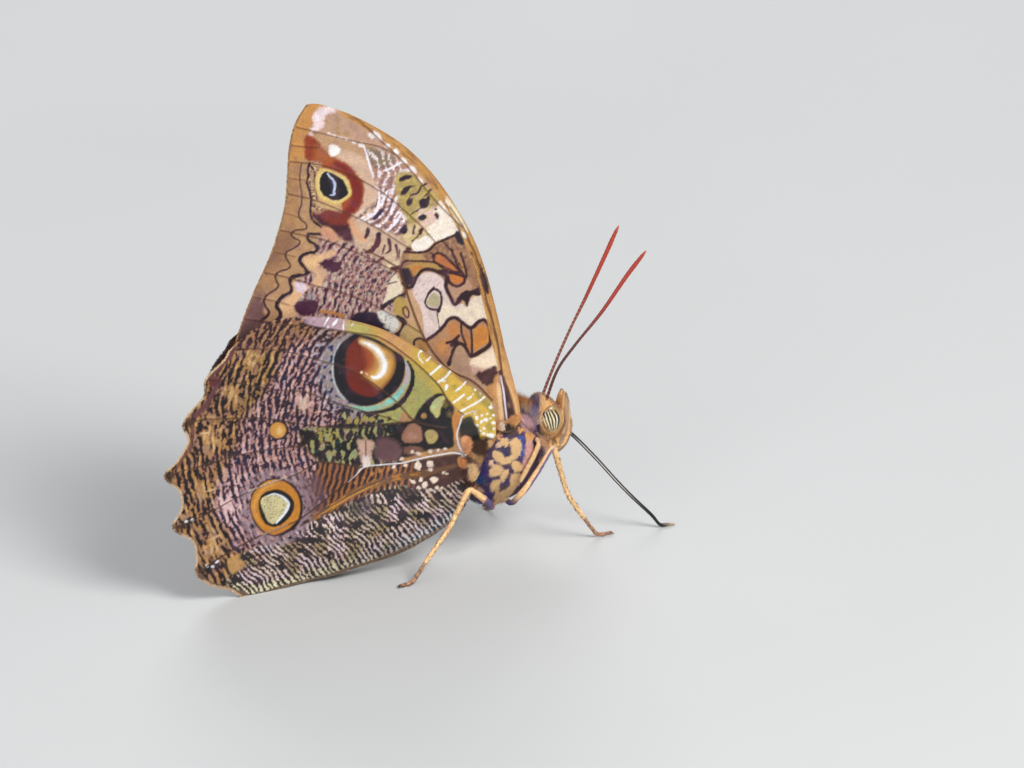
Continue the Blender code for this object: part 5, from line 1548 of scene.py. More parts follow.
# %% Neck and head markings
def neck_markings(p, u, v, x, hairs):
    """The collar and what lies between it and the eye."""
    p.patch("A06A30", "515,394 524,391 531,395 532,405 527,408 520,404", soft=2.5, rough=1.2)
    p.line("8A4A20", "519,395 523,400 527,403", 0.8, soft=1.2, rough=0.8)
    p.line("5A3430", "515,393 524,391.5 530,393", 1.2, soft=2, rough=1.0, strength=0.8)
    p.line("5A2E30", "518,405 523,408 529,414 533,420", 1.0, soft=1.4, rough=0.7)
    p.patch("2E284C", "530,393 535,394 538,402 538,411 534,410 531,402", soft=2, rough=1)
    p.line("C9B8C8", "537,398 540,404", 0.9, soft=1, rough=0.6)
    p.line("B59C88", "520,404 528,410 534,416 538.5,422 540,430", [1.2, 2.0, 2.2, 2.4, 1.8],
           soft=1.6, rough=0.9)
    p.line("3A2840", "522,408 529,414 535,422 537.5,430 537.5,440 534,452 531,462", 1.3, soft=1.3,
           rough=0.6)
    p.line("DDA080", "540,430 541.5,437 540.5,444", 2.4, soft=1.5, rough=0.6)


def head_markings(p, u, v, x, hairs):
    """Ochre head with its dark crest."""
    head = step(3.6, 4.1, x)
    p.lay("DFA468", head)
    p.lay("EFC890", head * 0.7 * step(0.0, 0.5, hairs))
    p.lay("6A4430", head * 0.8 * p.area("548,397 556,397 562,401 562,412 556,408 549,404", 3)
          * step(-0.2, 0.3, hairs))
    crest = head * p.area("528,391 536,390 543,396 542.5,406 540,412 540.5,424 544,438 539,440 "
            "534,420 529,408", 2.5)
    p.lay("33284A", 0.92 * crest)
    p.lay("3A4690", 0.7 * p.area("531,405 535,406 538,412 536,415 532,411", 2))
    p.lay("B9A0C4", 0.75 * crest * step(0.35, 0.7, noise(u / 1.1 + v / 3, v / 5, 205)))
    p.lay("5A3A48", head * 0.85 * p.area("552,396 561,398 563,404 561,410 556,405 552,401", 2.5))
    p.lay("A07850", head * 0.8 * step(0.1, 0.5, hairs) * p.area("552,399 561,400 562,410 555,406",
            2.5))
    p.lay("EDBE84", head * p.area("542,397 548,396.5 549.5,402 545,406 541.5,408", 2))
    # cream stripe behind and below the eye, painted brighter than its own colour to offset the
    # shade on its downward face
    p.lay("F8CF98", head * p.area("541,409 540.3,421 543.5,430.5 548,437 554,438.5 559.5,436 "
            "564,428 566,440 560,452 550,448 543,440 539.6,426 539,412", 1.6))
    p.lay("5A2A20", head * 0.8 * p.area("547,440 552,439 554,443 550,446", 1.5))


# %% [markdown]
# The abdomen is hidden in the photograph. It is tan underneath and in rings, and dark brown along
# the back, as is usual for the group. The whole body's colours are then put together.

# %% The whole body
def abdomen_markings(p, u, v, x, hairs):
    """Tan with dark rings, darkest along the back."""
    abdomen = step(-3.4, -4.6, x)
    p.lay("B08A5E", abdomen)
    p.lay("5A4030", abdomen * step(0.2, 0.9, np.sin(
        (x + ABDOMEN_FRONT) * 2 * math.pi / ABDOMEN_RING) + 0.4 * hairs))
    p.lay("E0C092", abdomen * 0.6 * step(0.2, 0.7, hairs))
    p.lay("3A2A22", abdomen * step(-10, -16, v - (452 - 5.4 * (x + 3.0))) * 0.8)


def body_colours(u, v, x):
    """Colours of head, thorax and abdomen; x tells the three apart."""
    p = Paint(u, v, "4A3848")
    hairs = noise(u / 1.2, v / 4.2, 201)
    for part in (chest_markings, neck_markings, head_markings, abdomen_markings):
        part(p, u, v, x, hairs)
    return np.clip(p.colour, 0, 1)


# %% [markdown]
# Body, eyes and limbs are round forms: rings of points with squares between neighbouring rings. A
# body form is an egg with its own height above and below, like its solid, and a limb is a ring
# carried along a route.

# %% Rings and tubes
def egg_places(egg, inset, rings=40, sides=56):
    """Points and faces of a body form, a little smaller than its solid."""
    lean = np.linspace(0.0, math.pi, rings + 1)[:, None]
    turn = np.linspace(0.0, 2 * math.pi, sides, endpoint=False)[None, :]
    ahead = np.cos(lean) * np.ones_like(turn)
    aside = np.sin(lean) * np.cos(turn)
    up = np.sin(lean) * np.sin(turn)
    power = egg["power"]
    scale = (np.abs(ahead) ** power + np.abs(aside) ** power + np.abs(up) ** power) ** (-1 / power)
    height = np.where(up > 0, egg["above"], egg["below"]) - inset
    ahead, aside, up = (ahead * scale * (egg["along"] - inset), aside * scale
                        * (egg["across"] - inset), up * scale * height)
    tilt = egg["tilt"]
    x = egg["centre"][0] + ahead * math.cos(tilt) - up * math.sin(tilt)
    z = egg["centre"][1] + ahead * math.sin(tilt) + up * math.cos(tilt)
    return np.stack([x, aside, z], 2)


def tube_places(stations, sides, flat=1.0):
    """Rings of points round a route of x, y, z and radius, narrower across y if asked."""
    stations = np.asarray(stations, float)
    centre = stations[:, :3]
    along = np.gradient(centre, axis=0)
    along /= np.linalg.norm(along, axis=1)[:, None]
    across = np.zeros_like(along)
    last = np.array([0.0, 1.0, 0.0])
    for n, direction in enumerate(along):
        last = last - direction * last.dot(direction)
        last /= np.linalg.norm(last)
        across[n] = last
    up = np.cross(along, across)
    turn = np.linspace(0, 2 * math.pi, sides, endpoint=False)
    ring = (across[:, None, :] * (flat * np.cos(turn))[None, :, None]
            + up[:, None, :] * np.sin(turn)[None, :, None])
    return centre[:, None, :] + ring * stations[:, 3][:, None, None]


def ring_faces(rings, sides, first=0):
    """Squares between neighbouring rings of points."""
    r, s = np.meshgrid(np.arange(rings - 1), np.arange(sides), indexing="ij")
    here = first + r * sides + s
    beside = first + r * sides + (s + 1) % sides
    return np.stack([here, beside, beside + sides, here + sides], 2).reshape(-1, 4)


# %% [markdown]
# On the insect, head, chest and abdomen meet under one coat without a seam. Several closed forms
# are filled with small cubes and one skin is drawn round them all, then relaxed. Cutting and
# joining the forms would leave a crease at each neck.

# %% Melting forms together
def melt(forms, voxel, rounds):
    """One even surface over several closed ring forms; returns its points and squares."""
    mesh = bpy.data.meshes.new("melt")
    verts, faces = [], []
    for grid in forms:
        rings, sides = grid.shape[:2]
        first = len(verts)
        verts += grid.reshape(-1, 3).tolist()
        faces += ring_faces(rings, sides, first).tolist()
        faces.append(list(range(first, first + sides))[::-1])
        faces.append(list(range(first + (rings - 1) * sides, first + rings * sides)))
    mesh.from_pydata(verts, [], faces)
    face_outward(mesh, merge=1e-4)
    lump = bpy.data.objects.new("melt", mesh)
    bpy.context.scene.collection.objects.link(lump)
    remesh = lump.modifiers.new("remesh", "REMESH")
    remesh.mode = "VOXEL"
    remesh.voxel_size = voxel
    relax = lump.modifiers.new("relax", "SMOOTH")
    relax.iterations = rounds
    bpy.context.view_layer.update()
    made = lump.evaluated_get(bpy.context.evaluated_depsgraph_get()).to_mesh()
    places = np.array([v.co for v in made.vertices])
    squares = np.array([list(f.vertices) for f in made.polygons])
    bpy.data.objects.remove(lump, do_unlink=True)
    return places, squares


# %% [markdown]
# One skin stands for head, thorax and abdomen, so that no seam shows between them. Three body
# forms, each a coat's depth smaller than its solid, are melted into one surface by a voxel
# remesh; sculpting each by hand would give the same form with more work. The skin is then sunk
# between the segments of the abdomen.

# %% Skin of the body
COAT_DEPTH = 0.24
BODY_BRIGHT = 1.6
SKIN_VOXEL = 0.15
ABDOMEN_ROUTE = [(-2.4, 7.2), (-3.2, 7.0), (-6.5, 6.0), (-10.0, 4.9), (-13.0, 3.9), (-15.8, 3.1)]
ABDOMEN_GIRTH = [1.9, 1.9, 2.0, 1.9, 1.5, 0.55]


def abdomen_stations():
    """Route and radius of the abdomen's skin, with a small tip at its end."""
    knots = [(x, 0.0, z, girth - COAT_DEPTH * min(1.0, girth)) for (x, z), girth in
             zip(ABDOMEN_ROUTE, ABDOMEN_GIRTH)]
    route = smooth(knots, steps=8)
    tip = route[-1].copy()
    tip[:3] += (route[-1] - route[-2])[:3] * 0.3
    tip[3] *= 0.4
    return np.vstack([route, tip])


skin_places, skin_faces = melt(
    [egg_places(THORAX, COAT_DEPTH), egg_places(HEAD, COAT_DEPTH),
     tube_places(abdomen_stations(), 40, flat=0.93)], SKIN_VOXEL, 3)


def unit(arrows):
    """The same arrows with a length of 1."""
    return arrows / np.maximum(np.linalg.norm(arrows, axis=1), 1e-9)[:, None]


def square_normals(places, squares):
    """Normals of a mesh's squares, longer for larger squares."""
    a, b, c, d = (places[squares[:, n]] for n in range(4))
    return np.cross(c - a, d - b)


def normals_of(places, squares):
    """Unit normals of a mesh's points."""
    flat = square_normals(places, squares)
    total = np.zeros_like(places)
    for n in range(4):
        np.add.at(total, squares[:, n], flat)
    return unit(total)


skin_normals = normals_of(skin_places, skin_faces)
RING_DEPTH = 0.09
SOCKET_DEPTH = 0.25
EYE_X, EYE_Z = EYE["centre"]
ring_turn = (skin_places[:, 0] + ABDOMEN_FRONT) * 2 * math.pi / ABDOMEN_RING
sunk = np.where(skin_places[:, 0] < -4.0, RING_DEPTH * step(0.55, 1.0, np.cos(ring_turn)), 0)
eye_away = np.hypot((skin_places[:, 0] - EYE_X) / 1.3, (skin_places[:, 2] - EYE_Z) / 1.7)
sunk = sunk + SOCKET_DEPTH * step(1.0, 0.5, eye_away) * step(0.5, 0.8, np.abs(skin_places[:, 1]))
skin_places = skin_places - skin_normals * sunk[:, None]
fur_skin = scaled_finish("fur_skin", 0.09, 0.2, 0.5, 0.75, sheen=0.1)
skin_u, skin_v = chart(*skin_places.T)
skin_marks = body_colours(skin_u, skin_v, skin_places[:, 0])
skin = mesh_object("body_skin", skin_places, skin_faces, np.clip(skin_marks * 1.1, 0, 1), fur_skin)
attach(skin, "root")
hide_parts("head", "thorax", "abdomen")
print("skin points:", len(skin_places))


# %% [markdown]
# The coat is short scale-like hair, so each tuft is one thin, three-sided blade with a bend. It
# leaves the skin at a low angle and lies backward along the body, as the hair of the real insect
# does. Particle hair would be quicker to set up, but it isn't a mesh and is lost on export.

# %% Tufts
def tufts(name, roots, normals, lie, length, width, lift, colours, finish, maps, droop=0.3, seed=1):
    """Closed, bent blades on a surface. Lie is the way of the comb, lift how far they stand."""
    rng = np.random.default_rng(seed)
    count = len(roots)
    lie = lie + rng.normal(0, 0.28, (count, 3))
    lie -= normals * (lie * normals).sum(1)[:, None]
    lie = unit(lie)
    aside = np.cross(normals, lie)
    length = (length * rng.uniform(0.7, 1.2, count))[:, None]
    width = (width * rng.uniform(0.8, 1.2, count))[:, None]
    rise = (lift * rng.uniform(0.6, 1.4, count))[:, None]
    start = roots - normals * 0.05
    middle = roots + (lie * np.cos(rise) + normals * np.sin(rise)) * length * 0.5
    end_rise = rise * (1 - droop * 2)
    tip = middle + (lie * np.cos(end_rise) + normals * np.sin(end_rise)) * length * 0.5
    spots = np.empty((count, 7, 3))
    for n, (place, share) in enumerate(((start, 0.8), (middle, 1.0))):
        spots[:, 3 * n] = place - aside * width * 0.5 * share
        spots[:, 3 * n + 1] = place + aside * width * 0.5 * share
        spots[:, 3 * n + 2] = place + normals * width * 0.25 * share
    spots[:, 6] = tip
    faces = np.array([(0, 2, 1), (0, 1, 4), (0, 4, 3), (1, 2, 5), (1, 5, 4), (2, 0, 3), (2, 3, 5),
                      (3, 4, 6), (4, 5, 6), (5, 3, 6)])
    all_faces = (faces[None] + 7 * np.arange(count)[:, None, None]).reshape(-1, 3)
    # each blade is painted darker at its root and lighter at its tip: painted shade and painted
    # highlight for the shade tufts cast on one another
    shade = np.array([0.62, 0.62, 0.62, 1.0, 1.0, 1.0, 1.15])
    tint = (colours[:, None, :] * rng.uniform(0.76, 1.18, (count, 1, 1)) * shade[None, :, None])
    tint = tint * np.minimum(1, 0.92 / np.maximum(tint.max(axis=2, keepdims=True), 1e-6))
    piece = mesh_object(name, spots.reshape(-1, 3), all_faces, tint.reshape(-1, 3), finish)
    soft = np.repeat(normals + 0.25 * lie + rng.normal(0, 0.16, (count, 3)), 7, axis=0)
    piece.data.normals_split_custom_set_from_vertices(unit(soft).tolist())
    patch = np.array([(0, 0), (1, 0), (0.5, 0.3), (0, 0.5), (1, 0.5), (0.5, 0.7), (0.5, 1)]) * 0.003
    set_map(piece, (maps[:, None, :] + patch[None]).reshape(-1, 2))
    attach(piece, "root")
    return piece


# %% [markdown]
# Hair grows everywhere, but not in rows. Each tuft gets a random place on a square of the skin,
# and a large square gets more of them. Weights pick the part of the body.

# %% Where the tufts stand
def scatter(places, squares, weights, count, seed):
    """Random points on a surface, more where the weight is high; with the square of each."""
    rng = np.random.default_rng(seed)
    a, b, c, d = (places[squares[:, n]] for n in range(4))
    area = np.linalg.norm(square_normals(places, squares), axis=1) * weights
    pick = rng.choice(len(squares), count, p=area / area.sum())
    s, t = rng.random((2, count, 1))
    spots = (a[pick] * (1 - s) + b[pick] * s) * (1 - t) + (d[pick] * (1 - s) + c[pick] * s) * t
    return spots, pick


def skin_map(spots):
    """A place on the skin's own unwrap: along the body, and round it from the underside."""
    x, y, z = spots.T
    axis_z = np.interp(x, [-15.8, -10, -6.5, -3.2, 0.3, 5.05, 7],
                       [3.1, 4.9, 6.0, 7.0, 8.8, 11.6, 11.9])
    round_ = (np.arctan2(y, axis_z - z) / (2 * math.pi) + 0.5)
    return np.stack([np.interp(x, [-17, 8], [0.01, 0.985]), 0.01 + round_ * 0.97], 1)


# %% [markdown]
# The coat is laid in regions, each with its own comb, length and lift. They have the colours of
# the chart, made brighter, because tufts shade one another.

# %% Coat of the body
face_middle = skin_places[skin_faces].mean(axis=1)
fx, fy, fz = face_middle.T
on_head = fx > 3.9
on_abdomen = fx < -4.2
near_eye = (np.hypot((fx - EYE_X) / 1.15, (fz - EYE_Z) / 1.55) < 1) & (np.abs(fy) > 0.6)
fur = scaled_finish("fur_tufts", 0.2, 0.08, 0.1, 0.68, sheen=0.15, gloss=0.25)


def coat(name, weights, count, comb, length, width, lift, slot, seed, droop=0.3):
    """Tufts on the skin; each has the colour of the chart where its middle lies."""
    spots, pick = scatter(skin_places, skin_faces, weights, count, seed)
    facing = unit(square_normals(skin_places, skin_faces)[pick])
    lie = np.tile(np.array(comb, float), (count, 1))
    along = lie / np.linalg.norm(comb) * math.cos(lift) + facing * math.sin(lift)
    middle = spots + along * length * 0.55
    marks = body_colours(*chart(*middle.T), spots[:, 0]) * BODY_BRIGHT
    piece = tufts(name, spots, facing, lie, np.full(count, length), np.full(count, width),
                  np.full(count, lift), marks, fur, skin_map(spots), droop=droop, seed=seed)
    print(name, "tufts:", count)


on_chest = ~on_head & ~on_abdomen & (fz < 9.0)
coat("chest_coat", np.where(on_chest, 1.0, 0), 17000, (-1, 0, -0.45), 0.44, 0.065, 0.3, "thorax",
     11)
coat("back_coat", np.where(on_head | on_abdomen | on_chest, 0, 1.0), 15000, (-1, 0, -0.3), 0.44,
     0.065, 0.3, "thorax", 10)
coat("head_coat", np.where(on_head & ~near_eye, 1.0, 0), 9000, (-0.5, 0, 0.9), 0.25, 0.045, 0.28,
     "head", 12)
coat("abdomen_coat", np.where(on_abdomen, 1.0, 0), 9000, (-1, 0, -0.3), 0.45, 0.07, 0.25,
     "abdomen", 13)


# %% [markdown]
# Longer hair stands up where the head meets the body: a dark crest behind the feelers, shorter
# hair between the eyes, and an orange-brown collar in front of the wing roots. Without it the
# narrow neck would show as a notch, which the insect does not have.

# %% Crest and collar
near_top = np.abs(fy) < 1.15
coat("crest_coat", np.where(on_head & (fz > 12.4) & (fx < 5.0) & near_top, 1.0, 0), 2200,
     (-0.45, 0.1, 1), 0.75, 0.045, 0.8, "head", 14, droop=0.1)
coat("brow_coat", np.where(on_head & (fz > 12.3) & (fx > 4.9) & near_top, 1.0, 0), 1500,
     (0.35, 0, 1), 0.45, 0.045, 0.7, "head", 15, droop=0.1)
collar = (fx > 1.7) & (fx < 4.0) & (fz > 11.0) & (np.abs(fy) < 1.7)
coat("collar_coat", np.where(collar, 1.0, 0), 4600, (-0.5, 0, 0.6), 1.0, 0.055, 0.7, "thorax", 16,
     droop=0.15)
ruff = (fx > 2.3) & (fx < 3.9) & (fz > 11.3) & (np.abs(fy) < 1.0)
coat("ruff_coat", np.where(ruff, 1.0, 0), 3600, (-0.3, 0, 1.0), 1.5, 0.055, 1.1, "thorax", 18,
     droop=0.05)
throat = (fx > 3.0) & (fx < 5.0) & (fz > 9.2) & (fz < 10.6)
coat("throat_coat", np.where(throat, 1.0, 0), 1800, (0.1, 0, -1.0), 0.95, 0.055, 0.75, "thorax", 20,
     droop=0.1)
under = (fx > -3.6) & (fx < 0.8) & (fz < 6.6)
coat("belly_coat", np.where(under, 1.0, 0), 2400, (-1, 0, -0.9), 0.85, 0.06, 0.5, "thorax", 19,
     droop=0.1)
cheek = on_head & (fz < 11.4) & (fx > 4.9)
coat("cheek_coat", np.where(cheek, 1.0, 0), 2000, (0.8, 0, -0.3), 0.5, 0.05, 0.6, "head", 17,
     droop=0.1)


# %% [markdown]
# The eye is a smooth bead of thousands of tiny lenses. Its bands follow its long axis, so they are
# drawn on the chart like the rest, and the lenses are a cell pattern in the bump under a clear
# gloss. A rim of pale scales frames it.

# %% Bands of the eye
def eye_colours(u, v):
    p = Paint(u, v, "B4884A")
    p.lay("8C7440", 0.7 * p.area("541,412 545,406 551,404 558,407 560,411 552,409.5 545,411", 4))
    p.lay("C0965A", 0.6 * p.area("558,413 562,416 562,424 558,430 559,421", 4))
    p.patch("A8884E", "542.4,413.5 546,410.6 551,410 555.6,412.5 558.2,417.4 558.6,423.5 "
            "556.6,429.6 552.8,432.6 549,430.8 545.4,425.6 542.8,419.5", soft=1.6)
    for dark, width in (("543.6,412.6 544.2,414.6 545.0,417.5", 1.1),
                        ("544.2,419 545.8,423.6 548.2,428", 0.55),
                        ("546.4,412.6 547.6,416.6 549.3,422 551.3,428.6", 0.95),
                        ("548.4,410.9 550.2,416.2 552.2,421.8 553.2,429.2", 1.0),
                        ("551,410.4 554.2,415.2 556,420.6 555.7,427.6", 1.0),
                        ("555.1,410.6 558,415.4 558.7,421.6 557.2,428.2", 0.95)):
        p.line("2A1C10", dark, [width * 0.9, width * 1.3, width * 0.7], soft=0.5)
    for band in ("545.2,413.8 546.6,418 548.2,423 550.2,428.8",
                 "547.9,412 549.3,416.4 551,421.6 552.5,429",
                 "550,411.2 552.3,415.6 554.2,420.8 554.6,427.4",
                 "553.2,411.2 556.2,415.2 557.3,420.6 556.5,427.8",
                 "543.2,417 544.6,421.6 546.8,426.6"):
        p.line("F8ECC4", band, [0.3, 0.6, 0.4], soft=0.4)
    p.lay("D9D2A0", 0.7 * p.area("549,429 553,431.8 556,429 555,432.6 552,433.4", 1.5))
    return np.clip(p.colour, 0, 1)


# %% [markdown]
# Eyes, feelers, tongue and claws are bare shell with a gloss. The material takes its colour from
# the markings and has fine cells in its bump: lenses on the eye, a light grain on the rest.

# %% Glossy finish
def glossy_finish(name, roughness, cell, bump, coat):
    """A material coloured by the markings, with fine cells in its bump and a clear coat."""
    finish = bpy.data.materials.new(name)
    finish.use_nodes = True
    tree = finish.node_tree
    shader = tree.nodes["Principled BSDF"]
    marks = tree.nodes.new("ShaderNodeAttribute")
    marks.attribute_name = "markings"
    tree.links.new(marks.outputs["Color"], shader.inputs["Base Color"])
    place = tree.nodes.new("ShaderNodeTexCoord")
    cells = tree.nodes.new("ShaderNodeTexVoronoi")
    cells.inputs["Scale"].default_value = 1 / (cell * MM)
    tree.links.new(place.outputs["Object"], cells.inputs["Vector"])
    facet = tree.nodes.new("ShaderNodeBump")
    facet.inputs["Strength"].default_value = bump
    facet.inputs["Distance"].default_value = cell * MM * 0.5
    facet.invert = True
    tree.links.new(cells.outputs["Distance"], facet.inputs["Height"])
    tree.links.new(facet.outputs["Normal"], shader.inputs["Normal"])
    shader.inputs["Roughness"].default_value = roughness
    shader.inputs["Coat Weight"].default_value = coat
    shader.inputs["Coat Roughness"].default_value = 0.12
    return finish


# %% [markdown]
# The two beads are set into the sides of the head, and each has a ring of flat pale scales round
# it. The scales stand out a little, as on the real head, and hide the joint with the skin.

# %% Eyes
eye_lenses = glossy_finish("eye_lenses", 0.3, 0.05, 0.35, 0.6)
RIM_STEPS = 72
RIM_SCALES = 48
RIM_OUT = 1.38
RIM_AHEAD, RIM_UP = 1.0, 1.38


def make_eye(side, name):
    """One bead of lenses, a twentieth of a millimetre inside its solid."""
    grid = egg_places(EYE, 0.05, rings=48, sides=64)
    grid[:, :, 1] += side * EYE_OUT
    bead = grid.reshape(-1, 3)
    eye = mesh_object("eye_bead_" + name, bead, ring_faces(*grid.shape[:2]),
                      eye_colours(*chart(*bead.T)), eye_lenses)
    face_outward(eye.data, merge=1e-7)
    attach(eye, "root")
    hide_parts("eye_" + name)


def make_eye_rim(side, name):
    """Pale scales in a ring round the eye."""
    turn = np.linspace(0, 2 * math.pi, RIM_STEPS, endpoint=False)
    tilt = EYE["tilt"]
    ahead, up = RIM_AHEAD * np.cos(turn), RIM_UP * np.sin(turn)
    rim = np.stack([EYE_X + ahead * math.cos(tilt) - up * math.sin(tilt),
                    np.full(RIM_STEPS, side * RIM_OUT),
                    EYE_Z + ahead * math.sin(tilt) + up * math.cos(tilt)], 1)
    outward = unit(rim - np.array([EYE_X, side * RIM_OUT, EYE_Z]))
    roots = np.repeat(rim, RIM_SCALES, axis=0)
    away = np.repeat(outward, RIM_SCALES, axis=0)
    rng = np.random.default_rng(31)
    roots = roots + away * rng.uniform(-0.03, 0.1, (len(roots), 1))
    roots[:, 1] += side * rng.uniform(-0.16, 0.02, len(roots))
    facing = away * 0.45 + np.array([0, side, 0]) * 0.89
    along = away * 0.7 + np.cross(away, np.array([0, 1.0, 0])) * 0.8 - np.array([0, side * 0.3, 0])
    tints = body_colours(*chart(*(roots + away * 0.15).T), roots[:, 0]) * BODY_BRIGHT
    ring = tufts("eye_rim_" + name, roots, facing, along, np.full(len(roots), 0.17),
                 np.full(len(roots), 0.045), np.full(len(roots), 0.12), tints, fur,
                 skin_map(roots), seed=32)


for side, name in ((-1, "right"), (1, "left")):
    make_eye(side, name)
    make_eye_rim(side, name)
print("eyes: banded beads with", RIM_STEPS * RIM_SCALES, "rim scales each")


# %% [markdown]
# Feelers, tongue, palps and legs are all limbs: a round or flat section swept along a route. Each
# has its own way to vary its girth and colour along the way, given as a function, so one sweep
# makes them all. Curves with a bevel could do the same, but not the ringed joints.

# %% Routes of limbs
def rounded_route(knots, rounding=0.55, pitch=0.08):
    """Points along a jointed route, each joint rounded off; returns x, y, z and radius."""
    knots = np.asarray(knots, float)
    bends = [knots[:1]]
    for before, joint, after in zip(knots, knots[1:], knots[2:]):
        back = min(rounding / np.linalg.norm((before - joint)[:3]), 0.45)
        ahead = min(rounding / np.linalg.norm((after - joint)[:3]), 0.45)
        entry, leave = joint + (before - joint) * back, joint + (after - joint) * ahead
        t = np.linspace(0, 1, 7)[:, None]
        bends.append(entry * (1 - t) ** 2 + 2 * joint * t * (1 - t) + leave * t ** 2)
    return resample(np.vstack(bends + [knots[-1:]]), pitch)


def resample(route, pitch):
    """The same route with points one pitch apart."""
    gone = np.concatenate([[0], np.cumsum(np.linalg.norm(np.diff(route[:, :3], axis=0), axis=1))])
    places = np.linspace(0, gone[-1], max(8, int(gone[-1] / pitch)))
    return np.stack([np.interp(places, gone, route[:, n]) for n in range(4)], 1)


def knot_shares(knots, route):
    """How far along the route each knot lies, from 0 to 1."""
    found = [int(np.argmin(np.linalg.norm(route[:, :3] - np.array(k[:3]), axis=1))) for k in knots]
    return np.array(found) / (len(route) - 1)


# %% [markdown]
# A limb is a closed tube. At every point its radius and its colour come from two functions of how
# far along and how far round the point lies, which is how a club, a joint or a groove is given.

# %% Sweeping a limb
def sweep(name, route, sides, girth, colour, finish, flat=1.0):
    """A closed limb. Girth gives a factor for the radius, colour a tint, from share and angle."""
    share = np.linspace(0, 1, len(route))
    angle = np.linspace(0, 2 * math.pi, sides, endpoint=False)
    grid = tube_places(route, sides, flat)
    factor = girth(share[:, None], angle[None, :]) * np.ones((len(route), sides))
    grid = route[:, None, :3] + (grid - route[:, None, :3]) * factor[:, :, None]
    grid[:, :, 2] = np.maximum(grid[:, :, 2], FLOOR)
    tints = colour(np.repeat(share, sides), np.tile(angle, len(route)), grid.reshape(-1, 3))
    ends = np.stack([route[0, :3], route[-1, :3]])
    places = np.vstack([grid.reshape(-1, 3), ends])
    faces = ring_faces(len(route), sides).tolist()
    first, last = len(places) - 2, len(places) - 1
    tail = (len(route) - 1) * sides
    mesh = bpy.data.meshes.new(name)
    caps = [[s, first, (s + 1) % sides] for s in range(sides)]
    caps += [[tail + s, tail + (s + 1) % sides, last] for s in range(sides)]
    mesh.from_pydata(metres(places).tolist(), [], faces + caps)
    mesh.polygons.foreach_set("use_smooth", np.ones(len(mesh.polygons), bool))
    face_outward(mesh)
    piece = coloured_piece(name, mesh, np.vstack([tints, tints[:1], tints[-1:]]), finish)
    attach(piece, "root")
    return piece, grid


# %% [markdown]
# Scales and bristles on a limb are the same blades as the body's coat, combed towards the foot or
# the tip. Another function says where on the limb they stand.

# %% Scales on limbs
def limb_tufts(name, grid, route, count, length, width, lift, tint, where, seed):
    """Scales or bristles on a limb, combed towards its far end, where the weight is above 0."""
    squares = ring_faces(*grid.shape[:2])
    sides = grid.shape[1]
    ring = squares[:, 0] // sides
    share = ring / (grid.shape[0] - 2)
    angle = (squares[:, 0] % sides) / sides * 2 * math.pi
    weights = where(share, angle) * np.ones(len(squares))
    spots, pick = scatter(grid.reshape(-1, 3), squares, weights, count, seed)
    facing = spots - route[ring[pick], :3]
    along = unit(np.gradient(route[:, :3], axis=0)[ring[pick]])
    facing -= along * (facing * along).sum(1)[:, None]
    facing = unit(facing)
    tints = tint(share[pick], angle[pick], spots)
    unwrap = np.stack([0.01 + 0.97 * share[pick], 0.01 + 0.97 * angle[pick] / (2 * math.pi)], 1)
    return tufts(name, spots, facing, along, np.full(count, length), np.full(count, width),
                 np.full(count, lift), tints, fur, unwrap, seed=seed + 1)


def mixed(*pairs):
    """Lay colours over one another: each pair is a code and where it covers, from 0 to 1."""
    shade = np.tile(linear(pairs[0][0]), (len(pairs[0][1]), 1)) * 1.0
    for code, cover in pairs[1:]:
        shade += (linear(code) - shade) * np.asarray(cover)[:, None]
    return shade


# %% [markdown]
# A feeler is built of some forty short joints and thickens to a club over its outer part. The
# joints swell a little at their far ends. The shaft is dark maroon with pale flecks near the
# head, and the club is red-brown.

# %% Feelers
ANTENNAE = {
    "right": [(4.9, -0.5, 12.9), (5.08, -0.6, 13.9), (5.96, -1.0, 16.7), (7.5, -1.5, 19.1),
              (9.9, -2.0, 22.1), (12.1, -2.5, 25.4), (13.3, -2.75, 27.0), (13.9, -2.9, 27.8)],
    "left": [(5.0, 0.5, 12.9), (5.3, 0.6, 13.9), (6.7, 0.95, 16.6), (8.35, 1.35, 19.4),
             (10.1, 1.8, 22.0), (12.4, 2.45, 25.6), (13.3, 2.75, 27.0), (13.9, 2.9, 27.9)]}
ANTENNA_JOINTS = 44
ANTENNA_RADIUS = 0.115
shell_gloss = glossy_finish("shell_gloss", 0.38, 0.06, 0.15, 0.25)


def antenna_girth(share, angle):
    joint = (share * ANTENNA_JOINTS) % 1.0
    club = np.interp(share, [0, 0.03, 0.45, 0.62, 0.9, 0.97, 1.0],
                     [1.6, 1.25, 1.15, 1.5, 1.85, 1.4, 0.5])
    return club * (1 + 0.09 * np.sin(joint * math.pi) ** 2 - 0.05)


def antenna_colour(shaft, fleck):
    """The two feelers differ in light: one looks browner, with more pale flecks at its joints."""
    def colour(share, angle, places):
        ringed = step(0.3, 0.8, np.sin(share * ANTENNA_JOINTS * 2 * math.pi))
        flecks = ringed * np.maximum(step(0.62, 0.5, share) * fleck, step(0.14, 0.08, share) * 0.8)
        flecks = flecks * step(0.1, 0.7, np.abs(np.sin(angle)))
        joint = step(0.85, 1.0, np.abs(np.sin(share * ANTENNA_JOINTS * math.pi)))
        return mixed((shaft, share), ("A62E16", step(0.35, 0.7, share)), ("E0B49A", 0.8 * flecks),
                     ("2A0A0C", 0.35 * (1 - joint) * step(0.8, 0.5, share)),
                     ("B8542A", step(0.965, 1.0, share)))
    return colour


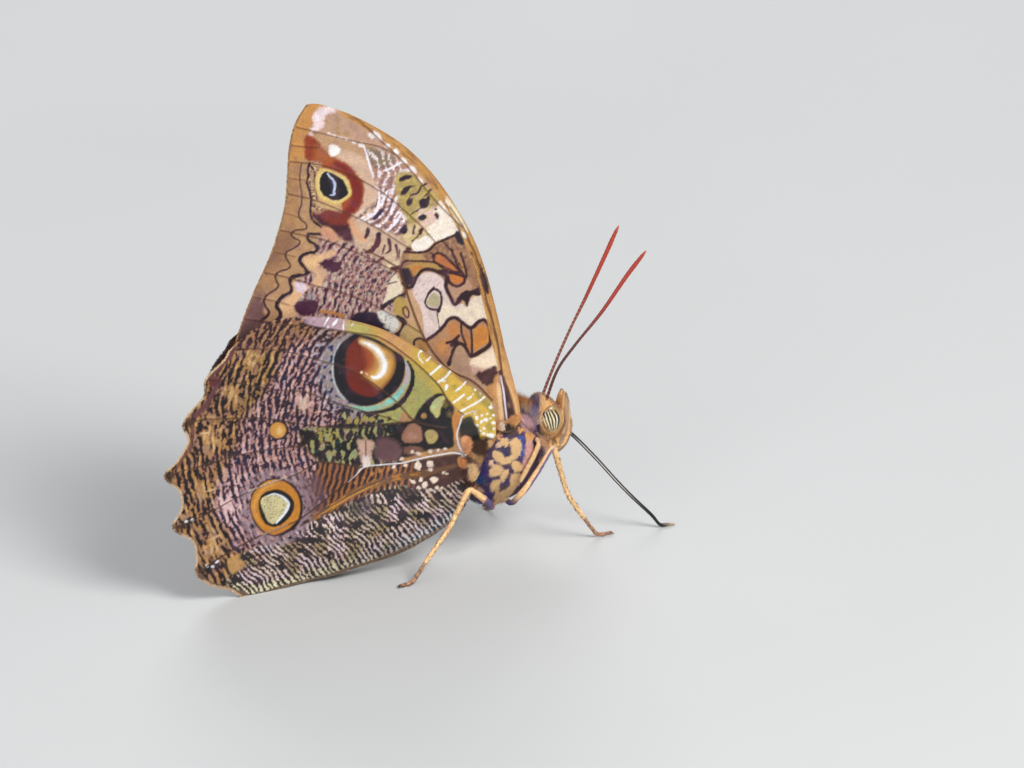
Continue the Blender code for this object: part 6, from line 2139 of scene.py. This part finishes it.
for name, knots in ANTENNAE.items():
    route = smooth([(*k, ANTENNA_RADIUS) for k in knots], steps=40)
    route = resample(route, 0.045)
    shade = antenna_colour("5A1A12", 0.15) if name == "right" else antenna_colour("8A4028", 0.9)
    feeler, _ = sweep("antenna_" + name + "_joints", route, 14, antenna_girth, shade, shell_gloss)
    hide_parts("antenna_" + name)


# %% [markdown]
# The tongue is two half tubes side by side, with a groove where they meet and fine rings. It
# hangs from the head and rests on the ground, dark with a pale line of light along it.

# %% Tongue
PROBOSCIS = [(5.6, 0.0, 10.4), (6.6, 0.0, 10.1), (7.6, -0.2, 9.6), (9.7, -0.95, 7.1),
             (11.3, -1.8, 4.95), (12.7, -2.4, 3.2), (14.5, -2.85, 1.15), (15.3, -3.0, 0.07),
             (16.0, -3.1, -0.03), (16.7, -3.2, -0.11)]
TONGUE_RADIUS = 0.2


def tongue_girth(share, angle):
    """Two half tubes side by side: a groove above and below, and fine rings."""
    groove = 1 - 0.3 * np.exp(-((np.abs(np.sin(angle)) - 1) / 0.12) ** 2)
    taper = np.interp(share, [0, 0.1, 0.8, 0.95, 1], [1.3, 1.05, 0.95, 0.85, 0.4])
    return groove * taper * (1 + 0.025 * np.sin(share * 150 * math.pi))


tongue_route = resample(smooth([(*k, TONGUE_RADIUS) for k in PROBOSCIS], steps=30), 0.05)
TONGUE_LINE = np.stack(chart(*tongue_route[::8, :3].T), 1)


def tongue_colour(share, angle, places):
    """Dark, with a pale line where the light runs along its upper side."""
    middle = off_line(*chart(*places.T), TONGUE_LINE)[0]
    shine = step(0.45, 0.15, middle) * step(0.1, 0.25, share) * step(0.8, 0.5, share)
    return mixed(("120C0A", share), ("ECE4DC", shine), ("A8906E", step(0.93, 0.985, share)),
                 ("6A4A34", 0.5 * step(0.12, 0.0, share)))


tongue_gloss = glossy_finish("tongue_gloss", 0.42, 0.08, 0.1, 0.1)
tongue, _ = sweep("proboscis_tubes", tongue_route, 20, tongue_girth, tongue_colour, tongue_gloss)
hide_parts("proboscis")
print("feelers:", ANTENNA_JOINTS, "joints each; tongue points:", len(tongue_route))


# %% [markdown]
# The two palps stand up in front of the face like a narrow prow. Each is flat, cream at the edges
# with a grey stripe down its outer side, and bristly along its front edge.

# %% Palps
PALP = [(4.9, -0.85, 9.9, 0.3), (5.35, -0.9, 9.05, 0.4), (6.05, -0.94, 9.05, 0.55),
        (6.65, -0.94, 10.0, 0.58), (6.85, -0.88, 11.3, 0.52), (6.9, -0.6, 12.6, 0.44),
        (6.95, -0.34, 13.8, 0.2)]
PALP_STRIPE = smooth(points("566.9,393.5 567.3,402 567.5,412 567.4,422 566.6,430 564.4,436.5 "
        "561.5,441.5 558.5,447"))


def palp_girth(share, angle):
    return np.interp(share, [0, 0.7, 0.93, 1.0], [0.84, 0.84, 0.95, 0.7])


for side, name in ((-1, "right"), (1, "left")):
    outer = math.pi if side < 0 else 0.0

    def palp_colour(share, angle, places, outer=outer):
        u, v = chart(*places.T)
        grain = noise(u / 0.9, v / 2.4, 231)
        side_on = step(1.9, 1.5, np.abs((angle - outer + math.pi) % (2 * math.pi) - math.pi))
        stripe = side_on * step(2.1, 1.3, off_line(u, v, PALP_STRIPE)[0]) * step(0.02, 0.12, share)
        seam = step(1.2, 0.3, np.abs(u - np.interp(v, [393, 425, 440], [565.2, 564.9, 560.5])))
        return BODY_BRIGHT * mixed(("E6B070", share), ("F6D49C", 0.6 * step(0.0, 0.5, grain)),
                                   ("C08A52", 0.4 * step(-0.1, -0.6, grain)), ("947A62", stripe),
                                   ("A48C74", 0.6 * stripe * step(0.0, 0.5, grain)),
                                   ("6A4A46", 0.8 * side_on * seam * step(442, 436, v)))

    knots = [(x, -side * y, z, r) for x, y, z, r in PALP]
    route = resample(smooth(knots, steps=20), 0.07)
    palp, grid = sweep("palp_" + name + "_core", route, 28, palp_girth, palp_colour, fur_skin,
                       flat=0.6)
    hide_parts("palp_" + name)
    scales = limb_tufts("palp_" + name + "_scales", grid, route, 3400, 0.22, 0.055, 0.12,
                        palp_colour, lambda share, angle: 1.0, 41)
    bristles = limb_tufts("palp_" + name + "_bristles", grid, route, 300, 0.36, 0.06, 0.6,
                          palp_colour, lambda share, angle: np.cos(angle + math.pi / 2).clip(0) ** 4
                          * (share > 0.2) * (share < 0.62), 43)
    cheek = limb_tufts("palp_" + name + "_cheek", grid, route, 900, 0.5, 0.07, 1.15, palp_colour,
                       lambda share, angle: np.cos(angle - math.pi / 2).clip(0) ** 2
                       * (share > 0.08) * (share < 0.72), 45)
print("palps done")


# %% [markdown]
# The insect stands on four legs; the small forelegs are folded against the chest. A thigh is
# thickest in its middle, a shin is slim with spines, and a foot has five joints and two claws.
# All of them are dusted with flat scales, cream on the shins and purple-brown elsewhere.

# %% Routes of the legs
FOOT = FLOOR + 0.22
FORELEG = [(3.5, -0.9, 10.4, 0.25), (3.5, -2.35, 10.35, 0.26), (2.5, -2.95, 9.2, 0.27),
           (1.5, -3.15, 7.8, 0.25), (1.15, -3.2, 7.3, 0.14)]
MIDLEG_RIGHT = [(0.2, -0.9, 5.4, 0.42), (0.55, -2.45, 4.75, 0.42), (1.7, -3.15, 6.4, 0.42),
                (3.0, -3.3, 8.2, 0.4), (4.6, -2.9, 10.1, 0.36), (6.1, -2.7, 4.85, 0.28),
                (7.85, -2.6, 2.0, 0.25), (9.2, -2.5, FOOT, 0.25), (10.6, -2.5, FOOT, 0.2)]
MIDLEG_LEFT = [(0.2, -0.9, 5.4, 0.42), (0.6, -2.45, 4.8, 0.42), (2.4, -4.9, 7.9, 0.38),
               (2.9, -5.8, 4.3, 0.28), (2.8, -6.3, 1.9, 0.25), (2.7, -6.8, FOOT, 0.25),
               (2.6, -7.7, FOOT, 0.2)]
HINDLEG = [(-1.0, -0.9, 5.4, 0.42), (-1.4, -2.6, 4.9, 0.42), (-2.6, -3.75, 6.4, 0.4),
           (-4.4, -4.1, 8.1, 0.36), (-6.5, -4.15, 4.35, 0.29), (-9.0, -4.4, 1.6, 0.25),
           (-10.3, -4.6, FOOT, 0.25), (-11.6, -4.7, FOOT, 0.2)]


def mirrored(knots):
    """The same route on the other side."""
    return [(x, -y, z, r) for x, y, z, r in knots]


# %% [markdown]
# A shin carries stiff dark spines in four rows, and a foot ends in two curved claws. At life size
# they are about as thick as a hair, and without them the legs would look like wire.

# %% Spines and claws
def spine_colour(share, angle, places):
    return mixed(("6A4228", share), ("3A2018", step(0.5, 1, share)))


def claw_colour(share, angle, places):
    return mixed(("3A1E14", share))


def add_spines(name, grid, route, knee_at, seed):
    """Spines below the knee, densest in four rows."""
    def rows(share, angle):
        return (share > knee_at + 0.05) * (share < 0.985) * (0.3 + np.cos(angle * 2) ** 2)

    spines = limb_tufts(name + "_spines", grid, route, 110, 0.34, 0.045, 0.6, spine_colour, rows,
                        seed)


def add_claws(name, route):
    """Two hooks at the end of a foot."""
    end = route[-1, :3]
    ahead = route[-1, :3] - route[-6, :3]
    ahead /= np.linalg.norm(ahead)
    aside = np.cross(ahead, (0, 0, 1.0))
    for side, label in ((-1, "a"), (1, "b")):
        hook = [(*(end - ahead * 0.12 + aside * side * 0.04), 0.05),
                (*(end + ahead * 0.08 + aside * side * 0.12 + (0, 0, 0.03)), 0.045),
                (*(end + ahead * 0.2 + aside * side * 0.15 - (0, 0, 0.08)), 0.03),
                (*(end + ahead * 0.22 + aside * side * 0.13 - (0, 0, 0.16)), 0.012)]
        claw, _ = sweep(name + "_claw_" + label, resample(smooth(hook, steps=6), 0.03), 8,
                        lambda share, angle: 1.0 + 0 * share, claw_colour, shell_gloss)


# %% [markdown]
# One function makes all six legs: a swept shaft whose girth and colour change at knee and ankle,
# a dusting of scales, and for the walking legs the spines and claws. The upper end takes the
# colours of the chest, so that no leg looks stuck on.

# %% Legs
def make_leg(name, knots, knee, ankle, seed, slim=1.0):
    """A leg with its knee and ankle at the given knots; without an ankle it has no foot."""
    route = rounded_route(knots)
    shares = knot_shares(knots, route)
    knee_at = shares[knee]
    ankle_at = shares[ankle] if ankle else 1.0
    thigh_u, thigh_v = (float(n) for n in chart(*np.array(knots[max(knee - 1, 1)][:3])))

    def girth(share, angle):
        thigh = slim * (0.66 + 0.16 * np.sin(math.pi * np.clip(share / knee_at, 0, 1)) ** 2)
        shin = np.interp(share, [knee_at, knee_at + 0.03, (knee_at + ankle_at) / 2, ankle_at],
                         [0.66, 0.76, 0.74, 0.8])
        joint = ((share - ankle_at) / max(1 - ankle_at, 0.01) * 5) % 1.0
        foot = 0.56 + 0.16 * step(0.5, 0.95, joint) * step(1.0, 0.98, joint)
        return np.where(share < knee_at, thigh, np.where(share < ankle_at, shin, foot))

    def tint(share, angle, places):
        grain = noise(places[:, 0] * 5 + places[:, 1] * 5, places[:, 2] * 5, seed)
        thigh = step(knee_at + 0.02, knee_at - 0.03, share)
        foot = step(ankle_at - 0.02, ankle_at + 0.03, share)
        u, v = chart(*places.T)
        beside = (u - thigh_u) * 0.862 + (v - thigh_v) * 0.507
        pattern = body_colours(u, v, places[:, 0])
        foot_share = (share - ankle_at) / max(1 - ankle_at, 0.01)
        joints = step(0.3, 0.8, np.sin(foot_share * 10 * math.pi))
        shade = mixed(("D9AE7A", share), ("ECC898", 0.6 * step(0.0, 0.6, grain)),
                      ("9A7A58", 0.5 * step(-0.1, -0.6, grain)),
                      ("7C6470", thigh * step(-0.4, 0.6, beside)),
                      ("4A4066", thigh * 0.8 * step(0.6, 1.6, beside)),
                      ("744438", foot * 0.7),
                      ("5A3A38", 0.6 * foot * joints),
                      ("6A4A3A", foot * step(0.97, 1.0, share)))
        near_chest = step(knee_at * 0.4, knee_at * 0.2, share)[:, None]
        return BODY_BRIGHT * (shade + (pattern - shade) * near_chest)

    leg, grid = sweep(name + "_shaft", route, 16, girth, tint, fur_skin)
    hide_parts(name)
    scales = limb_tufts(name + "_scales", grid, route, 2400, 0.2, 0.06, 0.2, tint,
                        lambda share, angle: (share > 0.04) * 1.0, seed)
    if ankle:
        add_spines(name, grid, route, knee_at, seed + 5)
        add_claws(name, route)


make_leg("foreleg_right", FORELEG, 1, None, 301)
make_leg("foreleg_left", mirrored(FORELEG), 1, None, 302)
make_leg("midleg_right", MIDLEG_RIGHT, 4, 6, 303, slim=0.82)
make_leg("midleg_left", mirrored(MIDLEG_LEFT), 2, 4, 304)
make_leg("hindleg_right", HINDLEG, 3, 5, 305)
make_leg("hindleg_left", mirrored(HINDLEG), 3, 5, 306)
print("legs done")


# %% [markdown]
# A butterfly's wing ends in a fringe of hair-like scales, pale in the hollows between the teeth
# and dark at their points, and its root is buried in hair. Both take away the hard cut edge that
# a bare sheet would show. They are the same blades as the coat, rooted in the wing's own rim.

# %% Rim of a wing
def rim_roots(outline, inner_face, spacing, copies, seed):
    """Points along a wing's rim, with the way out of the wing and the height of the rim."""
    rng = np.random.default_rng(seed)
    path = closed(outline)
    gone = np.concatenate([[0], np.cumsum(np.linalg.norm(np.diff(path, axis=0), axis=1))])
    at = np.repeat(np.arange(0, gone[-1], spacing), copies)
    at = (at + rng.uniform(-spacing, spacing, len(at))) % gone[-1]
    x, z = np.interp(at, gone, path[:, 0]), np.interp(at, gone, path[:, 1])
    ahead = (at + 0.15) % gone[-1]
    dx, dz = np.interp(ahead, gone, path[:, 0]) - x, np.interp(ahead, gone, path[:, 1]) - z
    size = np.maximum(np.hypot(dx, dz), 1e-6)
    out_x, out_z = dz / size, -dx / size
    inside = within(x + out_x * 0.2, z + out_z * 0.2, outline)
    out_x, out_z = np.where(inside, -out_x, out_x), np.where(inside, -out_z, out_z)
    depth = rng.uniform(0.02, 0.16, len(x))
    x, z = x - out_x * depth, z - out_z * depth
    return x, z, out_x, out_z, inner_face(x, z) + SHEET_OUT


# %% [markdown]
# The fringe is longest between the teeth of the hindwing, short along its rear edge, and missing
# where one wing covers the other. Length and colour are functions of the place on the rim.

# %% Scales of a fringe
def fringe(kind, outline, inner_face, colours, length, spacing, copies, seed):
    """Short scales that stand out from the rim in the wing's own plane."""
    x, z, out_x, out_z, away = rim_roots(outline, inner_face, spacing, copies, seed)
    reach = length(x, z)
    keep = reach > 0.03
    x, z, out_x, out_z, away, reach = (n[keep] for n in (x, z, out_x, out_z, away, reach))
    tints = WING_BRIGHT * colours(x, z, away)
    low, high = outline.min(axis=0), outline.max(axis=0)
    unwrap = np.stack([x - low[0], z - low[1]], 1) / max(high - low) * 0.97 + 0.01
    for side, name in ((-1, "right"), (1, "left")):
        roots = on_side(kind, side, x, away, z, clearance=0.08)
        outward = np.stack([out_x, np.zeros(len(x)), out_z], 1)
        flat = np.tile(np.array([0.0, side, 0.0]), (len(x), 1))
        fringe_piece = tufts(kind + "_" + name + "_fringe", roots, flat, outward, reach,
                             np.full(len(x), 0.05), np.full(len(x), 0.06), tints, fur, unwrap,
                             seed=seed)
    print(kind, "fringe scales:", len(x))


def hindwing_fringe_length(x, z):
    toothed = step(-19.0, -21.0, x) * step(26.0, 25.0, z)
    rear = step(3.5, 2.5, z) * 0.16
    return np.maximum(0.24 * toothed, rear)


def hindwing_fringe_colours(x, z, away):
    u, v = chart(x, -away, z)
    tips = np.zeros(len(x))
    for tu, tv in ((186, 424), (167, 477), (175, 529), (198, 573), (206, 389), (252, 598)):
        tips = np.maximum(tips, np.exp(-((u - tu) ** 2 + (v - tv) ** 2) / 50))
    tooth = mixed(("D9B48C", u), ("7A5238", 0.9 * step(0.25, 0.6, tips)),
                  ("F0D8B4", 0.5 * step(0.0, 0.4, noise(u / 3, v / 3, 401))))
    rear = step(588, 592, v) * step(246, 250, u) + step(250, 262, u)
    edge = mixed(("8E7660", u), ("B49C78", step(0, 0.5, noise(u / 4, v / 4, 402))))
    return tooth + (edge - tooth) * np.clip(rear, 0, 1)[:, None]


def forewing_fringe_length(x, z):
    outer = step(-20.0, -21.0, x) * step(21.5, 24.5, z) + step(-18.5, -19.5, x) * step(44, 46, z)
    return 0.16 * np.clip(outer, 0, 1)


def forewing_fringe_colours(x, z, away):
    u, v = chart(x, -away, z)
    return mixed(("A87C50", u), ("D8B084", 0.7 * step(0.0, 0.4, noise(u / 3, v / 3, 403))))


# %% [markdown]
# Both pairs of wings get their fringe from the same function, the far ones moved with their
# sheets.

# %% Fringes
fringe("hindwing", HINDWING_OUTLINE, hindwing_inner, hindwing_fringe_colours,
       hindwing_fringe_length, 0.05, 4, 51)
fringe("forewing", FOREWING_OUTLINE, forewing_inner, forewing_fringe_colours,
       forewing_fringe_length, 0.05, 4, 52)


# %% [markdown]
# Where the wings leave the chest, hair covers the hinges: cream, rose and orange tufts over dark
# brown. It is rooted in the wing's outer face and combed back, so that no bare joint shows.

# %% Hair at the wing roots
def root_colours(u, v):
    """Hair at the wing roots: cream, rose and orange tufts over dark brown."""
    p = Paint(u, v, "C98E58")
    p.patch("3A2A22", "498,424 506,423 514,426 517,432 512,438 502,437 497,431", soft=2.5,
            rough=1.2)
    p.patch("E6A878", "497,424 503,427 505,434 502,442 497,441 494,434", soft=2.0, rough=1.0)
    p.patch("F0D8C0", "499,421 503,424 503,428 499,427", soft=1.5, rough=0.6)
    p.patch("E8A45A", "515,424 520,423 525,429 528,434 524,438 518,434", soft=1.5, rough=0.8)
    p.patch("E9BE88", "466,463 471,461.5 475.5,463.5 477,471 477,475 474,478 467,477.5 467.5,470",
            soft=1.5, rough=1.0)
    p.patch("D8A070", "470,484 477,484 478,490 472,492", soft=1.5, rough=0.8)
    return np.clip(p.colour, 0, 1)


def root_hair(name, outline, inner_face, colours, patches, comb, length, count, slot, seed):
    """Hair on the outer face of the right and left wing, in ovals of x, z and two half widths."""
    rng = np.random.default_rng(seed)
    spots = []
    for cx, cz, rx, rz in patches:
        turn, reach = rng.uniform(0, 2 * math.pi, count), np.sqrt(rng.uniform(0, 1, count))
        spots.append(np.stack([cx + rx * reach * np.cos(turn), cz + rz * reach * np.sin(turn)], 1))
    x, z = np.vstack(spots).T
    on_wing = within(x, z, outline)
    x, z = x[on_wing], z[on_wing]
    away = inner_face(x, z) + SHEET_OUT
    marks = colours(*chart(x + comb[0] * length * 0.5, -away, z + comb[2] * length * 0.5))
    unwrap = np.stack([np.interp(x, [-8, 6], [0.01, 0.98]), np.interp(z, [3, 20], [0.01, 0.98])], 1)
    for side, label in ((-1, "right"), (1, "left")):
        roots = on_side(slot, side, x, away, z)
        facing = np.tile(np.array([0.0, side, 0.0]), (len(x), 1))
        lie = np.tile(np.array(comb, float), (len(x), 1))
        hair = tufts(name + "_" + label, roots, facing, lie, np.full(len(x), length),
                     np.full(len(x), 0.055), np.full(len(x), 0.3), marks, fur, unwrap, seed=seed)


root_hair("forewing_root_hair", FOREWING_OUTLINE, forewing_inner, root_colours,
          [(0.9, 12.95, 0.55, 0.5), (1.35, 13.0, 0.25, 0.4), (0.1, 12.7, 0.7, 0.25),
           (-0.2, 12.75, 0.5, 0.3), (-0.75, 12.6, 0.35, 0.6)], (-0.4, 0, 0.9), 0.5, 420,
           "forewing", 61)
root_hair("hindwing_root_hair", HINDWING_OUTLINE, hindwing_inner, hindwing_colours,
          [(-3.1, 10.4, 1.4, 2.4), (-3.0, 8.5, 1.0, 1.8)], (-0.95, 0, -0.3), 0.5, 1500, "hindwing",
          62)
print("wing roots done")


# %% [markdown]
# The stage is plain: a pale matt floor with a faint mottle, wide enough to fill the picture from
# every side.

# %% Floor
FLOOR_HALF = 1.5
FLOOR_TONES = ((0.55, 0.55, 0.535, 1), (0.60, 0.60, 0.585, 1))


def make_floor():
    floor_mesh = bpy.data.meshes.new("floor")
    shell = bmesh.new()
    bmesh.ops.create_grid(shell, x_segments=8, y_segments=8, size=FLOOR_HALF)
    shell.to_mesh(floor_mesh)
    shell.free()
    floor = bpy.data.objects.new("floor", floor_mesh)
    bpy.context.scene.collection.objects.link(floor)
    matt = bpy.data.materials.new("pale_floor")
    matt.use_nodes = True
    tree = matt.node_tree
    shader = tree.nodes["Principled BSDF"]
    shader.inputs["Roughness"].default_value = 0.85
    shader.inputs["Specular IOR Level"].default_value = 0.2
    mottle = tree.nodes.new("ShaderNodeTexNoise")
    mottle.inputs["Scale"].default_value = 60.0
    tint = tree.nodes.new("ShaderNodeValToRGB")
    for element, tone in zip(tint.color_ramp.elements, FLOOR_TONES):
        element.color = tone
    tree.links.new(mottle.outputs["Fac"], tint.inputs["Fac"])
    tree.links.new(tint.outputs["Color"], shader.inputs["Base Color"])
    floor_mesh.materials.append(matt)


make_floor()
print("floor:", 2 * FLOOR_HALF, "m wide")


# %% [markdown]
# A large soft light stands to the right in front, a weaker one on the left and one behind, with
# an even grey surround. Hard light, like a flash, would draw black shadows on the floor and hide
# the relief of the wings.

# %% Lights
def soft_light(name, place, target, size, power):
    """A square area light that faces a target; places in metres."""
    lamp = bpy.data.lights.new(name, "AREA")
    lamp.size = size
    lamp.energy = power
    holder = bpy.data.objects.new(name, lamp)
    holder.location = place
    holder.rotation_euler = (Vector(target) - Vector(place)).to_track_quat("-Z", "Y").to_euler()
    bpy.context.scene.collection.objects.link(holder)


KEY_POWER, SIDE_POWER, BACK_POWER = 1.9, 0.72, 0.84
SURROUND_STRENGTH = 0.43
middle = (0.0, 0.0, 0.02)
soft_light("key_light", (0.12, -0.30, 0.36), middle, 0.20, KEY_POWER)
soft_light("side_light", (-0.42, -0.22, 0.16), middle, 0.30, SIDE_POWER)
soft_light("back_light", (0.10, 0.36, 0.30), middle, 0.25, BACK_POWER)
surround = bpy.data.worlds.new("surround")
surround.use_nodes = True
grey = surround.node_tree.nodes["Background"]
grey.inputs["Color"].default_value = (0.85, 0.9, 1.0, 1)
grey.inputs["Strength"].default_value = SURROUND_STRENGTH
bpy.context.scene.world = surround
bpy.context.scene.view_settings.view_transform = "Standard"
print("lights:", KEY_POWER, SIDE_POWER, BACK_POWER, "W, surround", SURROUND_STRENGTH)


# %% [markdown]
# The camera looks from the front right and from above, through a long lens, because the
# photograph shows almost no perspective.

# %% Camera
VIEW_RIGHT = Vector((0.9063, -0.4226, 0.0))
VIEW_UP = Vector((0.1786, 0.3830, 0.9063))
VIEW_BACK = Vector((-0.3830, -0.8214, 0.4226))
CAMERA_DISTANCE = 3.0
IMAGE_WIDTH = 0.0934
SENSOR_WIDTH = 36.0
AIM_RIGHT, AIM_UP = 0.00164, 0.01446
AIM = Vector((0.008236, -0.001411, 0.00025)) + VIEW_RIGHT * AIM_RIGHT + VIEW_UP * AIM_UP


def make_camera():
    lens = bpy.data.cameras.new("camera")
    lens.sensor_width = SENSOR_WIDTH
    lens.lens = SENSOR_WIDTH * CAMERA_DISTANCE / IMAGE_WIDTH
    lens.clip_start = 0.01
    lens.clip_end = 30.0
    camera = bpy.data.objects.new("camera", lens)
    camera.location = AIM + VIEW_BACK * CAMERA_DISTANCE
    camera.rotation_euler = VIEW_BACK.to_track_quat("Z", "Y").to_euler()
    bpy.context.scene.collection.objects.link(camera)
    bpy.context.scene.camera = camera


make_camera()
print("camera at", [round(n, 3) for n in bpy.context.scene.camera.location])
